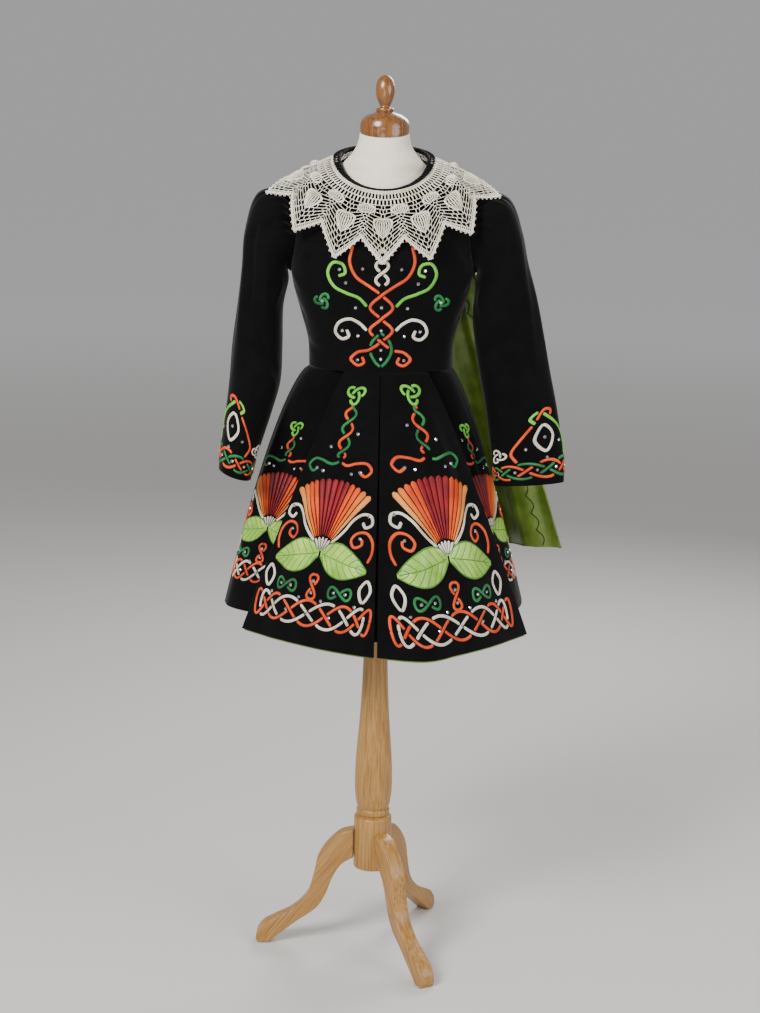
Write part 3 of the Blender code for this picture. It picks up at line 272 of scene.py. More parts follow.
# ---------------------------------------------------------------- curves and grids
def smooth_rows(nodes: Array, values: Array, x: Array) -> Array:
    """Read a smooth curve of its own for each sample.

    Args:
        nodes: (samples, n) rising positions.
        values: (samples, n, axes) values there.
        x: (samples,) where to read.

    Returns:
        (samples, axes) values.
    """
    n = nodes.shape[1]
    ahead = np.minimum(np.arange(n) + 1, n - 1)
    behind = np.maximum(np.arange(n) - 1, 0)
    runs = (nodes[:, ahead] - nodes[:, behind])[..., None]
    slopes = (values[:, ahead] - values[:, behind]) / runs
    x = np.clip(x, nodes[:, 0], nodes[:, -1])
    i = np.clip((nodes <= x[:, None]).sum(1) - 1, 0, n - 2)
    r = np.arange(len(x))
    span = nodes[r, i + 1] - nodes[r, i]
    t = ((x - nodes[r, i]) / span)[:, None]
    span = span[:, None]
    blend = 2 * t ** 3 - 3 * t ** 2
    return (values[r, i] * (blend + 1) - values[r, i + 1] * blend
            + slopes[r, i] * span * (t ** 3 - 2 * t ** 2 + t)
            + slopes[r, i + 1] * span * (t ** 3 - t ** 2))


def smooth(xs: Sequence[float], ys: Array, x: Array) -> Array:
    """Read one smooth curve through (xs, ys) at each x, ys being (n,) or (n, axes)."""
    x = np.atleast_1d(np.asarray(x, float))
    ys = np.asarray(ys, float)
    table = ys[:, None] if ys.ndim == 1 else ys
    nodes = np.broadcast_to(np.asarray(xs, float), (len(x), len(xs)))
    values = np.broadcast_to(table, (len(x), *table.shape))
    read = smooth_rows(nodes, values, x)
    return read[:, 0] if ys.ndim == 1 else read


def along_line(points: Array) -> Array:
    """Return how far along its line each point lies, for lines along the last axis but one."""
    steps = np.linalg.norm(np.diff(points, axis=-2), axis=-1)
    start = np.zeros((*steps.shape[:-1], 1))
    return np.concatenate([start, np.cumsum(steps, axis=-1)], axis=-1)


def unit(vectors: Array) -> Array:
    """Return vectors of length 1 in the same directions."""
    return vectors / np.maximum(np.linalg.norm(vectors, axis=-1, keepdims=True), 1e-12)


def smooth_path(points: Sequence[Sequence[float]], steps: int, closed: bool = False) -> Array:
    """Return points at even steps along a smooth curve through the given points."""
    pts = np.asarray(points, float)
    if closed:
        pts = np.concatenate([pts[-2:], pts, pts[:2]])
    along = along_line(pts)
    low, high = (along[2], along[-2]) if closed else (along[0], along[-1])
    return smooth(along, pts, np.linspace(low, high, steps + 1))


def even_path(points: Array, step: float) -> Array:
    """Return points about a step apart along a line of straight sides."""
    along = along_line(points)
    at = np.linspace(0.0, along[-1], max(2, int(math.ceil(along[-1] / step)) + 1))
    return np.stack([np.interp(at, along, points[:, k]) for k in range(points.shape[1])], axis=1)


def smoothstep(low: float, high: float, x: Array) -> Array:
    """Return 0 below low, 1 above high and a smooth rise between."""
    t = np.clip((np.asarray(x, float) - low) / (high - low), 0.0, 1.0)
    return t * t * (3 - 2 * t)


def grid_faces(rows: int, columns: int, wrap: bool = False) -> Array:
    """Return the quads of a grid whose rows go up and whose columns go anticlockwise."""
    r, c = np.meshgrid(np.arange(rows - 1), np.arange(columns if wrap else columns - 1),
                       indexing="ij")
    d = (c + 1) % columns
    return np.stack([r * columns + c, r * columns + d, (r + 1) * columns + d,
                     (r + 1) * columns + c], axis=-1).reshape(-1, 4)


def rim_places(rows: int, columns: int) -> Array:
    """Return the (row, column) of each point on a grid's edge, anticlockwise from the first."""
    return np.array([(0, c) for c in range(columns)] + [(r, columns - 1) for r in range(1, rows)]
                    + [(rows - 1, c) for c in range(columns - 2, -1, -1)]
                    + [(r, 0) for r in range(rows - 2, 0, -1)])


def cloth_places(points: Array) -> Array:
    """Return the places on a cloth of rows of points: their length across and their height."""
    return np.stack([along_line(points), points[..., 2]], axis=-1)


@dataclass
class MeshParts:
    """Collects many small shapes into one mesh.

    Args:
        points: arrays of points, measured from the stand's axis.
        faces: lists of faces, counted within the whole mesh.
        slots: the material number of each face.
        spots: UV places of the points, in metres of cloth.
        count: the number of points.
    """

    points: list[Array] = field(default_factory=list)
    faces: list[list[int]] = field(default_factory=list)
    slots: list[int] = field(default_factory=list)
    spots: list[Array] = field(default_factory=list)
    count: int = 0

    def add(self, points: Array, faces: Sequence[Sequence[int]], slot: int = 0,
            spots: Array | None = None) -> None:
        """Add one shape, its points in rows of any kind.

        Args:
            points: its points.
            faces: its faces.
            slot: its material number.
            spots: the UV places of its points.
        """
        points = np.asarray(points, float).reshape(-1, 3)
        spots = np.zeros((len(points), 2)) if spots is None else spots.reshape(-1, 2)
        listed = faces.tolist() if isinstance(faces, np.ndarray) else faces
        self.faces.extend([[k + self.count for k in face] for face in listed])
        self.slots.extend([slot] * len(listed))
        self.points.append(points)
        self.spots.append(spots)
        self.count += len(points)

    def build(self, name: str, finishes: Sequence[Finish | Thread], weld: bool = False,
              sharp: float | None = None) -> bpy.types.Object:
        """Return the object of all shapes added.

        Args:
            name: the piece's name.
            finishes: its finishes, by number.
            weld: merge points that lie on each other.
            sharp: the angle in degrees from which an edge stays sharp, if one does.

        Returns:
            The object, linked to the scene.
        """
        mesh = bpy.data.meshes.new(name)
        mesh.from_pydata((np.concatenate(self.points) + SHIFT).tolist(), [], self.faces)
        for finish in finishes:
            mesh.materials.append(FINISHES.get(finish))
        mesh.polygons.foreach_set("material_index", self.slots)
        layer = mesh.uv_layers.new(name="cloth")
        corners = np.empty(len(mesh.loops), int)
        mesh.loops.foreach_get("vertex_index", corners)
        layer.data.foreach_set("uv", np.concatenate(self.spots)[corners].ravel())
        if weld:
            build = bmesh.new()
            build.from_mesh(mesh)
            bmesh.ops.remove_doubles(build, verts=build.verts, dist=1e-5)
            build.to_mesh(mesh)
            build.free()
        mesh.shade_smooth()
        if sharp is not None:
            mesh.set_sharp_from_angle(angle=math.radians(sharp))
        return add_object(name, mesh)


def add_object(name: str, data: bpy.types.ID) -> bpy.types.Object:
    """Return a new object of some data, linked to the scene."""
    item = bpy.data.objects.new(name, data)
    bpy.context.scene.collection.objects.link(item)
    return item


def add_wall(item: bpy.types.Object, thickness: float, inner: int = 0) -> bpy.types.Object:
    """Give an outer surface its wall, turned inwards, its inner side in another material."""
    wall = item.modifiers.new("wall", "SOLIDIFY")
    wall.thickness = thickness
    wall.offset = -1.0
    wall.use_rim = True
    wall.material_offset = inner
    wall.material_offset_rim = 0
    return item


# ---------------------------------------------------------------- colours and finishes
def linear(hex_colour: str) -> tuple[float, float, float, float]:
    """Return a linear colour from an sRGB hex value such as '#7fb23c'."""
    parts = [int(hex_colour[k:k + 2], 16) / 255 for k in (1, 3, 5)]
    turned = [p / 12.92 if p <= 0.04045 else ((p + 0.055) / 1.055) ** 2.4 for p in parts]
    return (*turned, 1.0)


def add_node(tree: bpy.types.NodeTree, kind: str, inputs: dict | None = None,
             **settings: object) -> bpy.types.Node:
    """Add a node, set its properties, and fill or link its inputs.

    Args:
        tree: the tree that gets it.
        kind: Blender's name of the node.
        inputs: values or output sockets, by the input's name or number.
        settings: properties of the node.

    Returns:
        The node.
    """
    node = tree.nodes.new(kind)
    for name, value in settings.items():
        setattr(node, name, value)
    for name, value in (inputs or {}).items():
        if isinstance(value, bpy.types.NodeSocket):
            tree.links.new(value, node.inputs[name])
        else:
            node.inputs[name].default_value = value
    return node


@dataclass(frozen=True)
class Finish:
    """A finish of one real material, as a node material on the Principled shader.

    Args:
        name: the material's name.
        deep: its darker colour.
        bright: its lighter colour.
        roughness: of the surface.
        sheen: weight of the fibres' sheen.
        coat: weight of a lacquer.
        specular: specular level.
    """

    name: str
    deep: str
    bright: str
    roughness: float
    sheen: float = 0.0
    coat: float = 0.0
    specular: float = 0.5

    def start(self) -> tuple[bpy.types.Material, bpy.types.NodeTree, bpy.types.Node]:
        """Return the new material, its tree and its shader with the uniform values set."""
        material = bpy.data.materials.new(self.name)
        material.use_nodes = True
        tree = material.node_tree
        shader = tree.nodes["Principled BSDF"]
        shader.inputs["Roughness"].default_value = self.roughness
        shader.inputs["Specular IOR Level"].default_value = self.specular
        shader.inputs["Sheen Weight"].default_value = self.sheen
        shader.inputs["Sheen Roughness"].default_value = 0.35
        shader.inputs["Coat Weight"].default_value = self.coat
        shader.inputs["Coat Roughness"].default_value = 0.12
        return material, tree, shader

    def colour(self, tree: bpy.types.NodeTree, shader: bpy.types.Node,
               share: bpy.types.NodeSocket) -> None:
        """Mix the two colours by a share and give them to the shader."""
        mix = add_node(tree, "ShaderNodeMix", {0: share, 6: linear(self.deep),
                                               7: linear(self.bright)}, data_type="RGBA")
        tree.links.new(mix.outputs[2], shader.inputs["Base Color"])

    def relief(self, tree: bpy.types.NodeTree, shader: bpy.types.Node,
               height: bpy.types.NodeSocket, depth: float, strength: float = 1.0) -> None:
        """Give the shader a bump of a depth in metres."""
        bump = add_node(tree, "ShaderNodeBump", {"Height": height, "Distance": depth,
                                                 "Strength": strength})
        tree.links.new(bump.outputs["Normal"], shader.inputs["Normal"])


def object_place(tree: bpy.types.NodeTree) -> bpy.types.NodeSocket:
    """Return the place in the object, in metres."""
    return add_node(tree, "ShaderNodeTexCoord").outputs["Object"]


def cloth_place(tree: bpy.types.NodeTree) -> bpy.types.NodeSocket:
    """Return the place on the cloth, in metres."""
    return add_node(tree, "ShaderNodeUVMap", uv_map="cloth").outputs["UV"]


def noise(tree: bpy.types.NodeTree, place: bpy.types.NodeSocket, size: float,
          detail: float = 2.0, **more: float) -> bpy.types.NodeSocket:
    """Return a noise.

    Args:
        tree: the material's tree.
        place: where it is read.
        size: of its patches, in metres.
        detail: its number of finer layers.
        more: other inputs of the node.

    Returns:
        Its value.
    """
    return add_node(tree, "ShaderNodeTexNoise", {
        "Vector": place, "Scale": 1 / size, "Detail": detail, **more}).outputs["Fac"]


def bands(tree: bpy.types.NodeTree, place: bpy.types.NodeSocket, spacing: float,
          inputs: dict[str, float]) -> bpy.types.NodeSocket:
    """Return bands across X, one every spacing, as they repeat every 2 pi / 20 of a scale."""
    return add_node(tree, "ShaderNodeTexWave", {
        "Vector": place, "Scale": math.tau / 20 / spacing, **inputs},
        bands_direction="X").outputs["Fac"]


def stretched(tree: bpy.types.NodeTree, place: bpy.types.NodeSocket,
              sizes: tuple[float, float, float]) -> bpy.types.NodeSocket:
    """Return a place measured in patches of other sizes along its three axes."""
    return add_node(tree, "ShaderNodeMapping", {
        "Vector": place, "Scale": tuple(1 / size for size in sizes)}).outputs[0]


def rescaled(tree: bpy.types.NodeTree, value: bpy.types.NodeSocket, low: float, high: float,
             to: tuple[float, float] = (0.0, 1.0)) -> bpy.types.NodeSocket:
    """Return a value with its range from low to high spread to another."""
    return add_node(tree, "ShaderNodeMapRange", {
        "Value": value, "From Min": low, "From Max": high,
        "To Min": to[0], "To Max": to[1]}).outputs["Result"]


def blended(tree: bpy.types.NodeTree, share: float, one: bpy.types.NodeSocket,
            other: bpy.types.NodeSocket) -> bpy.types.NodeSocket:
    """Return a blend of two values, by the share of the second."""
    return add_node(tree, "ShaderNodeMix", {0: share, 2: one, 3: other}).outputs[0]


def product(tree: bpy.types.NodeTree, one: bpy.types.NodeSocket,
            other: bpy.types.NodeSocket) -> bpy.types.NodeSocket:
    """Return two values' product."""
    return add_node(tree, "ShaderNodeMath", {0: one, 1: other}, operation="MULTIPLY").outputs[0]


@dataclass(frozen=True)
class Velvet(Finish):
    """Cotton velvet, woven with a cut pile: deep and dull, with a painted sheen in lighter patches
    where the nap is pushed over.

    Args:
        nap: size of the patches of painted sheen, in which the nap lies one way.
        tuft: size at which the pile's 0.3 mm tufts are drawn.
    """

    nap: float = 0.030
    tuft: float = 0.0011

    def make(self) -> bpy.types.Material:
        """Return the material."""
        material, tree, shader = self.start()
        place = object_place(tree)
        # Painted sheen: the colour is lighter in soft patches where the pushed-over nap would
        # catch the light.
        nap_sheen = rescaled(tree, noise(tree, place, self.nap, 3.0, Roughness=0.6), 0.38, 0.72)
        tuft = noise(tree, place, self.tuft, 1.0)
        self.colour(tree, shader, product(tree, nap_sheen, tuft))
        self.relief(tree, shader, tuft, 0.0005, 0.5)
        return material


@dataclass(frozen=True)
class Satin(Finish):
    """Polyester satin, woven with long floats: smooth, bright where a fold turns to the light.

    Args:
        thread: width at which its 0.1 mm threads are drawn, along the cloth.
        cloud: size of the soft changes of its shine.
        float_ratio: a drawn thread's length over its width.
    """

    thread: float = 0.0006
    cloud: float = 0.045
    float_ratio: float = 1 / 0.03

    def make(self) -> bpy.types.Material:
        """Return the material."""
        material, tree, shader = self.start()
        long = stretched(tree, cloth_place(tree),
                         (self.thread, self.float_ratio * self.thread, 1.0))
        lines = noise(tree, long, 1.0)
        clouds = noise(tree, object_place(tree), self.cloud)
        self.colour(tree, shader, rescaled(tree, blended(tree, 0.3, clouds, lines), 0.35, 0.65))
        self.relief(tree, shader, lines, 0.00012, 0.35)
        return material


@dataclass(frozen=True)
class StitchedThread(Finish):
    """Rayon machine embroidery in satin stitch: glossy threads laid side by side.

    Args:
        spacing: at which the 0.35 mm threads are drawn along each stroke.
        dye: size of the dye's soft changes.
        slant: of the threads, in degrees.
    """

    spacing: float = 0.0015
    dye: float = 0.035
    slant: float = 14.0

    def make(self) -> bpy.types.Material:
        """Return the material."""
        material, tree, shader = self.start()
        slanted = add_node(tree, "ShaderNodeMapping", {
            "Vector": cloth_place(tree),
            "Rotation": (0.0, 0.0, math.radians(self.slant))}).outputs[0]
        threads = bands(tree, slanted, self.spacing,
                        {"Distortion": 1.2, "Detail": 1.0, "Detail Scale": 0.6})
        dye = rescaled(tree, noise(tree, object_place(tree), self.dye), 0.35, 0.62)
        self.colour(tree, shader, blended(tree, 0.5, dye, threads))
        self.relief(tree, shader, threads, 0.0005, 0.9)
        return material


@dataclass(frozen=True)
class Crochet(Finish):
    """Mercerised cotton, crocheted: matt cream, a little darker in patches.

    Args:
        twist: size at which the twists of its two plies are drawn.
        age: size of its darker patches.
    """

    twist: float = 0.0013
    age: float = 0.025

    def make(self) -> bpy.types.Material:
        """Return the material."""
        material, tree, shader = self.start()
        place = object_place(tree)
        plies = noise(tree, place, self.twist)
        age = noise(tree, place, self.age)
        self.colour(tree, shader, rescaled(tree, blended(tree, 0.5, plies, age), 0.35, 0.6))
        self.relief(tree, shader, plies, 0.0006, 0.8)
        return material


@dataclass(frozen=True)
class Jersey(Finish):
    """Cotton jersey, knitted and stretched over foam: matt.

    Args:
        wale: spacing at which its wales are drawn.
        fuzz: size of its soft unevenness.
    """

    wale: float = 0.0014
    fuzz: float = 0.006

    def make(self) -> bpy.types.Material:
        """Return the material."""
        material, tree, shader = self.start()
        wales = bands(tree, cloth_place(tree), self.wale, {"Distortion": 0.6})
        fuzz = noise(tree, object_place(tree), self.fuzz, 3.0)
        self.colour(tree, shader, blended(tree, 0.25, fuzz, wales))
        self.relief(tree, shader, wales, 0.00015, 0.4)
        return material


@dataclass(frozen=True)
class Beech(Finish):
    """Beech, turned or sawn, sanded and lacquered: fine long grain with short darker flecks.

    Args:
        grain: width and length of its grain lines.
        fleck: width and length of its flecks.
    """

    grain: tuple[float, float] = (0.003, 0.09)
    fleck: tuple[float, float] = (0.0009, 0.0045)

    def make(self) -> bpy.types.Material:
        """Return the material. The piece's grain attribute runs along Z."""
        material, tree, shader = self.start()
        place = add_node(tree, "ShaderNodeAttribute", attribute_name="grain").outputs["Vector"]
        long, short = (stretched(tree, place, (wide, wide, far))
                       for wide, far in (self.grain, self.fleck))
        lines = noise(tree, long, 1.0, 4.0, Distortion=0.4)
        dark = rescaled(tree, noise(tree, short, 1.0, 1.0), 0.60, 0.70, (1.0, 0.35))
        self.colour(tree, shader, product(tree, rescaled(tree, lines, 0.33, 0.62), dark))
        self.relief(tree, shader, lines, 0.0001, 0.25)
        return material


@dataclass(frozen=True)
class Plain(Finish):
    """A small hard part's finish with fine wear, such as enamelled metal or foiled glass.

    Args:
        metallic: share of a metal's shine.
        speck: size of its wear.
    """

    metallic: float = 0.0
    speck: float = 0.0015

    def make(self) -> bpy.types.Material:
        """Return the material."""
        material, tree, shader = self.start()
        shader.inputs["Metallic"].default_value = self.metallic
        self.colour(tree, shader, noise(tree, object_place(tree), self.speck))
        return material


@dataclass(frozen=True)
class Backdrop(Finish):
    """Matt painted floor, as bright far away as the room, so that no horizon shows.

    Args:
        near: distance up to which the paint is pale grey.
        far: distance from which it is white.
    """

    near: float = 2.5
    far: float = 11.0

    def make(self) -> bpy.types.Material:
        """Return the material."""
        material, tree, shader = self.start()
        away = add_node(tree, "ShaderNodeVectorMath", {0: object_place(tree)},
                        operation="LENGTH").outputs["Value"]
        share = add_node(tree, "ShaderNodeMapRange", {
            "Value": away, "From Min": self.near, "From Max": self.far},
            interpolation_type="SMOOTHSTEP")
        self.colour(tree, shader, share.outputs["Result"])
        return material


# Each Velvet's bright colour shows in its patches of painted sheen, where the nap is pushed over.
VELVET_BLACK = Velvet("cotton_velvet_black", "#020202", "#0b0a0c", 0.92, sheen=0.13,
                      specular=0.12)
COTTON_BLACK = Velvet("cotton_lining_black", "#0a0a0b", "#161617", 0.85, specular=0.2)
SATIN_GREEN = Satin("polyester_satin_green", "#465f1c", "#839c3e", 0.34)
SATIN_LIME = Satin("polyester_satin_lime", "#74a832", "#b4df60", 0.33)
SATIN_BLACK = Satin("satin_binding_black", "#030304", "#0c0c0e", 0.70, specular=0.2)
CROCHET_CREAM = Crochet("mercerised_cotton_cream", "#d8ccae", "#fffaec", 0.85, sheen=0.15,
                        specular=0.25)
JERSEY_CREAM = Jersey("cotton_jersey_cream", "#e6dcc6", "#fbf4e4", 0.95, sheen=0.1,
                      specular=0.2)
BEECH_PALE = Beech("beech_satin_lacquer", "#8c6028", "#b08346", 0.40, coat=0.15)
BEECH_GOLDEN = Beech("beech_golden_lacquer", "#593312", "#8c5824", 0.30, coat=0.6)
ZIP_BLACK = Plain("zip_black_enamel", "#0c0c0d", "#1d1d1f", 0.35)
RHINESTONE = Plain("rhinestone_foiled_glass", "#b9bec8", "#f4f6fa", 0.07, metallic=1.0)
FLOOR_PALE = Backdrop("studio_floor_matt", "#d2d0cc", "#ffffff", 1.0, specular=0.0)


class Thread(Enum):
    """Colours of embroidery thread."""

    CRIMSON = StitchedThread("rayon_thread_crimson", "#560614", "#a30f1e", 0.42)
    ORANGE = StitchedThread("rayon_thread_orange", "#a82600", "#ff5a10", 0.42)
    AMBER = StitchedThread("rayon_thread_amber", "#cc4c08", "#f98222", 0.42)
    PEACH = StitchedThread("rayon_thread_peach", "#d9701f", "#f8a85c", 0.42)
    LEAF_GREEN = StitchedThread("rayon_thread_leaf_green", "#3c9a22", "#8ade44", 0.40)
    DARK_GREEN = StitchedThread("rayon_thread_dark_green", "#063f1e", "#128a42", 0.42)
    CREAM = StitchedThread("rayon_thread_cream", "#b9ab93", "#fbf5e8", 0.44)
    MOSS = StitchedThread("rayon_thread_moss", "#2f6a10", "#5f9c22", 0.42)
    BLACK = StitchedThread("rayon_thread_black", "#070708", "#1d1d20", 0.45)


class Finishes:
    """Makes each finish's material once and keeps it."""

    def __init__(self) -> None:
        """Start with no material made."""
        self.made: dict[str, bpy.types.Material] = {}

    def get(self, finish: Finish | Thread) -> bpy.types.Material:
        """Return the material of a finish or a thread."""
        kind = finish.value if isinstance(finish, Thread) else finish
        if kind.name not in self.made:
            self.made[kind.name] = kind.make()
        return self.made[kind.name]


FINISHES = Finishes()


@dataclass(frozen=True)
class Cut:
    """How a piece of cloth was cut and how it is held.

    Args:
        flat: width and length of the cloth, in metres.
        held: draped, hung, gathered, laid, folded or stretched.
        rests_on: what it lies on or hangs from.
        area: its area where the cut isn't a rectangle.
    """

    flat: tuple[float, float]
    held: str
    rests_on: tuple[str, ...]
    area: float | None = None


def hand_over(item: bpy.types.Object, nodes: Sequence[str] = ()) -> bpy.types.Object:
    """Set a finished piece under the root and hide the CAD nodes that it stands for.

    Args:
        item: the piece.
        nodes: the CAD nodes that it stands for.

    Returns:
        The piece.
    """
    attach(item, "root")
    if nodes:
        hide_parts(*nodes)
    LOG.info("%s: %d faces", item.name, len(item.data.polygons))
    return item


# ---------------------------------------------------------------- surfaces of the cloth
class Crease(NamedTuple):
    """A soft trough, or a ridge where the depth is above 0, between two places of a surface.

    Args:
        a0: its first place.
        b0: the same.
        a1: its last place.
        b1: the same.
        width: in metres.
        depth: in metres, outwards.
    """

    a0: float
    b0: float
    a1: float
    b1: float
    width: float
    depth: float


def creased(*rows: tuple[float, ...]) -> tuple[Crease, ...]:
    """Return the creases of a table's rows."""
    return tuple(Crease(*row) for row in rows)


def mirrored(creases: Sequence[Crease]) -> tuple[Crease, ...]:
    """Return creases with their places across turned round."""
    return tuple(crease._replace(a0=-crease.a0, a1=-crease.a1) for crease in creases)


@dataclass
class Surface:
    """The outer side of a cloth, read at places (a, b), with its creases.

    Args:
        creases: the soft troughs and ridges.
        metres: metres for one unit of a and of b.
        step: the steps of a and b that give the surface's slope.
    """

    creases: tuple[Crease, ...] = ()
    metres: tuple[float, float] = (1.0, 1.0)
    step: tuple[float, float] = (0.5, 0.002)

    def point(self, a: Array, b: Array) -> Array:
        """Return the smooth surface's points, (..., 3)."""
        raise NotImplementedError

    def beside(self, a: Array) -> tuple[Array, Array]:
        """Return the places on both sides of a that give the slope there."""
        return a - self.step[0], a + self.step[0]

    def relief(self, a: Array, b: Array) -> Array:
        """Return how far the creases move the surface out."""
        total = np.zeros(np.broadcast(a, b).shape)
        for crease in self.creases:
            across = (crease.a1 - crease.a0) * self.metres[0]
            along = (crease.b1 - crease.b0) * self.metres[1]
            length = math.hypot(across, along)
            x, y = (a - crease.a0) * self.metres[0], (b - crease.b0) * self.metres[1]
            share = (x * across + y * along) / length ** 2
            off = (x * along - y * across) / length
            fade = smoothstep(-0.12, 0.3, share) * (1 - smoothstep(0.7, 1.12, share))
            total = total + crease.depth * np.exp(-(off / crease.width) ** 2) * fade
        return total

    def lifted(self, a: Array, b: Array, lift: Array | float = 0.0) -> Array:
        """Return points over the creased surface.

        Args:
            a: the first place.
            b: the second place.
            lift: how far over the cloth.

        Returns:
            (..., 3) points.
        """
        a, b = np.broadcast_arrays(np.asarray(a, float), np.asarray(b, float))
        before, after = self.beside(a)
        side = self.point(after, b) - self.point(before, b)
        rise = self.point(a, b + self.step[1]) - self.point(a, b - self.step[1])
        normal = unit(np.cross(side, rise))
        return self.point(a, b) + normal * (self.relief(a, b) + lift)[..., None]


def body_point(table: Array, degrees: Array, z: Array) -> Array:
    """Return points round a body of cross-sections, by angle from the centre front and height."""
    degrees, z = np.broadcast_arrays(degrees, z)
    row = smooth(table[:, 0], table[:, 1:], z.ravel())
    turn = np.radians(degrees.ravel())
    ahead = np.abs(np.cos(turn))
    front = np.cos(turn) >= 0
    depth = np.where(front, row[:, 1], row[:, 2])
    pinch = np.where(front, row[:, 3], row[:, 4])
    ridge = SHOULDER_RIDGE * np.maximum(pinch - 1, 0) * np.sqrt(ahead) * (1 - ahead)
    y = np.where(front, -1.0, 1.0) * (depth * ahead ** pinch + ridge)
    lean = row[:, 5] * y if row.shape[1] > 5 else 0.0
    points = np.stack([row[:, 0] * np.sin(turn), y, z.ravel() + lean], axis=-1)
    return points.reshape(*degrees.shape, 3)


@dataclass
class BodiceSurface(Surface):
    """The bodice: a in degrees from the centre front, b a height.

    Args:
        metres: metres for one unit of a and of b.
    """

    metres: tuple[float, float] = (0.0022, 1.0)

    def point(self, a: Array, b: Array) -> Array:
        """Return points of the bodice."""
        return body_point(BODICE, a, b)


def neckline(degrees: Array, reach: float, rise: float) -> Array:
    """Return points of a ring round the neck, a reach out from the neckline and a rise above."""
    turn = np.radians(degrees)
    ahead = np.cos(turn)
    front = ahead >= 0
    y = -(np.where(front, NECK_FRONT_DEPTH, NECK_BACK_DEPTH) + reach) * ahead
    z = np.where(front, NECK_FRONT_Z + (NECK_SIDE_Z - NECK_FRONT_Z) * (1 - ahead),
                 NECK_SIDE_Z - (NECK_BACK_Z - NECK_SIDE_Z) * ahead)
    return np.stack([(NECK_HALF_WIDTH + reach) * np.sin(turn), y, z + rise], axis=-1)


@dataclass
class SleeveSurface(Surface):
    """A left sleeve: a in turns from its top over the back, b from cuff (0) to armhole (1).

    Args:
        rings: the table of its rings.
        gathers: turns at which its head is gathered.
        metres: metres for one unit of a and of b.
        step: the steps of a and b that give the surface's slope.
        gather_width: half the width of one gather.
        gather_depth: its depth.
        gather_length: its length in shares of the sleeve's.
    """

    rings: Array = field(default_factory=lambda: SLEEVE_LEFT)
    gathers: tuple[float, ...] = ()
    metres: tuple[float, float] = (0.30, 0.42)
    step: tuple[float, float] = (0.01, 0.008)
    gather_width: float = 0.0110
    gather_depth: float = 0.0040
    gather_length: float = 0.20

    def __post_init__(self) -> None:
        """Lay out the seam at the armhole."""
        front = FRONT_EDGES[(FRONT_EDGES[:, 0] >= UNDERARM_Z)
                            & (FRONT_EDGES[:, 0] <= SHOULDER_Z + 0.003)]
        back = BACK_EDGES[(BACK_EDGES[:, 0] > UNDERARM_Z) & (BACK_EDGES[:, 0] < SHOULDER_Z)]
        ring = np.concatenate([body_point(BODICE, front[::-1, 2], front[::-1, 0]),
                               body_point(BODICE, back[:, 1], back[:, 0])])
        inwards = unit((ring.mean(axis=0) - ring) * (0, 1, 1))
        seam = ring + inwards * SEAM_STEP + (SEAM_STEP, 0, 0)
        self.seam = np.concatenate([seam, seam[:1]])
        steps = np.linalg.norm(np.diff(self.seam, axis=0), axis=1)
        self.seam_along = np.concatenate([[0], np.cumsum(steps)]) / steps.sum()

    def point(self, a: Array, b: Array) -> Array:
        """Return points of the sleeve."""
        a, b = np.broadcast_arrays(a, b)
        turns = -a.ravel() % 1.0
        turn = math.tau * turns
        seam = np.stack([np.interp(turns, self.seam_along, self.seam[:, k]) for k in range(3)], -1)
        columns = [seam]
        for x, y, z, half_width, half_depth, lean in self.rings:
            lean = math.radians(lean)
            out = half_width * np.cos(turn)
            columns.append(np.stack([x + math.cos(lean) * out, y - half_depth * np.sin(turn),
                                     z + math.sin(lean) * out], axis=-1))
        values = np.stack(columns, axis=1)
        nodes = along_line(values)
        along = (1 - np.clip(b.ravel(), 0, 1)) * nodes[:, -1]
        return smooth_rows(nodes, values, along).reshape(*a.shape, 3)

    def relief(self, a: Array, b: Array) -> Array:
        """Add the gathers of the sleeve's head to its creases."""
        total = super().relief(a, b)
        down = 1 - b
        for n, centre in enumerate(self.gathers):
            off = (a - centre + 0.5) % 1.0 - 0.5
            reach = self.gather_length * (0.75 + 0.5 * math.sin(2.3 * n) ** 2)
            fade = smoothstep(-0.02, 0.03, down) * (1 - smoothstep(0.03, reach, down))
            total = total - (self.gather_depth * (0.8 + 0.35 * math.sin(1.7 * n + 0.6))
                             * np.exp(-(off / self.gather_width) ** 2) * fade)
        return total


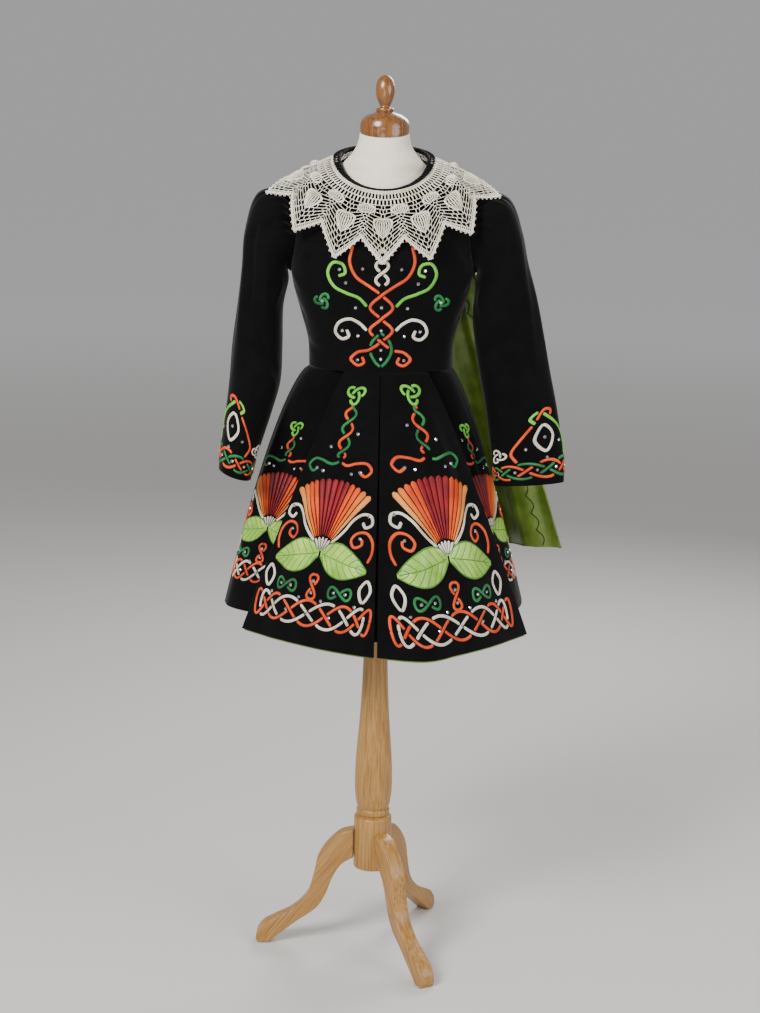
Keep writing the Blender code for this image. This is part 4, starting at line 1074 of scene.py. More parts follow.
@dataclass
class PanelSurface(Surface):
    """A left skirt panel: a counts its strips between folds, b is a height.

    Args:
        lines: its lines from the waist to the hem.
        metres: metres for one unit of a and of b.
        step: the steps of a and b that give the surface's slope.
        edge_calm: share of a strip beside a fold that the creases keep off.
    """

    lines: tuple[PanelLine, ...] = ()
    metres: tuple[float, float] = (0.20, 1.0)
    step: tuple[float, float] = (0.012, 0.004)
    edge_calm: float = 0.09

    def __post_init__(self) -> None:
        """Find its strips."""
        edges = [k for k, line in enumerate(self.lines) if line.name != "face"]
        self.strips = list(zip(edges, edges[1:]))
        self.face = next(n for n, (p, q) in enumerate(self.strips) if q - p > 1)
        self.waist = np.array([(line.waist_x, line.waist_y) for line in self.lines])
        self.hem = np.array([(line.hem_x, line.hem_y) for line in self.lines])
        self.bell = np.array([line.bell for line in self.lines])

    def strip_nodes(self, strip: int, z: Array) -> tuple[Array, Array]:
        """Return a strip's lines at some heights, as lengths across it and as plan points."""
        p, q = self.strips[strip]
        drop = np.clip((WAIST_Z - SEAM_GAP - z) / (WAIST_Z - HEM_Z), 1e-6, 1.0)
        share = (drop[:, None] ** self.bell[None, p:q + 1])[..., None]
        places = self.waist[p:q + 1] + (self.hem - self.waist)[p:q + 1] * share
        return along_line(places), places

    def beside(self, a: Array) -> tuple[Array, Array]:
        """Return places on both sides of a on its own strip, so that a fold stays sharp."""
        strip = np.floor(np.clip(a, 0, len(self.strips) - 1e-6))
        return (np.clip(a - self.step[0], strip, strip + 0.98),
                np.clip(a + self.step[0], strip + 0.02, strip + 1 - 1e-9))

    def to_fold(self, a: Array, b: Array) -> Array:
        """Return the distance to the nearest fold within the panel."""
        a, b = np.broadcast_arrays(a, b)
        strip = np.clip(np.floor(a), 0, len(self.strips) - 1)
        share = a - strip
        distance = np.full(a.shape, 1.0)
        for n in range(len(self.strips)):
            mine = strip == n
            if not mine.any():
                continue
            width = self.strip_nodes(n, b[mine])[0][:, -1]
            low = share[mine] * width if n else np.full(width.shape, 1.0)
            high = ((1 - share[mine]) * width if n < len(self.strips) - 1
                    else np.full(width.shape, 1.0))
            distance[mine] = np.minimum(low, high)
        return distance

    def width(self, z: Array) -> Array:
        """Return the width of the panel's face at some heights."""
        z = np.asarray(z, float)
        return self.strip_nodes(self.face, z.ravel())[0][:, -1].reshape(z.shape)

    def point(self, a: Array, b: Array) -> Array:
        """Return points of the panel."""
        a, b = np.broadcast_arrays(a, b)
        places, heights = a.ravel(), b.ravel()
        points = np.empty((len(places), 3))
        strips = np.clip(np.floor(places), 0, len(self.strips) - 1).astype(int)
        for strip in range(len(self.strips)):
            mine = strips == strip
            if not mine.any():
                continue
            nodes, values = self.strip_nodes(strip, heights[mine])
            points[mine, :2] = smooth_rows(nodes, values,
                                           (places[mine] - strip) * nodes[:, -1])
        points[:, 2] = heights
        return points.reshape(*a.shape, 3)

    def relief(self, a: Array, b: Array) -> Array:
        """Keep the creases off the pressed folds and the waist seam."""
        share = a - np.floor(np.clip(a, 0, len(self.strips) - 1e-6))
        calm = smoothstep(0, self.edge_calm, share) * smoothstep(0, self.edge_calm, 1 - share)
        return super().relief(a, b) * calm * smoothstep(0, 0.03, WAIST_Z - b)


@dataclass
class CollarSurface(Surface):
    """The collar: a counts its points from the centre back, b runs from neck (0) to edge (1).

    Args:
        points_round: the number of its points.
        opening: half its opening at the back, in degrees.
        neck_place: its neck edge's reach and rise from the neckline.
        notch_reach: depth of the notches between points, as a share of b.
        ladder_end: where the points begin.
        metres: metres for one unit of a and of b.
        step: the steps of a and b that give the surface's slope.
    """

    points_round: int = 13
    opening: float = 0.35
    neck_place: tuple[float, float] = (0.0110, 0.0036)
    notch_reach: float = 0.70
    ladder_end: float = 0.23
    metres: tuple[float, float] = (0.055, 0.10)
    step: tuple[float, float] = (0.03, -0.01)

    def point(self, a: Array, b: Array) -> Array:
        """Return points of the collar."""
        a, b = np.broadcast_arrays(np.asarray(a, float), np.asarray(b, float))
        degrees = -180 + self.opening + (360 - 2 * self.opening) / self.points_round * a
        share = a - np.floor(a)
        far = self.notch_reach + (1 - self.notch_reach) * (1 - np.abs(2 * share - 1))
        beyond = self.ladder_end + (far - self.ladder_end) * ((b - self.ladder_end)
                                                              / (1 - self.ladder_end))
        reach = np.where(b <= self.ladder_end, b, beyond)[..., None]
        line = smooth(COLLAR[:, 0], COLLAR[:, 1:], np.abs(degrees).ravel()).reshape(*a.shape, 4)
        inner = neckline(degrees, *self.neck_place)
        outer = line[..., :3] * np.stack([np.where(degrees < 0, -1.0, 1.0),
                                          np.ones_like(a), np.ones_like(a)], axis=-1)
        up = unit(unit(inner * (1, 1, 0)) * 0.6 + np.array((0, 0, 0.8)))
        return inner + (outer - inner) * reach + up * (4 * line[..., 3:] * reach * (1 - reach))


@dataclass
class ShawlSurface(Surface):
    """The shawl, facing front: a from its inner edge to its outer, b the height of its row.

    Args:
        metres: metres for one unit of a and of b.
        step: the steps of a and b that give the surface's slope.
        wave_step: the step of a that gives the direction of its waves.
    """

    metres: tuple[float, float] = (0.18, 1.0)
    step: tuple[float, float] = (0.01, 0.004)
    wave_step: float = 0.5 / 12

    def point(self, a: Array, b: Array) -> Array:
        """Return points of the shawl."""
        a, b = np.broadcast_arrays(a, b)
        share, z = np.clip(a.ravel(), 0, 1), b.ravel()
        rows = smooth(SHAWL[::-1, 0], SHAWL[::-1, 1:], z)
        places = rows[:, :8].reshape(-1, 4, 2)
        nodes = along_line(places)
        here, after, before = (
            smooth_rows(nodes, places, at * nodes[:, -1])
            for at in (share, np.minimum(share + self.wave_step, 1),
                       np.maximum(share - self.wave_step, 0)))
        ahead = after - before
        normal = unit(np.stack([-ahead[:, 1], ahead[:, 0]], axis=1))
        wave = rows[:, 9] * (1 + np.sin(math.tau * SHAWL_WAVES * share))
        plan = here + normal * wave[:, None]
        rise = z + rows[:, 8] * share
        return np.concatenate([plan, rise[:, None]], axis=1).reshape(*a.shape, 3)


def add_shell(parts: MeshParts, outer: Array, inner: Array, spots: Array, lined: Array,
              mirror: bool) -> None:
    """Add a cloth with both its sides and its edges.

    Args:
        parts: gets the cloth.
        outer: (rows, columns, 3) points of its outer side.
        inner: the same of its inner side.
        spots: (rows, columns, 2) places on the cloth.
        lined: (rows, columns) whether the inner side is lined there, in material 1.
        mirror: make the other side of the body's.
    """
    rows, columns = outer.shape[:2]
    count = rows * columns
    within = (lined[:-1, :-1] & lined[1:, 1:] & lined[:-1, 1:] & lined[1:, :-1]).ravel()
    faces = grid_faces(rows, columns)
    edge = rim_places(rows, columns) @ (columns, 1)
    after = np.roll(edge, -1)
    rim = np.stack([edge + count, after + count, after, edge], axis=1)
    slots = [0] * (len(faces) + len(rim)) + within.astype(int).tolist()
    points = np.concatenate([outer, inner])
    start = len(parts.faces)
    listed = np.concatenate([faces, rim, faces[:, ::-1] + count])
    if mirror:
        points, listed = points * (-1, 1, 1), listed[:, ::-1]
    parts.add(points, listed, 0, np.concatenate([spots, spots]))
    parts.slots[start:] = slots


def crowded(low: float, high: float, count: int, spots: Sequence[float] = (),
            reach: float = 0.02, crowd: float = 5.0) -> Array:
    """Return places from low to high, closer together near the spots.

    Args:
        low: the first place.
        high: the last place.
        count: the number of steps.
        spots: where the places crowd.
        reach: how far the crowding reaches.
        crowd: how many times closer they lie there.

    Returns:
        (count + 1,) places.
    """
    fine = np.linspace(low, high, 4001)
    density = 1 + sum((crowd * np.exp(-((fine - spot) / reach) ** 2) for spot in spots),
                      np.zeros_like(fine))
    total = np.concatenate([[0], np.cumsum((density[1:] + density[:-1]) / 2)])
    return np.interp(np.linspace(0, total[-1], count + 1), total, fine)


def add_cloth(parts: MeshParts, points: Array, mirror: bool = False, wrap: bool = False) -> None:
    """Add one side of a cloth.

    Args:
        parts: gets the cloth.
        points: (rows, columns, 3) points, rows going up.
        mirror: make the other side of the body's.
        wrap: join the last column to the first.
    """
    rows, columns = points.shape[:2]
    spots = cloth_places(points)
    faces = grid_faces(rows, columns, wrap)
    if mirror:
        points, faces = points * (-1, 1, 1), faces[:, ::-1]
    parts.add(points, faces, 0, spots)


# ---------------------------------------------------------------- garment pieces
# A loop of the neck's binding: its points' shares of its length and of the loops' spacing, and
# its way outwards and down.
LOOP_REACH = (0.0, 0.42, 0.95, 1.0, 0.95, 0.42, 0.0)
LOOP_TURN = (-0.42, -0.46, -0.26, 0.0, 0.26, 0.46, 0.42)
LOOP_WAY = (0.99, 0.06)
CENTRE_SEAM = Crease(0, 0.975, 0, 1.275, 0.0012, -0.0007)
# The dart's seam, the roll beside it and the folds at the armhole, on the left of the front.
BODICE_DARTS = creased(
    (23, 0.985, 21, 1.105, 0.0016, -0.0010), (26.5, 0.985, 23.5, 1.110, 0.0050, 0.0011),
    (61, 1.112, 84, 1.146, 0.0060, 0.0022), (70, 1.060, 89, 1.105, 0.0080, -0.0020),
)
BODICE_PULLS = creased(
    (-52, 1.012, -86, 1.030, 0.0060, -0.0022), (48, 1.004, 80, 1.014, 0.0055, 0.0021),
    (-40, 1.196, -62, 1.158, 0.0065, 0.0020), (44, 1.188, 64, 1.150, 0.0070, 0.0022),
    (-12, 1.000, -34, 1.020, 0.0055, 0.0013), (104, 1.030, 128, 1.012, 0.0065, 0.0023),
    (-98, 1.046, -124, 1.070, 0.0070, -0.0021), (112, 1.120, 132, 1.080, 0.0075, 0.0020),
    (-140, 1.000, -152, 1.060, 0.0060, 0.0017), (150, 1.010, 142, 1.090, 0.0070, -0.0016),
    (128, 1.180, 104, 1.150, 0.0070, 0.0021), (-126, 1.190, -102, 1.156, 0.0075, 0.0020),
)


@dataclass
class Bodice:
    """The velvet bodice: one front, two backs, and the roll that binds the neck.

    Args:
        rows: rows of cloth from the waist to the shoulder.
        columns: columns of cloth on each half.
        turn_in: degrees of seam allowance under the sleeve's head.
        binding_radius: of the roll.
        binding_place: the roll's reach and rise from the neckline.
        binding_end: the roll's end at the back, in degrees from the centre front.
        neck_length: of the neckline.
        loop_spacing: between the loops sewn along the roll, over the collar's first round.
        loop_place: their reach and rise from the roll's middle.
        loop_reach: their length.
        loop_end: the last loop's place, in degrees.
        loop_yarn: radius of their thread.
    """

    rows: int = 74
    columns: int = 46
    turn_in: float = 3.2
    binding_radius: float = 0.0030
    binding_place: tuple[float, float] = (0.0030, 0.0050)
    binding_end: float = 179.0
    neck_length: float = 0.47
    loop_spacing: float = 0.0060
    loop_place: tuple[float, float] = (0.0022, 0.0024)
    loop_reach: float = 0.0070
    loop_end: float = 177.5
    loop_yarn: float = 0.0010

    def surface(self) -> BodiceSurface:
        """Return its surface, with darts, the centre seam and the pulls at waist and armholes."""
        front = (*mirrored(BODICE_DARTS), *BODICE_DARTS)
        return BodiceSurface(creases=(CENTRE_SEAM, *front, *BODICE_PULLS))

    def half(self, parts: MeshParts, edges: Array, spots: tuple[float, ...],
             mirror: bool) -> None:
        """Add one half of a piece.

        Args:
            parts: gets the cloth.
            edges: the table of its two edges.
            spots: shares across where the columns crowd.
            mirror: make the right half.
        """
        z = crowded(edges[0, 0], edges[-1, 0], self.rows, (edges[0, 0], 1.28),
                    reach=0.012, crowd=2.0)
        low, high = (np.interp(z, edges[:, 0], edges[:, k])[:, None] for k in (1, 2))
        armhole = smoothstep(UNDERARM_Z + 0.001, UNDERARM_Z + 0.015, z)
        under = self.turn_in * armhole * (1 - smoothstep(SHOULDER_Z - 0.018,
                                                         SHOULDER_Z - 0.002, z))
        if edges is FRONT_EDGES:
            high = high + under[:, None]
        else:
            low = low - under[:, None]
        share = crowded(0, 1, self.columns, spots, reach=0.045)[None, :]
        surface = self.surface()
        if mirror:
            surface.creases = mirrored(surface.creases)
        add_cloth(parts, surface.lifted(low + (high - low) * share, z[:, None]), mirror)

    def build(self) -> None:
        """Make the three velvet pieces and the binding."""
        sides = (VELVET_BLACK, COTTON_BLACK)
        parts = MeshParts()
        for mirror in (False, True):
            self.half(parts, FRONT_EDGES, (0.0, 0.25), mirror)
        front = add_wall(parts.build("bodice_front_velvet", sides, weld=True), VELVET, 1)
        hand_over(front, ["bodice_front"])
        for name, mirror in (("left", False), ("right", True)):
            parts = MeshParts()
            self.half(parts, BACK_EDGES, (1.0,), mirror)
            back = add_wall(parts.build(f"bodice_back_{name}_velvet", sides), VELVET, 1)
            hand_over(back, [f"bodice_back_{name}"])
        self.bind()

    def bind(self) -> None:
        """Make the rolled binding of the neck with the small loops along it."""
        parts = MeshParts()
        degrees = np.linspace(-self.binding_end, self.binding_end, 240)
        middle = neckline(degrees, *self.binding_place)
        uneven = 1 + 0.05 * np.sin(degrees * 0.31) + 0.03 * np.sin(degrees * 0.83)
        add_tube(parts, middle[None], self.binding_radius * uneven[None, :], 12)
        count = int(self.neck_length / self.loop_spacing)
        at = np.linspace(-self.loop_end, self.loop_end, count)
        step = at[1] - at[0]
        reach = np.array(LOOP_REACH) * self.loop_reach
        turn = np.array(LOOP_TURN) * step
        ring = neckline(at[:, None] + turn, self.binding_place[0] + self.loop_place[0],
                        self.binding_place[1] + self.loop_place[1])
        out = unit(ring * (1, 1, 0)) * LOOP_WAY[0] - np.array((0, 0, LOOP_WAY[1]))
        add_tube(parts, ring + out * reach[:, None], self.loop_yarn, 5)
        hand_over(parts.build("neck_binding_roll", (SATIN_BLACK,)),
                  ["neck_binding"])


# Paths of more points than this run round the whole body.
LONG_PATH = 60
# Outwards and up, a way that no short cord on the body runs along.
SHORT_GUIDE = (0.013, 0.007, 0.75)
# The UV width of one radian round a cord.
RADIAN_WIDTH = 0.001


def add_tube(parts: MeshParts, paths: Array, radius: Array | float, sides: int = 6,
             slot: int = 0, closed: bool = False) -> None:
    """Add round cords along many paths of equal length.

    Args:
        parts: gets the cords.
        paths: (count, n, 3) middles.
        radius: one radius, or one for each middle.
        sides: of the cord's section.
        slot: its material number.
        closed: join each path's ends.
    """
    paths = np.asarray(paths, float)
    count, n = paths.shape[:2]
    if closed:
        ahead = np.roll(paths, -1, axis=1) - np.roll(paths, 1, axis=1)
    else:
        ahead = np.gradient(paths, axis=1)
    ahead = unit(ahead)
    guide = np.array((0.0, 0.0, 1.0))
    if n <= LONG_PATH:
        guide = unit(paths.mean(axis=1, keepdims=True) * (1, 1, 0)) + SHORT_GUIDE
    side = unit(np.cross(ahead, np.broadcast_to(guide, paths.shape)))
    over = np.cross(side, ahead)
    turn = np.arange(sides) * math.tau / sides
    ring = (side[:, :, None] * np.cos(turn)[:, None] + over[:, :, None] * np.sin(turn)[:, None])
    size = np.broadcast_to(np.asarray(radius, float), (count, n))[..., None, None]
    points = paths[:, :, None] + ring * size
    quads = grid_faces(n + closed, sides, wrap=True) % (n * sides)
    faces = (quads[None] + (np.arange(count) * n * sides)[:, None, None]).reshape(-1, 4).tolist()
    if not closed:
        for k in range(count):
            base = k * n * sides
            faces.append([base + j for j in range(sides)][::-1])
            faces.append([base + (n - 1) * sides + j for j in range(sides)])
    spots = np.stack(np.broadcast_arrays(along_line(paths)[:, :, None], turn * RADIAN_WIDTH),
                     axis=-1)
    parts.add(points, faces, slot, spots)


# From and to, width and depth of each sleeve's creases, the turns counted over the front.
SLEEVE_CREASES_LEFT = creased(
    (0.10, 0.80, 0.17, 0.30, 0.010, 0.0030), (0.17, 0.84, 0.24, 0.44, 0.008, -0.0028),
    (0.30, 0.86, 0.36, 0.50, 0.010, 0.0032), (0.25, 0.52, 0.40, 0.60, 0.006, -0.0026),
    (0.23, 0.47, 0.41, 0.51, 0.006, 0.0022), (0.42, 0.88, 0.36, 0.70, 0.007, 0.0030),
    (0.22, 0.36, 0.20, 0.06, 0.010, 0.0024), (0.32, 0.32, 0.30, 0.04, 0.008, -0.0020),
    (0.04, 0.70, 0.02, 0.34, 0.011, 0.0026), (-0.08, 0.76, -0.12, 0.30, 0.010, -0.0026),
    (-0.20, 0.80, -0.24, 0.36, 0.010, 0.0030), (-0.32, 0.62, -0.40, 0.46, 0.007, 0.0026),
    (-0.36, 0.84, -0.30, 0.62, 0.008, -0.0030), (-0.22, 0.30, -0.26, 0.05, 0.009, 0.0022),
)
SLEEVE_CREASES_RIGHT = creased(
    (0.08, 0.82, 0.13, 0.40, 0.009, 0.0028), (0.15, 0.86, 0.20, 0.50, 0.008, -0.0026),
    (0.27, 0.84, 0.30, 0.58, 0.009, 0.0030), (0.22, 0.56, 0.41, 0.50, 0.006, -0.0026),
    (0.20, 0.48, 0.42, 0.44, 0.007, 0.0024), (0.18, 0.42, 0.36, 0.36, 0.006, -0.0020),
    (0.40, 0.90, 0.35, 0.72, 0.007, 0.0030), (0.24, 0.30, 0.25, 0.05, 0.008, 0.0022),
    (0.02, 0.66, 0.05, 0.30, 0.010, -0.0022), (-0.10, 0.78, -0.14, 0.40, 0.010, 0.0028),
    (-0.24, 0.76, -0.22, 0.34, 0.010, -0.0030), (-0.34, 0.60, -0.42, 0.48, 0.007, 0.0026),
    (-0.30, 0.30, -0.28, 0.06, 0.009, 0.0020),
)


@dataclass
class Sleeves:
    """The two velvet sleeves, gathered at the head and wide and flat at the cuff.

    Args:
        columns: round a sleeve.
        rows: from the cuff to the armhole.
        uneven: how far the right sleeve's gathers lie off the left one's, in turns.
        gathers: turns at which the head is gathered.
        lengths: flat lengths of both sleeves.
    """

    columns: int = 132
    rows: int = 84
    uneven: float = 0.012
    gathers: tuple[float, ...] = (-0.235, -0.200, -0.158, -0.128, -0.090, -0.061, -0.026, 0.006,
                                  0.043, 0.071, 0.108, 0.137, 0.176, 0.212, 0.246)
    lengths: tuple[tuple[str, float], ...] = (("left", 0.465), ("right", 0.455))

    def surface(self, side: str) -> SleeveSurface:
        """Return a sleeve's surface, in the left sleeve's places."""
        left = side == "left"
        nudge = 0.0 if left else self.uneven
        return SleeveSurface(
            creases=mirrored(SLEEVE_CREASES_LEFT if left else SLEEVE_CREASES_RIGHT),
            rings=SLEEVE_LEFT if left else SLEEVE_RIGHT,
            gathers=tuple(g + nudge * math.sin(9 * g) for g in self.gathers))

    def build(self) -> None:
        """Make both sleeves."""
        for side, length in self.lengths:
            parts = MeshParts()
            a = np.linspace(-0.5, 0.5, self.columns + 1)[:-1][None, :]
            b = crowded(0, 1, self.rows, (0.0, 1.0), reach=0.03, crowd=3.0)[:, None]
            add_cloth(parts, self.surface(side).lifted(a, b), side == "right", wrap=True)
            cloth = parts.build(f"sleeve_{side}_velvet", (VELVET_BLACK, COTTON_BLACK))
            hand_over(add_wall(cloth, VELVET, 1), [f"sleeve_{side}"])


class Panel(NamedTuple):
    """One panel of the skirt.

    Args:
        name: its place.
        lines: from the waist to the hem, in the left side's places.
        mirror: whether it lies on the right.
        cut: its cloth; not used.
        creases: its soft folds.
    """

    name: str
    lines: tuple[PanelLine, ...]
    mirror: bool
    cut: Cut
    creases: tuple[Crease, ...]


def folded(width: float, length: float, area: float) -> Cut:
    """Return the cut of a pleated panel of the skirt."""
    return Cut((width, length), "folded", ("form_torso",), area)


PANELS = (
    Panel("front_left", FRONT_LEFT, False, folded(0.56, 0.46, 0.163), creased(
        (2.22, 0.965, 2.30, 0.580, 0.016, 0.0024), (2.46, 0.955, 2.50, 0.700, 0.013, -0.0020),
        (2.70, 0.960, 2.64, 0.600, 0.017, 0.0030), (2.84, 0.900, 2.86, 0.570, 0.013, -0.0024),
        (3.40, 0.900, 3.50, 0.600, 0.012, 0.0020))),
    Panel("side_left", SIDE_LEFT, False, folded(0.27, 0.45, 0.091), creased(
        (0.30, 0.950, 0.24, 0.600, 0.016, 0.0026), (0.55, 0.930, 0.60, 0.570, 0.014, -0.0026),
        (0.80, 0.940, 0.76, 0.640, 0.013, 0.0022))),
    Panel("back_left", BACK_LEFT, False, folded(0.50, 0.455, 0.141), creased(
        (0.18, 0.950, 0.15, 0.600, 0.015, 0.0026), (0.36, 0.960, 0.40, 0.570, 0.018, -0.0030),
        (0.58, 0.940, 0.60, 0.600, 0.016, 0.0030), (0.78, 0.930, 0.84, 0.570, 0.014, -0.0024))),
    Panel("front_right", FRONT_RIGHT, True, folded(0.50, 0.455, 0.142), creased(
        (2.24, 0.960, 2.18, 0.590, 0.015, 0.0022), (2.48, 0.950, 2.44, 0.640, 0.013, -0.0022),
        (2.66, 0.955, 2.72, 0.580, 0.016, 0.0028), (2.86, 0.880, 2.84, 0.570, 0.012, -0.0020),
        (3.50, 0.900, 3.45, 0.600, 0.012, 0.0020))),
    Panel("side_right", SIDE_RIGHT, True, folded(0.24, 0.445, 0.094), creased(
        (0.26, 0.940, 0.30, 0.590, 0.015, 0.0026), (0.52, 0.950, 0.48, 0.600, 0.014, -0.0024),
        (0.78, 0.930, 0.80, 0.580, 0.014, 0.0026))),
    Panel("back_right", BACK_RIGHT, True, folded(0.50, 0.45, 0.147), creased(
        (0.20, 0.940, 0.24, 0.580, 0.015, -0.0026), (0.40, 0.950, 0.36, 0.600, 0.017, 0.0030),
        (0.62, 0.930, 0.58, 0.570, 0.017, -0.0030), (0.82, 0.940, 0.78, 0.620, 0.014, 0.0026))),
)


@dataclass
class Skirt:
    """The six pleated panels with their satin lining.

    Args:
        rows: rows of cloth from the hem to the waist.
        face: columns over a panel's face.
        strip: columns over a pleat's turned part.
        hem_band: share of the drop where the front's satin band starts.
        satin_drop: how far the satin shows below the velvet's hem.
        fold_wall: thickness left at a pressed fold.
        fold_slope: how fast the cloth gets its full thickness away from the fold.
        allowance: velvet turned in beside a fold, where the lining starts.
        band_rows: rows of the satin band.
        band_columns: its columns.
        band_ends: its ends, as shares of the face.
        band_inset: how far it lies inside the velvet.
        band_widths: its flat width on each side; not used.
        band_length: its flat length; not used.
    """

    rows: int = 76
    face: int = 58
    strip: int = 13
    hem_band: float = 0.93
    satin_drop: float = 0.0024
    fold_wall: float = 0.00002
    fold_slope: float = 0.16
    allowance: float = 0.008
    band_rows: int = 10
    band_columns: int = 70
    band_ends: tuple[float, float] = (0.012, 0.988)
    band_inset: float = 0.0003
    band_widths: tuple[tuple[str, float], ...] = (("left", 0.325), ("right", 0.285))
    band_length: float = 0.034

    def columns(self, surface: PanelSurface) -> Array:
        """Return the places of a panel's columns, closer together at its pressed folds."""
        places = [np.zeros(1)]
        for strip, (p, q) in enumerate(surface.strips):
            count = self.face if q - p > 1 else self.strip
            reach = 0.02 if q - p > 1 else 0.10
            places.append(crowded(strip, strip + 1, count, (strip, strip + 1), reach, 7.0)[1:])
        return np.concatenate(places)

    def build(self) -> None:
        """Make the panels and the front's satin bands."""
        for panel in PANELS:
            surface = PanelSurface(creases=panel.creases, lines=panel.lines)
            parts = MeshParts()
            z = crowded(HEM_Z, WAIST_Z - SEAM_GAP, self.rows, (HEM_Z,), reach=0.006,
                        crowd=3.0)[:, None]
            a, z = np.broadcast_arrays(self.columns(surface)[None, :], z)
            to_fold = surface.to_fold(a, z)
            wall = np.minimum(VELVET, self.fold_wall + self.fold_slope * to_fold)
            outer, inner = surface.lifted(a, z), surface.lifted(a, z, -wall)
            spots = np.stack([along_line(outer), z], axis=-1)
            add_shell(parts, outer, inner, spots, to_fold > self.allowance, panel.mirror)
            cloth = parts.build(f"skirt_{panel.name}_velvet", (VELVET_BLACK, SATIN_GREEN))
            hand_over(cloth, [f"skirt_{panel.name}"])
            if panel.name.startswith("front"):
                self.hem_lining(panel, surface)

    def hem_lining(self, panel: Panel, surface: PanelSurface) -> None:
        """Make the satin band inside a front panel's hem."""
        parts = MeshParts()
        top = WAIST_Z + (HEM_Z - WAIST_Z) * self.hem_band
        z = crowded(HEM_Z, top, self.band_rows, (HEM_Z,), reach=0.004, crowd=3.0)[:, None]
        a = surface.face + np.linspace(*self.band_ends, self.band_columns)[None, :]
        inset = VELVET + 2 * SEAM_GAP
        points = surface.lifted(a, z, -inset - self.band_inset)
        points[0, :, 2] -= self.satin_drop
        points[1, :, 2] -= self.satin_drop * 0.55
        add_cloth(parts, points, panel.mirror)
        band = add_wall(parts.build(f"hem_lining_{panel.name}_satin", (SATIN_GREEN,)), SATIN)
        side = panel.name.split("_")[1]
        hand_over(band, [f"hem_lining_{side}"])


@dataclass
class Shawl:
    """The shawl that hangs from the left shoulder at the back: velvet outside, satin inside.

    Args:
        columns: across it.
        rows: down it.
        flat: its flat width and length; not used.
        area: its flat area; not used.
        side_roll: radius of the satin turned over its sides.
        hem_roll: radius of the satin turned over its ends.
        roll_lift: how far the rolls stand off its middle.
        scallop: length and depth of one stitched scallop.
        scallop_inset: of the scallops from the outer edge.
        scallop_ends: how far they stop from the lower and the upper end.
        thread: radius of the stitching.
    """

    columns: int = 100
    rows: int = 92
    flat: tuple[float, float] = (0.26, 0.66)
    area: float = 0.105
    side_roll: float = 0.0019
    hem_roll: float = 0.0016
    roll_lift: float = 0.0003
    scallop: tuple[float, float] = (0.032, 0.0075)
    scallop_inset: float = 0.037
    scallop_ends: tuple[float, float] = (0.003, 0.03)
    thread: float = 0.00085

    def surface(self) -> ShawlSurface:
        """Return its surface with hanging folds."""
        return ShawlSurface(creases=creased(
            (0.34, 1.08, 0.30, 0.64, 0.010, 0.0030), (0.62, 1.12, 0.66, 0.64, 0.009, -0.0028),
            (0.86, 0.96, 0.84, 0.63, 0.008, 0.0032), (0.50, 0.90, 0.48, 0.64, 0.008, 0.0024),
            (0.76, 0.86, 0.75, 0.63, 0.007, -0.0024), (0.14, 1.00, 0.16, 0.66, 0.009, 0.0026)))

    def build(self) -> None:
        """Make both layers and the rolled edges."""
        surface = self.surface()
        z = crowded(SHAWL[-1, 0], SHAWL[0, 0], self.rows, (SHAWL[-1, 0],), reach=0.006,
                    crowd=2.0)[:, None]
        a = crowded(0, 1, self.columns, (0.0, 1.0), reach=0.03, crowd=3.0)[None, :]
        back = surface.lifted(a, z, -VELVET / 2 - SEAM_GAP)[:, ::-1]
        front = surface.lifted(a, z, SATIN + SEAM_GAP)
        for points, name, finish, slot, wall, node, rests_on in (
                (back, "shawl_velvet", VELVET_BLACK, "black_velvet", VELVET, "shawl",
                 ("bodice_back_left", "lace_collar")),
                (front, "shawl_lining_satin", SATIN_GREEN, "green_satin", SATIN, "shawl_lining",
                 ("shawl",))):
            parts = MeshParts()
            add_cloth(parts, points)
            hand_over(add_wall(parts.build(name, (finish,)), wall), [node])
        self.edges(surface)

    def edges(self, surface: ShawlSurface) -> None:
        """Make the turned satin edges and the scalloped line stitched along them."""
        low, high = SHAWL[-1, 0], SHAWL[0, 0]
        parts = MeshParts()
        z = np.linspace(low, high, 160)
        for share in (0.0, 1.0):
            add_tube(parts, surface.lifted(np.full(160, share), z, self.roll_lift)[None],
                     self.side_roll * (1 + 0.06 * np.sin(z * 130))[None], 10)
        a = np.linspace(0.0, 1.0, 110)
        for height in (low, high):
            add_tube(parts, surface.lifted(a, np.full(110, height), self.roll_lift)[None],
                     self.hem_roll * (1 + 0.06 * np.sin(a * 40))[None], 10)
        hand_over(parts.build("shawl_turned_edges_satin", (SATIN_GREEN,)))
        parts = MeshParts()
        z = np.linspace(low + self.scallop_ends[0], high - self.scallop_ends[1], 420)
        wave = np.abs(np.sin(math.pi * (z - low) / self.scallop[0]))
        width = np.linalg.norm(surface.point(np.ones(420), z) - surface.point(np.zeros(420), z),
                               axis=-1)
        side = 1 - (self.scallop_inset - self.scallop[1] * wave) / width
        lift = SATIN + SEAM_GAP + self.roll_lift
        add_tube(parts, surface.lifted(side, z, lift)[None], self.thread, 6)
        hand_over(parts.build("shawl_scalloped_stitching", (Thread.BLACK,)))


# ---------------------------------------------------------------- form and stand
def add_grain(item: bpy.types.Object, turn: Matrix | None = None) -> None:
    """Give a wooden piece the places of its grain, which runs along Z of those places."""
    mesh = item.data
    places = np.empty(len(mesh.vertices) * 3)
    mesh.vertices.foreach_get("co", places)
    places = places.reshape(-1, 3)
    if turn is not None:
        places = places @ np.array(turn.to_3x3()).T
    store = mesh.attributes.new("grain", "FLOAT_VECTOR", "POINT")
    store.data.foreach_set("vector", places.ravel())


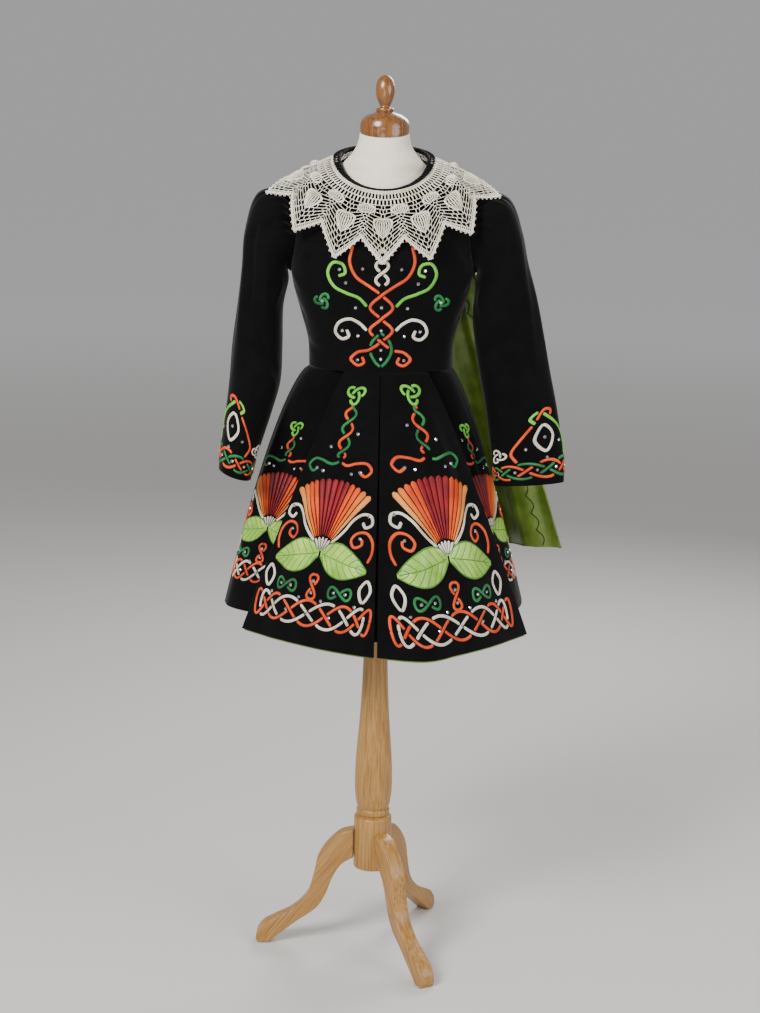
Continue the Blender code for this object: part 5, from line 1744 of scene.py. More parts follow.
def add_turned(name: str, profile: Sequence[Sequence[float]], finish: Finish, sharp: float,
               sides: int = 64) -> bpy.types.Object:
    """Turn a wooden piece about the Z axis, its ends closed by a cap or a point.

    Args:
        name: the piece's name.
        profile: radius, z and a slope of the ring towards the back.
        finish: of the wood.
        sharp: the angle in degrees from which an edge stays sharp.
        sides: of each ring.

    Returns:
        The piece.
    """
    if profile[0][1] > profile[-1][1]:
        profile = profile[::-1]
    turn = np.arange(sides) * math.tau / sides
    rings = []
    for radius, z, *lean in profile:
        if radius <= 0:
            continue
        y = -radius * np.cos(turn)
        rings.append(np.stack([radius * np.sin(turn), y, z + (lean[0] if lean else 0) * y], -1))
    faces = grid_faces(len(rings), sides, True).tolist()
    points = np.concatenate(rings)
    for ring, pole, flip in ((0, profile[0], True), (len(rings) - 1, profile[-1], False)):
        base = ring * sides
        if pole[0] <= 0:
            points = np.concatenate([points, [(0, 0, pole[1])]])
            tip = len(points) - 1
            cap = [[base + k, base + (k + 1) % sides, tip] for k in range(sides)]
            faces += [face[::-1] for face in cap] if flip else cap
        else:
            face = [base + k for k in range(sides)]
            faces.append(face[::-1] if flip else face)
    parts = MeshParts()
    parts.add(points, faces)
    item = parts.build(name, (finish,), sharp=sharp)
    add_grain(item)
    return item


def fine_profile(profile: Sequence[Sequence[float]], step: float) -> Array:
    """Return a smooth profile through the given rings."""
    points = np.array(profile, float)
    count = max(6, int(np.linalg.norm(np.diff(points[:, :2], axis=0), axis=1).sum() / step))
    fine = smooth_path(points, count)
    fine[:, 0] = np.maximum(fine[:, 0], 0)
    return fine


@dataclass
class Form:
    """The jersey-covered torso, its turned cap and its finial.

    Args:
        columns: round the torso.
        rows: up the torso.
        radius: of the torso on the whole, for the jersey's wales.
    """

    columns: int = 144
    rows: int = 110
    radius: float = 0.11

    def build(self) -> None:
        """Make the torso, the cap and the finial."""
        parts = MeshParts()
        degrees = np.linspace(0, 360, self.columns, endpoint=False)[None, :]
        degrees = np.where(degrees > 180, degrees - 360, degrees)
        z = crowded(FORM[0, 0], FORM[-1, 0], self.rows, (1.29, 1.35), reach=0.03,
                    crowd=2.0)[:, None]
        points = body_point(FORM, degrees, z)
        around = np.radians(np.where(degrees < 0, degrees + 360, degrees)) * self.radius
        spots = np.stack(np.broadcast_arrays(around, points[..., 2]), axis=-1)
        faces = grid_faces(*points.shape[:2], wrap=True).tolist()
        count = self.columns
        faces.append(list(range(count))[::-1])
        faces.append([(len(points) - 1) * count + k for k in range(count)])
        parts.add(points, faces, 0, spots)
        hand_over(parts.build("form_torso_jersey", (JERSEY_CREAM,), sharp=60),
                  ["form_torso"])
        knob = [FINIAL[0], *fine_profile(FINIAL[1:8], 0.0012),
                *fine_profile(FINIAL[7:12], 0.0008)[1:], FINIAL_FOOT]
        for name, profile in (("neck_cap", fine_profile(NECK_CAP, 0.0012)), ("finial", knob)):
            turned = add_turned(f"{name}_turned", profile, BEECH_GOLDEN, 50)
            hand_over(turned, [name])


@dataclass
class Stand:
    """The turned pole and the three sawn legs.

    Args:
        bevel: rounding of the legs' edges.
        grain_fall: slope of the legs' grain outwards and down, in degrees.
    """

    bevel: float = 0.0022
    grain_fall: float = 52.0

    def build(self) -> None:
        """Make the pole and the legs."""
        profile = [*fine_profile(POLE_SHAFT, 0.006), *fine_profile(POLE_BEAD, 0.0012)[1:],
                   *fine_profile(POLE_HUB[:4], 0.0012)[1:], *fine_profile(POLE_HUB[4:], 0.0015)]
        hand_over(add_turned("pole_turned", profile, BEECH_PALE, 45, 72), ["pole"])
        for number, degrees in enumerate(LEG_DIRECTIONS_DEG, 1):
            self.leg(number, degrees)

    def leg(self, number: int, degrees: float) -> None:
        """Make one leg.

        Args:
            number: of the leg.
            degrees: its direction from -Y towards +X.
        """
        upper = smooth_path(LEG_UPPER, 46)
        under = smooth_path(LEG_UNDER, 40)
        outline = np.concatenate([upper, np.array(LEG_TOE), under])
        half = LEG_THICKNESS / 2
        build = bmesh.new()
        turn = math.radians(degrees)
        ahead = np.array((math.sin(turn), -math.cos(turn), 0.0))
        side = np.array((math.cos(turn), math.sin(turn), 0.0))
        loops = []
        for way in (-1, 1):
            loops.append([build.verts.new(ahead * reach + side * half * way + (0, 0, z) + SHIFT)
                          for reach, z in outline])
        count = len(outline)
        build.faces.new(loops[0])
        build.faces.new(loops[1][::-1])
        for k in range(count):
            j = (k + 1) % count
            build.faces.new((loops[0][k], loops[1][k], loops[1][j], loops[0][j]))
        bmesh.ops.recalc_face_normals(build, faces=build.faces)
        rims = [edge for edge in build.edges
                if len({vert in loops[0] for vert in edge.verts}) == 1]
        bmesh.ops.bevel(build, geom=rims, offset=self.bevel, segments=3, profile=0.5,
                        affect="EDGES", clamp_overlap=True)
        mesh = bpy.data.meshes.new(f"leg_{number}_sawn")
        build.to_mesh(mesh)
        build.free()
        mesh.materials.append(FINISHES.get(BEECH_PALE))
        mesh.shade_smooth()
        mesh.set_sharp_from_angle(angle=math.radians(40))
        leg = add_object(f"leg_{number}_sawn", mesh)
        fall = math.radians(self.grain_fall)
        along = Vector(ahead * math.cos(fall)) - Vector((0, 0, math.sin(fall)))
        across = Vector(side)
        turned_to = Matrix((across, along.cross(across), along))
        add_grain(leg, turned_to.to_4x4())
        hand_over(leg, [f"leg_{number}"])


# ---------------------------------------------------------------- embroidery
class Stroke(NamedTuple):
    """One satin-stitched cord, by places across and up from the motif's heart, in metres.

    Args:
        thread: its colour.
        points: its course.
        closed: whether it joins its own start.
        width: of the cord.
    """

    thread: Thread
    points: tuple[tuple[float, float], ...]
    closed: bool = False
    width: float = 0.0048


@dataclass
class Ground:
    """The cloth under a motif: turns places across and up, in metres, into the cloth's own.

    Args:
        surface: the cloth.
        place: the function from (across, up) to (a, b).
        mirror: whether the motif lies on the right of the body.
        scale: of the motif.
    """

    surface: Surface
    place: Callable[[Array, Array], tuple[Array, Array]]
    mirror: bool = False
    scale: float = 1.0

    def lifted(self, across: Array, up: Array, lift: Array | float) -> Array:
        """Return points over the cloth."""
        points = self.surface.lifted(*self.place(across, up), lift)
        return points * (-1, 1, 1) if self.mirror else points

    def facing(self, across: float, up: float) -> tuple[Array, Array]:
        """Return a point of the cloth and its outward direction."""
        low, high = (self.lifted(np.array([across]), np.array([up]), lift)[0]
                     for lift in (0.0, 0.001))
        return low, (high - low) / np.linalg.norm(high - low)


def trefoil(across: float, up: float, size: float, turn: float = 0.0) -> tuple:
    """Return the closed curve of a three-looped knot."""
    t = np.linspace(0, math.tau, 25)[:-1]
    x = (np.sin(t) + 2 * np.sin(2 * t)) / 3 * size
    y = (np.cos(t) - 2 * np.cos(2 * t)) / 3 * size
    c, s = math.cos(math.radians(turn)), math.sin(math.radians(turn))
    return tuple(zip(across + c * x - s * y, up + s * x + c * y))


def figure_eight(across: float, up: float, wide: float, high: float) -> tuple:
    """Return the closed curve of a knot of two loops, side by side."""
    t = np.linspace(0, math.tau, 21)[:-1] + 0.1
    return tuple(zip(across + wide * np.sin(t), up + high * np.sin(2 * t)))


def swapped(points: Sequence[Sequence[float]]) -> tuple:
    """Return points mirrored in the motif's upright line."""
    return tuple((-x, y) for x, y in points)


def paired(*places: tuple[float, float]) -> tuple:
    """Return places, each off the motif's upright line followed by the one across from it."""
    return tuple(place for x, y in places for place in (((x, y), (-x, y)) if x else ((x, y),)))


def strand(low: float, high: float, middle: float, swing: float, period: float, phase: float,
           taper: float, upright: bool = False) -> tuple:
    """Return a strand of a plait that waves about a line and meets it at both ends."""
    x = np.linspace(low, high, max(12, int((high - low) / period * 12)))
    size = swing * smoothstep(0, taper, x - low) * smoothstep(0, taper, high - x)
    y = middle + size * np.sin(math.tau * (x / period + phase))
    return tuple(zip(y, x)) if upright else tuple(zip(x, y))


def chain(across: float, up: float, half: float, swing: float, twists: int) -> tuple:
    """Return the closed curve of two strands twisted about each other between rounded ends.

    Args:
        across: its middle.
        up: its middle.
        half: half its length.
        swing: of each strand.
        twists: where the strands cross, and one more.

    Returns:
        Its points.
    """
    t = np.linspace(0, math.tau, 16 * twists + 1)[:-1]
    return tuple(zip(across - half * np.cos(t), up + swing * np.sin(twists * t)))


# A cord's section: half widths of its points, heights of its crown's, and height of its two
# lower points.
CORD_ACROSS = (-1.0, -0.78, -0.34, 0.34, 0.78, 1.0, 0.97, -0.97)
CORD_HEIGHTS = (0.10, 0.66, 1.0, 1.0, 0.66, 0.10)
CORD_UNDER = -0.0005
# The size of its two last sections at each end.
CORD_ENDS = (0.55, 0.92)
# Shares of half a rib's width at its points, and how far its sides and its outer end fall.
RIB_SHARES = np.array((-1.0, -0.8, -0.4, 0.0, 0.4, 0.8, 1.0))
RIB_SIDE_FALL = 0.80
RIB_END_FALL = 0.55


@dataclass
class Needlework:
    """Stitches cords, ribs and leaves onto a cloth.

    Args:
        ground: the cloth.
        step: between a cord's sections.
        crown: height of a cord.
        gap: black cloth left beside a cord where another passes under it.
        rib_gap: half the black cloth left between a fan's ribs.
        scoop: how far the corners of a rib's outer end are rounded.
        vein_crown: height of a leaf's veins and border.
        vein_widths: of its middle vein, its side veins and its border.
        vein_lift: how far over the satin they start.
        near: steps within which two cords may cross.
        least_sine: of the angle at which cords are taken to cross.
    """

    ground: Ground
    step: float = 0.0017
    crown: float = 0.0012
    gap: float = 0.0010
    rib_gap: float = 0.00075
    scoop: float = 0.0045
    vein_crown: float = 0.00055
    vein_widths: tuple[float, float, float] = (0.0017, 0.0012, 0.0022)
    vein_lift: float = 0.00010
    near: float = 2.5
    least_sine: float = 0.35

    def crossings(self, lines: list[Array], widths: list[float]) -> list[list[tuple]]:
        """Find where cords cross and which passes under.

        Args:
            lines: the cords' middles.
            widths: the cords' widths.

        Returns:
            For each cord, the (middle, half length) of its cuts, along it.
        """
        starts = np.concatenate([line[:-1] for line in lines])
        sides = np.concatenate([np.diff(line, axis=0) for line in lines])
        owner = np.concatenate([np.full(len(line) - 1, n) for n, line in enumerate(lines)])
        order = np.concatenate([np.arange(len(line) - 1) for line in lines])
        i, j = np.triu_indices(len(starts), 3)
        near = np.abs(starts[i] - starts[j]).max(axis=1) < self.near * self.step
        i, j = i[near], j[near]
        gap = starts[j] - starts[i]
        cross = sides[i, 0] * sides[j, 1] - sides[i, 1] * sides[j, 0]
        safe = np.where(np.abs(cross) < 1e-12, 1e-12, cross)
        t = (gap[:, 0] * sides[j, 1] - gap[:, 1] * sides[j, 0]) / safe
        s = (gap[:, 0] * sides[i, 1] - gap[:, 1] * sides[i, 0]) / safe
        hits = (t >= 0) & (t < 1) & (s >= 0) & (s < 1)
        found = []
        for a, b, at, bt, turn in zip(i[hits], j[hits], t[hits], s[hits], cross[hits]):
            sine = abs(turn) / (np.linalg.norm(sides[a]) * np.linalg.norm(sides[b]))
            if owner[a] == owner[b] and abs(order[a] - order[b]) > len(lines[owner[a]]) - 5:
                continue
            found.append((owner[a], order[a] + at, owner[b], order[b] + bt,
                          max(sine, self.least_sine)))
        under: dict[int, int] = {}
        for n in range(len(lines)):
            mine = sorted([(c[1], k, 0) for k, c in enumerate(found) if c[0] == n]
                          + [(c[3], k, 1) for k, c in enumerate(found) if c[2] == n])
            last = None
            for _, k, end in mine:
                if k not in under:
                    goes_under = not last if last is not None else False
                    under[k] = end if goes_under else 1 - end
                last = under[k] == end
        cuts: list[list[tuple]] = [[] for _ in lines]
        for k, (a, at, b, bt, sine) in enumerate(found):
            low, place, high = (a, at, b) if under[k] == 0 else (b, bt, a)
            cuts[low].append((place * self.step, (widths[high] / 2 + self.gap) / sine))
        return cuts

    def cords(self, parts: MeshParts, strokes: Sequence[Stroke], slots: dict[Thread, int]) -> None:
        """Stitch cords, each passing over and under the others in turn."""
        scale = self.ground.scale
        lines, widths = [], []
        for stroke in strokes:
            fine = smooth_path(np.array(stroke.points) * scale, 12 * len(stroke.points),
                               stroke.closed)
            lines.append(even_path(fine, self.step))
            widths.append(stroke.width * (0.5 + 0.5 * scale))
        for stroke, line, width, cuts in zip(strokes, lines, widths,
                                             self.crossings(lines, widths)):
            along = np.arange(len(line)) * self.step
            keep = np.ones(len(line), bool)
            for middle, half in cuts:
                keep &= np.abs(along - middle) > half
            edges = np.flatnonzero(np.diff(np.concatenate([[0], keep.astype(int), [0]])))
            for low, high in zip(edges[::2], edges[1::2]):
                if high - low >= 3:
                    self.ribbon(parts, line[low:high], width, slots[stroke.thread])

    def ribbon(self, parts: MeshParts, line: Array, width: float, slot: int,
               lift: Array | float = 0.0, crown: float | None = None) -> None:
        """Stitch one crowned cord.

        Args:
            parts: gets the cord.
            line: its middle, across and up.
            width: its width.
            slot: its material number.
            lift: how far over the cloth it starts.
            crown: its height, where it differs.
        """
        crown = self.crown if crown is None else crown
        ahead = unit(np.gradient(line, axis=0))
        off = np.array(CORD_ACROSS) * width / 2
        high = np.array(CORD_HEIGHTS) * crown
        n = len(line)
        ends = np.minimum(np.arange(n), np.arange(n)[::-1])
        last, next_to_last = CORD_ENDS
        round_off = np.where(ends == 0, last, np.where(ends == 1, next_to_last, 1.0))[:, None]
        across = line[:, 0:1] - ahead[:, 1:2] * off * (0.5 + 0.5 * round_off)
        up = line[:, 1:2] + ahead[:, 0:1] * off * (0.5 + 0.5 * round_off)
        lifts = (np.concatenate([high * round_off, np.full((n, 2), CORD_UNDER)], axis=1)
                 + np.broadcast_to(lift, n)[:, None])
        points = self.ground.lifted(across, up, lifts)
        sides = len(off)
        faces = grid_faces(n, sides, wrap=True)[:, (0, 3, 2, 1)].tolist()
        faces.append(list(range(sides)))
        faces.append([(n - 1) * sides + k for k in range(sides)][::-1])
        if self.ground.mirror:
            faces = [face[::-1] for face in faces]
        spots = np.stack(np.broadcast_arrays((np.arange(n) * self.step)[:, None], off), axis=-1)
        parts.add(points, faces, slot, spots)

    def patch(self, parts: MeshParts, across: Array, up: Array, lift: Array, slot: int,
              under: float = -0.0004) -> None:
        """Lay a closed patch on the cloth.

        Args:
            parts: gets the patch.
            across: (rows, columns) places, columns running across.
            up: (rows, columns) places, rows running up.
            lift: (rows, columns) heights of its top.
            slot: its material number.
            under: height of its underside.
        """
        rows, columns = across.shape
        top = self.ground.lifted(across, up, lift)
        r, c = rim_places(rows, columns).T
        low = self.ground.lifted(across[r, c], up[r, c], under)
        edge = r * columns + c
        around = rows * columns + np.arange(len(edge))
        rim = np.stack([around, np.roll(around, -1), np.roll(edge, -1), edge], axis=1)
        faces = [*grid_faces(rows, columns).tolist(), *rim.tolist(), around[::-1].tolist()]
        if self.ground.mirror:
            faces = [face[::-1] for face in faces]
        spots = np.stack([up, across], axis=-1)
        parts.add(np.concatenate([top.reshape(-1, 3), low]), faces, slot,
                  np.concatenate([spots.reshape(-1, 2), spots[r, c]]))

    def fan(self, parts: MeshParts, ribs: Sequence[int], inner: float, outer: float,
            spread: float, crown: float) -> None:
        """Stitch a fan of crowned ribs about the motif's heart.

        Args:
            parts: gets the ribs.
            ribs: the ribs' material numbers, left to right.
            inner: radius of their inner ends.
            outer: radius of their outer ends.
            spread: half the fan's angle, in degrees.
            crown: their height.
        """
        scale = self.ground.scale
        share = RIB_SHARES[None, :]
        along = np.linspace(0, 1, 22)[:, None]
        each = math.radians(2 * spread / len(ribs))
        for n, slot in enumerate(ribs):
            middle = each * (n + 0.5) - math.radians(spread)
            radius = (inner + (outer - inner) * along
                      - self.scoop * share ** 2 * smoothstep(0.7, 1, along)) * scale
            half = each / 2 - self.rib_gap / radius
            angle = middle + half * share
            crest = (crown * (1 - RIB_SIDE_FALL * share ** 4)
                     * (smoothstep(0, 0.07, along) * 0.6 + 0.4)
                     * (1 - RIB_END_FALL * smoothstep(0.95, 1, along)))
            self.patch(parts, radius * np.sin(angle), radius * np.cos(angle), crest, slot)

    def leaf(self, parts: MeshParts, way: int, slot: int, stitch: int) -> None:
        """Lay a padded satin leaf with stitched veins and a stitched border.

        Args:
            parts: gets the leaf.
            way: 1 for the leaf away from the centre front, -1 for the one towards it.
            slot: the satin's material number.
            stitch: the thread's material number.
        """
        scale = self.ground.scale
        table = np.array(LEAF)

        def place(along: Array, share: Array) -> tuple[Array, Array]:
            """Return places across and up of places along the leaf and on one side of it."""
            x = table[0, 0] + (table[-1, 0] - table[0, 0]) * along
            low, high = np.moveaxis(smooth(table[:, 0], table[:, 1:], x.ravel()), 1, 0)
            up = (low + high) / 2 + (high - low) / 2 * share.ravel()
            return x * way * scale, up.reshape(x.shape) * scale

        def height(along: Array, share: Array) -> Array:
            """Return the padded satin's height, with hollows at its veins."""
            edge = np.sqrt(np.clip(1 - share ** 4, 0, 1)) * (smoothstep(0, 0.10, along)
                                                             * smoothstep(0, 0.10, 1 - along))
            vein = np.exp(-(share * 10) ** 2) * LEAF_MIDRIB
            side = (along * LEAF_VEINS - np.abs(share) * LEAF_SLANT) % 1.0 - 0.5
            return (LEAF_EDGE + LEAF_WADDING * edge
                    - edge * (vein + LEAF_GROOVE * np.exp(-(side / 0.09) ** 2)))

        along, share = np.meshgrid(crowded(0, 1, 64, (0.0, 1.0), reach=0.05, crowd=2.0),
                                   np.linspace(-1, 1, 31))
        along, share = along[:, ::way], share[:, ::way]
        self.patch(parts, *place(along, share), height(along, share), slot)
        midrib, vein, border = self.vein_widths
        lines = [(np.linspace(0.03, 0.97, 40), np.zeros(40), midrib)]
        for start in np.arange(-1, LEAF_VEINS) / LEAF_VEINS + 0.5 / LEAF_VEINS:
            for side in (-1, 1):
                t = np.linspace(0.06, 0.90, 16)
                at = start + t * LEAF_SLANT / LEAF_VEINS
                inside = (at > 0.03) & (at < 0.97)
                if inside.sum() > 5:
                    lines.append((at[inside], t[inside] * side, vein))
        t = np.linspace(0, 1, 90)
        for side in (-1, 1):
            lines.append((t, np.full(90, 0.955 * side), border))
        for at, share, width in lines:
            line = np.stack(place(at, share), axis=1)
            lift = height(at, share) + self.vein_lift
            self.ribbon(parts, line, width * (0.4 + 0.6 * scale), stitch, lift,
                        self.vein_crown)


FAN_SIDE = (Thread.PEACH, Thread.AMBER, Thread.ORANGE, Thread.ORANGE)
FRONT_FAN = (*FAN_SIDE, *(Thread.CRIMSON,) * 5, *FAN_SIDE[::-1])
# Of the fan: inner and outer radius, half its angle in degrees, and its ribs' height.
FAN_SHAPE = (0.0315, 0.1275, 37.5, 0.0017)
SHELL_SHAPE = (0.0100, 0.0290, 52.0, 0.0016)
SHELL_RIBS = 7
THREAD_SLOTS = {thread: number for number, thread in enumerate(Thread)}
SCROLL = ((0.096, -0.004), (0.100, 0.012), (0.096, 0.031), (0.082, 0.044), (0.066, 0.042),
          (0.058, 0.030), (0.066, 0.019), (0.078, 0.024), (0.077, 0.033))
TENDRIL = ((0.018, 0.021), (0.030, 0.032), (0.042, 0.046), (0.053, 0.062), (0.068, 0.074),
           (0.083, 0.072), (0.088, 0.059), (0.078, 0.053), (0.071, 0.061))
FLARE = ((0.044, 0.141), (0.055, 0.136), (0.063, 0.146), (0.052, 0.157), (0.033, 0.156),
         (0.014, 0.1515))
SIDE_LOOP = ((0.104, -0.070), (0.094, -0.050), (0.104, -0.034), (0.114, -0.050))


def skirt_strokes(plait: float, top: float) -> list[Stroke]:
    """Return the cords of one skirt panel.

    Args:
        plait: half the length of the plait along the hem.
        top: height of the knot at the top.

    Returns:
        The cords, in the order in which they are stitched.
    """
    strokes = [
        Stroke(Thread.ORANGE, chain(0.0, -0.101, plait, 0.0215, 5), True),
        Stroke(Thread.CREAM, chain(0.0, -0.101, plait * 0.90, 0.0215, 4), True),
    ]
    for turned in (False, True):
        flip = swapped if turned else tuple
        strokes.append(Stroke(Thread.ORANGE, flip(SCROLL)))
        strokes.append(Stroke(Thread.CREAM, flip(TENDRIL)))
        strokes.append(Stroke(Thread.CREAM, flip(SIDE_LOOP)[:4], True))
        strokes.append(Stroke(Thread.DARK_GREEN,
                              flip(figure_eight(0.058, -0.0600, 0.023, 0.0095))))
        twist = strand(0.158, top - 0.017, 0.0, 0.0095, 0.050, 0.5 * turned, 0.012, True)
        strokes.append(Stroke(Thread.ORANGE if turned else Thread.DARK_GREEN,
                              (*flip(FLARE), *twist)))
    strokes.append(Stroke(Thread.LEAF_GREEN, trefoil(0.0, top, 0.0165), True))
    strokes.append(Stroke(Thread.ORANGE, tuple(
        (0.0085 * math.sin(2 * t), -0.056 + 0.021 * math.cos(t))
        for t in np.linspace(0, math.tau, 21)[:-1]), True))
    return strokes


SKIRT_STONES = (*paired((0.0, 0.008), (0.073, 0.034), (0.079, 0.072)),
                (0.046, -0.060), (0.070, -0.060), (-0.046, -0.060), (-0.070, -0.060),
                *paired((0.0, -0.046), (0.0, -0.066), (0.024, -0.077), (0.092, -0.078),
                        (0.028, 0.1385), (0.044, 0.142)),
                (0.022, 0.180), (-0.022, 0.205), *paired((0.0, -0.102), (0.047, -0.102)))


def bodice_strokes() -> list[Stroke]:
    """Return the cords of the bodice front, across and up from the ground."""
    upper = ((0.0225, 1.0925), (0.035, 1.105), (0.054, 1.112), (0.074, 1.122), (0.084, 1.142),
             (0.076, 1.158), (0.061, 1.156), (0.057, 1.143), (0.067, 1.138))
    lower = ((0.0225, 1.055), (0.034, 1.066), (0.050, 1.072), (0.066, 1.065), (0.071, 1.050),
             (0.061, 1.040), (0.050, 1.045), (0.053, 1.055))
    vesica = ((0.0, 1.0515), (0.0135, 1.037), (0.0165, 1.022), (0.009, 1.006), (0.001, 0.998))
    bough = ((0.046, 1.184), (0.050, 1.160), (0.040, 1.138), (0.020, 1.124), (0.0, 1.110),
             (-0.0175, 1.091), (0.0, 1.073), (0.0175, 1.055), (0.0, 1.037), (-0.019, 1.024),
             (-0.036, 1.020), (-0.046, 1.009), (-0.036, 0.9995), (-0.026, 1.004),
             (-0.029, 1.013))
    strokes = []
    for turned in (False, True):
        flip = swapped if turned else tuple
        strokes.append(Stroke(Thread.ORANGE, flip(bough)))
        strokes.append(Stroke(Thread.DARK_GREEN, flip(vesica)))
        strokes.append(Stroke(Thread.LEAF_GREEN, flip(upper)))
        strokes.append(Stroke(Thread.CREAM, flip(lower)))
        strokes.append(Stroke(Thread.DARK_GREEN, flip(trefoil(0.092, 1.098, 0.0125, -25)), True))
        strokes.append(Stroke(Thread.CREAM, strand(1.118, 1.182, 0.0, 0.0095, 0.044,
                                                   0.5 * turned, 0.010, True)))
    return strokes


BODICE_STONES = paired((0.0, 1.024), (0.0, 1.010), (0.066, 1.148), (0.060, 1.053), (0.0, 1.091),
                       (0.092, 1.098), (0.040, 1.090), (0.036, 1.046), (0.056, 1.128),
                       (0.036, 1.008), (0.0, 1.055), (0.030, 1.150))


def cuff_strokes() -> list[Stroke]:
    """Return the cords of a cuff."""
    rise = ((0.036, 0.040), (0.042, 0.058), (0.030, 0.076), (0.012, 0.094), (-0.004, 0.108),
            (-0.015, 0.104), (-0.010, 0.094))
    return [
        Stroke(Thread.ORANGE, chain(0.0, 0.024, 0.084, 0.0125, 5), True, 0.0042),
        Stroke(Thread.DARK_GREEN, chain(0.0, 0.024, 0.0756, 0.0125, 4), True, 0.0042),
        Stroke(Thread.CREAM, ((0.0, 0.088), (0.013, 0.070), (0.0, 0.050), (-0.013, 0.070)), True,
               0.0042),
        Stroke(Thread.LEAF_GREEN, rise, width=0.0042),
        Stroke(Thread.ORANGE, swapped(rise), width=0.0042),
        Stroke(Thread.LEAF_GREEN, trefoil(0.062, 0.058, 0.0135, 40), True, 0.0038),
        Stroke(Thread.CREAM, trefoil(-0.062, 0.058, 0.0135, -40), True, 0.0038),
    ]


CUFF_STONES = paired((0.0, 0.070), (0.013, 0.024), (0.039, 0.024), (0.065, 0.024),
                     (0.024, 0.060), (0.0, 0.040))


class Motif(NamedTuple):
    """Where a skirt panel's embroidery lies.

    Args:
        share: its heart's place across the face.
        z: its heart's height.
        scale: of the whole motif.
        plait: half the length of the plait along the hem.
        top: height of the knot at the top, over the heart.
    """

    share: float
    z: float
    scale: float
    plait: float
    top: float


MOTIFS = {
    "front_left": Motif(0.50, 0.706, 1.0, 0.128, 0.252),
    "front_right": Motif(0.50, 0.706, 0.92, 0.126, 0.270),
    "side_left": Motif(0.50, 0.712, 0.78, 0.098, 0.225),
    "side_right": Motif(0.50, 0.712, 0.78, 0.092, 0.225),
}


def scatter(name: str, shape: Callable[[], bpy.types.Mesh], places: Sequence[tuple[Array, Array]],
            finish: Finish, size: tuple[float, float], seed: int = 4,
            spin: float = math.tau) -> bpy.types.Object:
    """Set one small shape at many places with geometry nodes.

    Args:
        name: the piece's name.
        shape: makes the shape, its Z axis outwards.
        places: the points and their outward directions.
        finish: of the shapes.
        size: the smallest and the largest scale.
        seed: of the random sizes and turns.
        spin: the largest random turn about the outward direction.

    Returns:
        A plain mesh object.
    """
    points = bpy.data.meshes.new(f"{name}_places")
    points.from_pydata([tuple(place + SHIFT) for place, _ in places], [], [])
    facing = points.attributes.new("facing", "FLOAT_VECTOR", "POINT")
    facing.data.foreach_set("vector", np.concatenate([way for _, way in places]))
    holder = add_object(f"{name}_places", points)
    gem = add_object(f"{name}_shape", shape())
    tree = bpy.data.node_groups.new(f"{name}_scatter", "GeometryNodeTree")
    face = tree.interface
    face.new_socket("Points", in_out="INPUT", socket_type="NodeSocketGeometry")
    values = {}
    for socket, kind, value in (
            ("Shape", "Object", gem), ("Smallest", "Float", size[0]),
            ("Largest", "Float", size[1]), ("Spin", "Float", spin), ("Seed", "Int", seed),
            ("Finish", "Material", FINISHES.get(finish))):
        made = face.new_socket(socket, in_out="INPUT", socket_type=f"NodeSocket{kind}")
        values[made.identifier] = value
    face.new_socket("Shapes", in_out="OUTPUT", socket_type="NodeSocketGeometry")
    given = add_node(tree, "NodeGroupInput").outputs
    way = add_node(tree, "GeometryNodeInputNamedAttribute", {"Name": "facing"},
                   data_type="FLOAT_VECTOR")
    align = add_node(tree, "FunctionNodeAlignRotationToVector",
                     {"Vector": way.outputs["Attribute"]}, axis="Z")
    angle = add_node(tree, "FunctionNodeRandomValue", {"Max": given["Spin"],
                                                       "Seed": given["Seed"]}, data_type="FLOAT")
    about = add_node(tree, "ShaderNodeCombineXYZ", {"Z": angle.outputs[1]})
    local = add_node(tree, "FunctionNodeEulerToRotation", {"Euler": about.outputs[0]})
    turned = add_node(tree, "FunctionNodeRotateRotation", {
        "Rotation": align.outputs[0], "Rotate By": local.outputs[0]}, rotation_space="LOCAL")
    grown = add_node(tree, "FunctionNodeRandomValue", {
        "Min": given["Smallest"], "Max": given["Largest"], "Seed": given["Seed"]},
        data_type="FLOAT")
    source = add_node(tree, "GeometryNodeObjectInfo", {"Object": given["Shape"]})
    put = add_node(tree, "GeometryNodeInstanceOnPoints", {
        "Points": given["Points"], "Instance": source.outputs["Geometry"],
        "Rotation": turned.outputs[0], "Scale": grown.outputs[1]})
    real = add_node(tree, "GeometryNodeRealizeInstances", {"Geometry": put.outputs[0]})
    dressed = add_node(tree, "GeometryNodeSetMaterial", {"Geometry": real.outputs[0],
                                                         "Material": given["Finish"]})
    add_node(tree, "NodeGroupOutput", {"Shapes": dressed.outputs[0]})
    nodes = holder.modifiers.new("scatter", "NODES")
    nodes.node_group = tree
    for socket, value in values.items():
        nodes[socket] = value
    bpy.context.view_layer.update()
    graph = bpy.context.evaluated_depsgraph_get()
    mesh = bpy.data.meshes.new_from_object(holder.evaluated_get(graph))
    mesh.name = name
    for item in (holder, gem):
        bpy.data.objects.remove(item, do_unlink=True)
    return add_object(name, mesh)


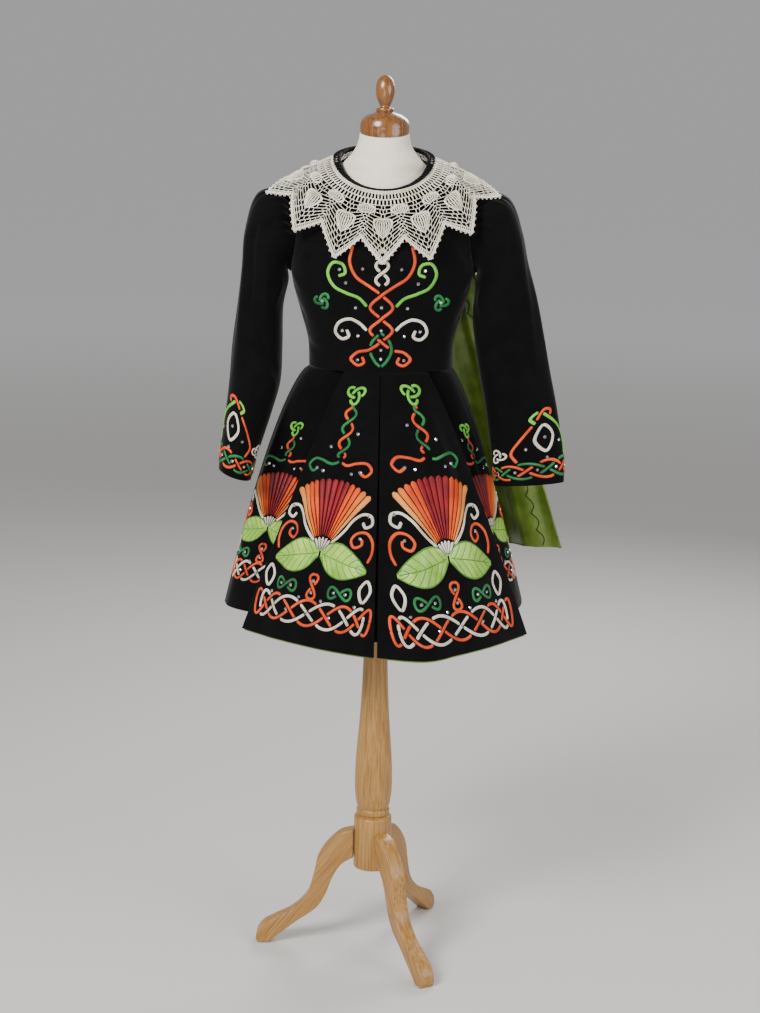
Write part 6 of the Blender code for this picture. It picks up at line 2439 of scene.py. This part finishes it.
def rhinestone() -> bpy.types.Mesh:
    """Return a round faceted stone, 1 mm in radius, with a flat back."""
    sides = 8
    points, faces = [], []
    # Radius, height and turn in sides of its girdle, low and high, and of its table.
    for radius, z, turn in ((0.001, -0.00005, 0.0), (0.001, 0.00016, 0.0),
                            (0.00062, 0.00062, 0.5)):
        for k in range(sides):
            angle = (k + turn) * math.tau / sides
            points.append((radius * math.cos(angle), radius * math.sin(angle), z))
    for k in range(sides):
        j = (k + 1) % sides
        faces.append((k, j, sides + j, sides + k))
        faces.append((sides + k, sides + j, 2 * sides + k))
        faces.append((sides + j, 2 * sides + j, 2 * sides + k))
    faces.append(tuple(range(sides))[::-1])
    faces.append(tuple(2 * sides + k for k in range(sides)))
    mesh = bpy.data.meshes.new("rhinestone")
    mesh.from_pydata(points, [], faces)
    return mesh


@dataclass
class Embroidery:
    """All the embroidery: fans, leaves and cords, and the stones glued among them.

    Args:
        stone: smallest and largest radius of the stones, in millimetres.
        stone_lift: how far their backs lie over the cloth.
        cuff_sizes: metres for one turn round a cuff and for its whole length, on each side.
        cuff_middle: the motif's middle, in turns.
        stones: the stones' places and their outward directions.
    """

    stone: tuple[float, float] = (2.7, 3.2)
    stone_lift: float = 0.0003
    cuff_sizes: tuple[tuple[str, tuple[float, float]], ...] = (
        ("left", (0.255, 0.445)), ("right", (0.235, 0.43)))
    cuff_middle: float = -0.165
    stones: list[tuple[Array, Array]] = field(default_factory=list)

    def build(self) -> None:
        """Stitch the skirt, the bodice and the cuffs."""
        for panel in PANELS:
            if panel.name in MOTIFS:
                self.panel(panel, MOTIFS[panel.name])
        self.bodice()
        for side in ("left", "right"):
            self.cuff(side)
        crystals = scatter("rhinestones_glued", rhinestone, self.stones, RHINESTONE, self.stone)
        hand_over(crystals)

    def mark(self, ground: Ground, stones: Sequence[tuple[float, float]]) -> None:
        """Note where a ground's stones go."""
        for across, up in stones:
            place, way = ground.facing(across * ground.scale, up * ground.scale)
            self.stones.append((place + way * self.stone_lift, way))

    def stitch(self, name: str, ground: Ground, strokes: Sequence[Stroke],
               stones: Sequence[tuple[float, float]]) -> None:
        """Stitch the cords of one motif and note its stones.

        Args:
            name: the cords' name.
            ground: the cloth.
            strokes: the cords.
            stones: the stones' places.
        """
        parts = MeshParts()
        Needlework(ground).cords(parts, strokes, THREAD_SLOTS)
        hand_over(parts.build(name, tuple(Thread)))
        self.mark(ground, stones)

    def panel(self, panel: Panel, motif: Motif) -> None:
        """Stitch one skirt panel."""
        surface = PanelSurface(creases=panel.creases, lines=panel.lines)

        def place(across: Array, up: Array) -> tuple[Array, Array]:
            """Return the panel's places of places across and up."""
            z = motif.z + up
            return surface.face + motif.share + across / surface.width(z), z

        ground = Ground(surface, place, panel.mirror, motif.scale)
        work = Needlework(ground)
        parts = MeshParts()
        work.fan(parts, [THREAD_SLOTS[thread] for thread in FRONT_FAN], *FAN_SHAPE)
        work.fan(parts, [THREAD_SLOTS[Thread.CREAM]] * SHELL_RIBS, *SHELL_SHAPE)
        fan = parts.build(f"fan_{panel.name}_stitched", tuple(Thread))
        hand_over(fan, [f"fan_{panel.name}"])
        for name, way in (("inner", -1), ("outer", 1)):
            parts = MeshParts()
            work.leaf(parts, way, 0, 1)
            leaf = parts.build(f"leaf_{name}_{panel.name}_satin", (SATIN_LIME, Thread.MOSS))
            hand_over(leaf, [f"leaf_{name}_{panel.name}"])
        self.stitch(f"cords_{panel.name}_stitched", ground,
                    skirt_strokes(motif.plait, motif.top), SKIRT_STONES)

    def bodice(self) -> None:
        """Stitch the bodice front."""

        def place(across: Array, up: Array) -> tuple[Array, Array]:
            """Return the bodice's places of places across and heights."""
            half = smooth(BODICE[:, 0], BODICE[:, 1], np.ravel(up)).reshape(np.shape(up))
            return np.degrees(np.arcsin(np.clip(across / half, -0.99, 0.99))), up

        self.stitch("cords_bodice_stitched", Ground(Bodice().surface(), place),
                    bodice_strokes(), BODICE_STONES)

    def cuff(self, side: str) -> None:
        """Stitch one cuff."""
        girth, length = dict(self.cuff_sizes)[side]

        def place(across: Array, up: Array) -> tuple[Array, Array]:
            """Return the sleeve's places of places across and up from its edge."""
            return self.cuff_middle + across / girth, up / length

        self.stitch(f"cords_cuff_{side}_stitched",
                    Ground(Sleeves().surface(side), place, side == "right"),
                    cuff_strokes(), CUFF_STONES)


@dataclass
class ZipFastener:
    """The centre-back zip: two tapes, its coil's teeth, the slider and its pull.

    Args:
        low: height of its lower end.
        high: height of its upper end.
        pitch: between teeth of one side, drawn coarser than the real 1.2 mm.
        tape: width of the tape that shows on each side.
        tape_start: its edge's distance from the middle.
        tape_fold: width of its two bent edges.
        tape_lifts: heights of its points over the cloth.
        tape_rows: rows of each tape.
        tape_wall: its thickness.
        tooth_size: across, up and out.
        tooth_lift: height of its middle over the tape.
        tooth_bevel: of its edges.
        tooth_reach: how far its middle lies from the zip's.
        tooth_ends: what the teeth leave free at the zip's ends.
        slider_body: share up and half width of the slider's outline.
        slider_length: of its body, which ends 1 mm below the zip's upper end.
        slider_lifts: heights of its top over the cloth, at the shares across.
        slider_shares: those shares.
        slider_under: height of its underside.
        bridge: start below the zip's end, length, height and rise of its bridge, and its radius.
        tab_lifts: heights of the pull tab's two sides.
        ring_drop: of the tab's ring below the top of its solid.
        hole: half width, place and half height of the hole in its ring.
    """

    low: float = 0.992
    high: float = 1.322
    pitch: float = 0.0021
    tape: float = 0.0034
    tape_start: float = 0.0008
    tape_fold: float = 0.0004
    tape_lifts: tuple[float, ...] = (0.0001, 0.0006, 0.0006, 0.0001)
    tape_rows: int = 90
    tape_wall: float = 0.0005
    tooth_size: tuple[float, float, float] = (0.0030, 0.00085, 0.0011)
    tooth_lift: float = 0.0009
    tooth_bevel: float = 0.00022
    tooth_reach: float = 0.0003
    tooth_ends: float = 0.002
    slider_body: tuple[tuple[float, float], ...] = (
        (0.0, 0.0026), (0.25, 0.0040), (0.6, 0.0044), (1.0, 0.0034))
    slider_length: float = 0.009
    slider_lifts: tuple[float, ...] = (0.0010, 0.0026, 0.0031, 0.0031, 0.0026, 0.0010)
    slider_shares: tuple[float, ...] = (-1.0, -0.92, -0.6, 0.6, 0.92, 1.0)
    slider_under: float = 0.0009
    bridge: tuple[float, ...] = (0.0085, 0.006, 0.0028, 0.0022, 0.0006)
    tab_lifts: tuple[float, float] = (0.0052, 0.0038)
    ring_drop: float = 0.0016
    hole: tuple[float, float, float] = (0.0010, 0.0024, 0.0013)

    def back(self, across: Array | float, z: Array | float, lift: Array | float) -> Array:
        """Return points over the centre back, facing +Y."""
        across, z, lift = np.broadcast_arrays(*(np.asarray(v, float) for v in (across, z, lift)))
        half = smooth(BODICE[:, 0], BODICE[:, 1], z.ravel()).reshape(z.shape)
        return BodiceSurface().lifted(180 - np.degrees(np.arcsin(across / half)), z, lift)

    def build(self) -> None:
        """Make the tapes, the teeth, the slider and the pull."""
        parts = MeshParts()
        z = np.linspace(self.low, self.high, self.tape_rows)
        for side in (-1, 1):
            across = np.array((self.tape_start, self.tape_start + self.tape_fold, self.tape,
                               self.tape + self.tape_fold)) * side
            lifts = np.array(self.tape_lifts)
            if side > 0:
                across, lifts = across[::-1], lifts[::-1]
            points = self.back(across[None, :], z[:, None], lifts[None, :])
            spots = np.stack(np.broadcast_arrays(across[None, :], z[:, None]), axis=-1)
            parts.add(points, grid_faces(*points.shape[:2]), 0, spots)
        tapes = add_wall(parts.build("zip_tapes_woven", (COTTON_BLACK,)), self.tape_wall)
        hand_over(tapes)
        places = []
        for side in (-1, 1):
            for height in np.arange(self.low + self.tooth_ends + (side > 0) * self.pitch / 2,
                                    self.high - self.tooth_ends, self.pitch):
                low, high = (self.back(self.tooth_reach * side, height, lift)
                             for lift in (0.0, 0.001))
                places.append((low, (high - low) / np.linalg.norm(high - low)))
        teeth = scatter("zip_teeth_coil", self.tooth, places, ZIP_BLACK, (1.0, 1.0), 3, 0.0)
        hand_over(teeth)
        self.slider()

    def tooth(self) -> bpy.types.Mesh:
        """Return one tooth, a flat rounded bar."""
        build = bmesh.new()
        bmesh.ops.create_cube(build, size=1.0)
        bmesh.ops.scale(build, vec=self.tooth_size, verts=build.verts)
        bmesh.ops.translate(build, vec=(0, 0, self.tooth_lift), verts=build.verts)
        bmesh.ops.bevel(build, geom=build.edges, offset=self.tooth_bevel, segments=1,
                        affect="EDGES")
        mesh = bpy.data.meshes.new("zip_tooth")
        build.to_mesh(mesh)
        build.free()
        return mesh

    def slider(self) -> None:
        """Make the slider with its bridge and the pull tab that hangs from it."""
        parts = MeshParts()
        rows = np.array(self.slider_body)
        z = (self.high - 0.010 + self.slider_length * rows[:, 0])[:, None]
        across = -np.array(self.slider_shares)[None, :] * rows[:, 1:]
        top = self.back(across, z, np.array(self.slider_lifts)[None, :])
        low = self.back(across, z, self.slider_under)
        add_shell(parts, top, low, np.zeros((*top.shape[:2], 2)), np.zeros(top.shape[:2], bool),
                  False)
        start, length, lift, rise, radius = self.bridge
        share = np.linspace(0, 1, 9)
        arch = self.back(np.zeros(9), self.high - start + length * share,
                         lift + rise * np.sin(np.linspace(0, math.pi, 9)))
        add_tube(parts, arch[None], radius, 8)
        lowest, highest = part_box("zip_pull")
        ring_z = highest.z - self.ring_drop
        outline = self.tab_outline(highest.z - lowest.z)
        count = len(outline)
        wide, middle, tall = self.hole
        hole = [(wide * math.sin(t), middle - tall * math.cos(t))
                for t in np.linspace(0, math.tau, count + 1)[:-1]]
        points = [self.back(across, ring_z - drop, lift)
                  for rim in (outline, hole) for lift in self.tab_lifts for across, drop in rim]
        faces = []
        for k in range(count):
            j = (k + 1) % count
            faces += [[k, j, 2 * count + j, 2 * count + k],
                      [count + j, count + k, 3 * count + k, 3 * count + j],
                      [j, k, count + k, count + j],
                      [2 * count + k, 2 * count + j, 3 * count + j, 3 * count + k]]
        parts.add(np.array(points), faces)
        item = parts.build("zip_slider_and_pull", (ZIP_BLACK,))
        build = bmesh.new()
        build.from_mesh(item.data)
        bmesh.ops.recalc_face_normals(build, faces=build.faces)
        build.to_mesh(item.data)
        build.free()
        item.data.set_sharp_from_angle(angle=math.radians(35))
        hand_over(item, ["zip_pull"])

    def tab_outline(self, length: float) -> list[tuple[float, float]]:
        """Return the tab's outline, across and down from its ring, a narrow tongue."""
        half = ((0.0, 0.0), (0.0015, 0.0004), (0.0021, 0.0016), (0.0019, 0.0040),
                (0.0016, 0.0090), (0.0020, 0.0160), (0.0025, length - 0.0046),
                (0.0021, length - 0.0026), (0.0010, length - 0.0018), (0.0, length - 0.0016))
        return [*half, *((-a, d) for a, d in half[-2:0:-1])]


# ---------------------------------------------------------------- crochet
@dataclass
class LaceCollar:
    """The cotton collar, crocheted from the neck out in vandyked points.

    Args:
        yarn: radius of the cotton.
        stitch: length of a chain stitch in the heavier rounds and in the net's.
        neck_rounds: place and yarn of the three rounds of the neck band and the ladder.
        band_posts: posts of the neck band in one point.
        band_yarn: their radius.
        ladder: top, bottom and start, in posts, of the ladder's two rows of doubled posts.
        ladder_posts: pairs of posts of each row in one point.
        ladder_nudge: half the gap between the two posts of a pair.
        ladder_yarn: their radius.
        rounds: places of the net's rounds, from the neck (0) to the edge (1).
        net_posts: posts of one round in one point.
        inner: top, bottom and half width of the pineapples at the notches.
        outer: the same of those in the points.
        eyelet: place and half width of the open holes beside a pineapple.
        ribs: ribs of one pineapple.
        rib_yarn: radius of a rib, which is a cluster of stitches.
        puff: how far a pineapple's middle is puffed up.
        edge_rounds: place and yarn of the rounds of the edge.
        edge_posts: from, to, posts in one point and yarn of the posts between them.
        picots: loops of the edge in one point.
        picot_size: half width, rise and half height of one loop, and its yarn's radius.
        rim_yarn: radius of the yarn round a pineapple.
        lift: how far the yarn's middle lies over the surface.
        start: what the rounds leave free at the opening, in shares of a point.
        surface: the shape that it lies on.
    """

    yarn: float = 0.00052
    stitch: tuple[float, float] = (0.0021, 0.0024)
    neck_rounds: tuple[tuple[float, float], ...] = ((0.0, 0.0010), (0.040, 0.0008),
                                                    (0.135, 0.0008))
    band_posts: int = 18
    band_yarn: float = 0.00088
    ladder: tuple[tuple[float, float, float], ...] = ((0.040, 0.135, 0.5), (0.135, 0.225, 0.0))
    ladder_posts: int = 8
    ladder_nudge: float = 0.010
    ladder_yarn: float = 0.00066
    rounds: tuple[float, ...] = (0.225, 0.290, 0.355, 0.420, 0.485, 0.550, 0.615, 0.680, 0.745,
                                 0.810, 0.870, 0.925)
    net_posts: int = 10
    inner: tuple[float, float, float] = (0.232, 0.430, 0.250)
    outer: tuple[float, float, float] = (0.430, 0.690, 0.240)
    eyelet: tuple[float, float] = (0.31, 0.05)
    ribs: int = 8
    rib_yarn: float = 0.00105
    puff: float = 0.0042
    edge_rounds: tuple[tuple[float, float], ...] = ((0.925, 0.0007), (0.972, 0.0008),
                                                    (1.0, 0.0009))
    edge_posts: tuple[tuple[float, float, int, float], ...] = (
        (0.925, 0.972, 26, 0.0007), (0.972, 1.0, 34, 0.0008))
    picots: int = 12
    picot_size: tuple[float, float, float, float] = (0.0014, 0.0013, 0.0015, 0.0006)
    rim_yarn: float = 0.0008
    lift: float = 0.0006
    start: float = 0.002
    surface: CollarSurface = field(default_factory=CollarSurface)

    def lie(self, a: Array, b: Array) -> Array:
        """Return how far the worked lace stands off its smooth shape, softly uneven."""
        return (0.0009 * np.sin(a * 5.1 + b * 3.0) * b
                + 0.0007 * np.sin(a * 12.7 + 1.3 * np.sin(b * 9.0)) * b)

    def point(self, a: Array, b: Array, lift: Array | float = 0.0) -> Array:
        """Return points of the lace."""
        a, b = np.broadcast_arrays(np.asarray(a, float), np.asarray(b, float))
        return self.surface.lifted(a, b, lift + self.lie(a, b) + self.lift)

    def round(self, parts: MeshParts, depth: float, yarn: float, spacing: float) -> None:
        """Work one chain round."""
        points = self.surface.points_round
        fine = self.point(np.linspace(0.02, points - 0.02, 900), depth)
        count = int(np.linalg.norm(np.diff(fine, axis=0), axis=1).sum() / spacing)
        a = np.linspace(self.start, points - self.start, count)
        beads = yarn * (1 + 0.22 * np.cos(np.arange(count) * math.pi))
        add_tube(parts, self.point(a, np.full(count, depth))[None], beads[None], 5)

    def posts(self, parts: MeshParts, a: Array, low: float, high: float, yarn: float,
              lean: float = 0.0) -> None:
        """Work posts between two depths."""
        ends = np.stack([self.point(a, low), self.point(a + lean, high)], axis=1)
        add_tube(parts, ends, yarn, 4)

    def even_places(self, count: int, start: float = 0.5) -> Array:
        """Return the places of a count of posts in each point, the first at a start, in posts."""
        return (np.arange(self.surface.points_round * count) + start) / count

    def half_width(self, t: Array | float) -> Array | float:
        """Return a pineapple's half width from its top (0) to its bottom (1), 1 at the widest."""
        return np.sin(math.pi * np.clip(t, 0, 1) ** 0.80) ** 0.62

    def pineapple(self, parts: MeshParts, middle: float, top: float, bottom: float,
                  wide: float, rows: int) -> None:
        """Work one puffed pineapple of solid rows.

        Args:
            parts: gets the yarn.
            middle: its place round the collar.
            top: depth of its neck end.
            bottom: depth of its point.
            wide: half its width in shares of a point.
            rows: its number of rows.
        """
        t = np.linspace(0.02, 0.98, 2 * rows + 1)
        x = np.linspace(-0.94, 0.94, self.ribs)[:, None]
        depth = np.broadcast_to(top + (bottom - top) * t, (len(x), len(t)))
        rise = self.puff * (1 - x ** 2) * np.sin(math.pi * t) + 0.0002
        ribs = self.point(middle + x * wide * self.half_width(t), depth, rise)
        thick = self.rib_yarn * np.clip(self.half_width(t), 0.35, 1.0)
        add_tube(parts, ribs, np.broadcast_to(thick, ribs.shape[:2]), 6)
        turn = np.linspace(0, 1, 19)
        rim = np.concatenate([turn, turn[::-1][1:-1]])
        side = np.concatenate([np.ones(19), -np.ones(17)])
        ring = self.point(middle + side * wide * self.half_width(rim) * 1.06,
                          top + (bottom - top) * rim, 0.0003)
        add_tube(parts, ring[None], self.rim_yarn, 5, closed=True)

    def build(self) -> None:
        """Make the collar."""
        parts = MeshParts()
        points = self.surface.points_round
        for depth, yarn in self.neck_rounds:
            self.round(parts, depth, yarn, self.stitch[0])
        self.posts(parts, self.even_places(self.band_posts), 0.0, self.ladder[0][0],
                   self.band_yarn)
        for low, high, start in self.ladder:
            share = self.even_places(self.ladder_posts, start)
            share = share[share > 0.01]
            for nudge in (-self.ladder_nudge, self.ladder_nudge):
                self.posts(parts, share + nudge, low, high, self.ladder_yarn)
        for depth in self.rounds:
            self.round(parts, depth, self.yarn, self.stitch[1])
        share = self.even_places(self.net_posts)
        for n, (low, high) in enumerate(zip(self.rounds, self.rounds[1:])):
            lean = 0.010 * math.sin(n * 2.1)
            place = share + 0.5 / self.net_posts * (n % 2)
            place = place[place < points - 0.02]
            bare = np.ones(len(place), bool)
            for centre, (top, bottom, wide) in ((0.0, self.inner), (0.5, self.outer)):
                off = np.abs((place - centre + 0.5) % 1.0 - 0.5)
                t = ((low + high) / 2 - top) / (bottom - top)
                if 0 < t < 1:
                    bare &= off > wide * self.half_width(t)
                if 0 < t < 1.6:
                    bare &= np.abs(off - self.eyelet[0]) > self.eyelet[1]
            self.posts(parts, place[bare], low, high, self.yarn * 1.1, lean)
        for n in range(points):
            self.pineapple(parts, n + 0.5, *self.outer, 9)
            if n:
                self.pineapple(parts, float(n), *self.inner, 7)
        for depth, yarn in self.edge_rounds:
            self.round(parts, depth, yarn, self.stitch[0])
        for low, high, count, yarn in self.edge_posts:
            self.posts(parts, self.even_places(count), low, high, yarn)
        lace = parts.build("lace_collar_crochet", (CROCHET_CREAM,))
        hand_over(lace, ["lace_collar"])
        self.edge_loops()

    def edge_loops(self) -> None:
        """Set the small loops of the edge."""
        places = []
        for share in self.even_places(self.picots):
            here = self.point(share, 1.0)
            back = self.point(share, 0.96)
            way = (here - back) / np.linalg.norm(here - back)
            places.append((here + way * self.lift, way))
        loops = scatter("lace_picots_crochet", self.picot, places, CROCHET_CREAM, (0.92, 1.12),
                        7, 0.0)
        loops.data.shade_smooth()
        hand_over(loops)

    def picot(self) -> bpy.types.Mesh:
        """Return one loop, standing along its Z axis."""
        parts = MeshParts()
        t = np.linspace(0, math.tau, 9)[:-1]
        wide, rise, tall, yarn = self.picot_size
        path = np.stack([wide * np.sin(t), 0 * t, rise - tall * np.cos(t)], axis=1)
        add_tube(parts, path[None] - SHIFT, yarn, 4, closed=True)
        mesh = bpy.data.meshes.new("picot")
        mesh.from_pydata((np.concatenate(parts.points) + SHIFT).tolist(), [], parts.faces)
        return mesh


@dataclass
class Studio:
    """The camera, the soft lights and the pale floor.

    Args:
        camera_place: the camera's place.
        camera_tilt: its tilt from straight down, in degrees.
        camera_roll: its roll, in degrees.
        lens: its lens, in millimetres.
        floor_half: half the floor's side.
        room: colour and strength of the room's even light.
        aim: height that the lamps are turned to.
        lamps: name, place, size and power of the lamps.
    """

    camera_place: tuple[float, float, float] = (-0.0239, -3.0013, 1.347)
    camera_tilt: float = 78.9
    camera_roll: float = 1.0
    lens: float = 66.7
    floor_half: float = 120.0
    room: tuple[str, float] = ("#e4e4e4", 0.50)
    aim: float = 0.95
    lamps: tuple[tuple[str, tuple[float, float, float], float, float], ...] = (
        ("key", (-1.5, -2.1, 2.5), 1.3, 115.0), ("fill", (2.2, -1.6, 1.5), 1.8, 38.0),
        ("rim", (0.9, 2.2, 2.3), 1.4, 50.0), ("low", (-0.4, -2.6, 0.75), 1.1, 10.0))

    def build(self) -> None:
        """Make the studio."""
        scene = bpy.context.scene
        data = bpy.data.cameras.new("camera")
        data.lens = self.lens
        data.clip_start = 0.05
        camera = add_object("camera", data)
        camera.matrix_world = (Matrix.Translation(self.camera_place)
                               @ Matrix.Rotation(math.radians(self.camera_tilt), 4, "X")
                               @ Matrix.Rotation(math.radians(self.camera_roll), 4, "Z"))
        scene.camera = camera
        world = bpy.data.worlds.new("studio")
        world.use_nodes = True
        light = world.node_tree.nodes["Background"].inputs
        light["Color"].default_value = linear(self.room[0])
        light["Strength"].default_value = self.room[1]
        scene.world = world
        for name, place, size, power in self.lamps:
            lamp = bpy.data.lights.new(name, "AREA")
            lamp.shape = "DISK"
            lamp.size = size
            lamp.energy = power
            item = add_object(name, lamp)
            item.location = place
            item.rotation_euler = (Vector((0, 0, self.aim)) - Vector(place)).to_track_quat(
                "-Z", "Y").to_euler()
        mesh = bpy.data.meshes.new("floor")
        half = self.floor_half
        corners = ((-half, -half), (half, -half), (half, half), (-half, half))
        mesh.from_pydata([(x, y, -0.0005) for x, y in corners], [], [(0, 1, 2, 3)])
        mesh.materials.append(FINISHES.get(FLOOR_PALE))
        floor = add_object("floor", mesh)


def main() -> None:
    """Build the dress, the form and the stand, piece by piece."""
    logging.basicConfig(level=logging.INFO, format="%(name)s: %(message)s")
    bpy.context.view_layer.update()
    Studio().build()
    Stand().build()
    Form().build()
    Bodice().build()
    Sleeves().build()
    Skirt().build()
    Shawl().build()
    ZipFastener().build()
    LaceCollar().build()
    Embroidery().build()
    bpy.context.view_layer.update()


if __name__ == "__main__":
    main()
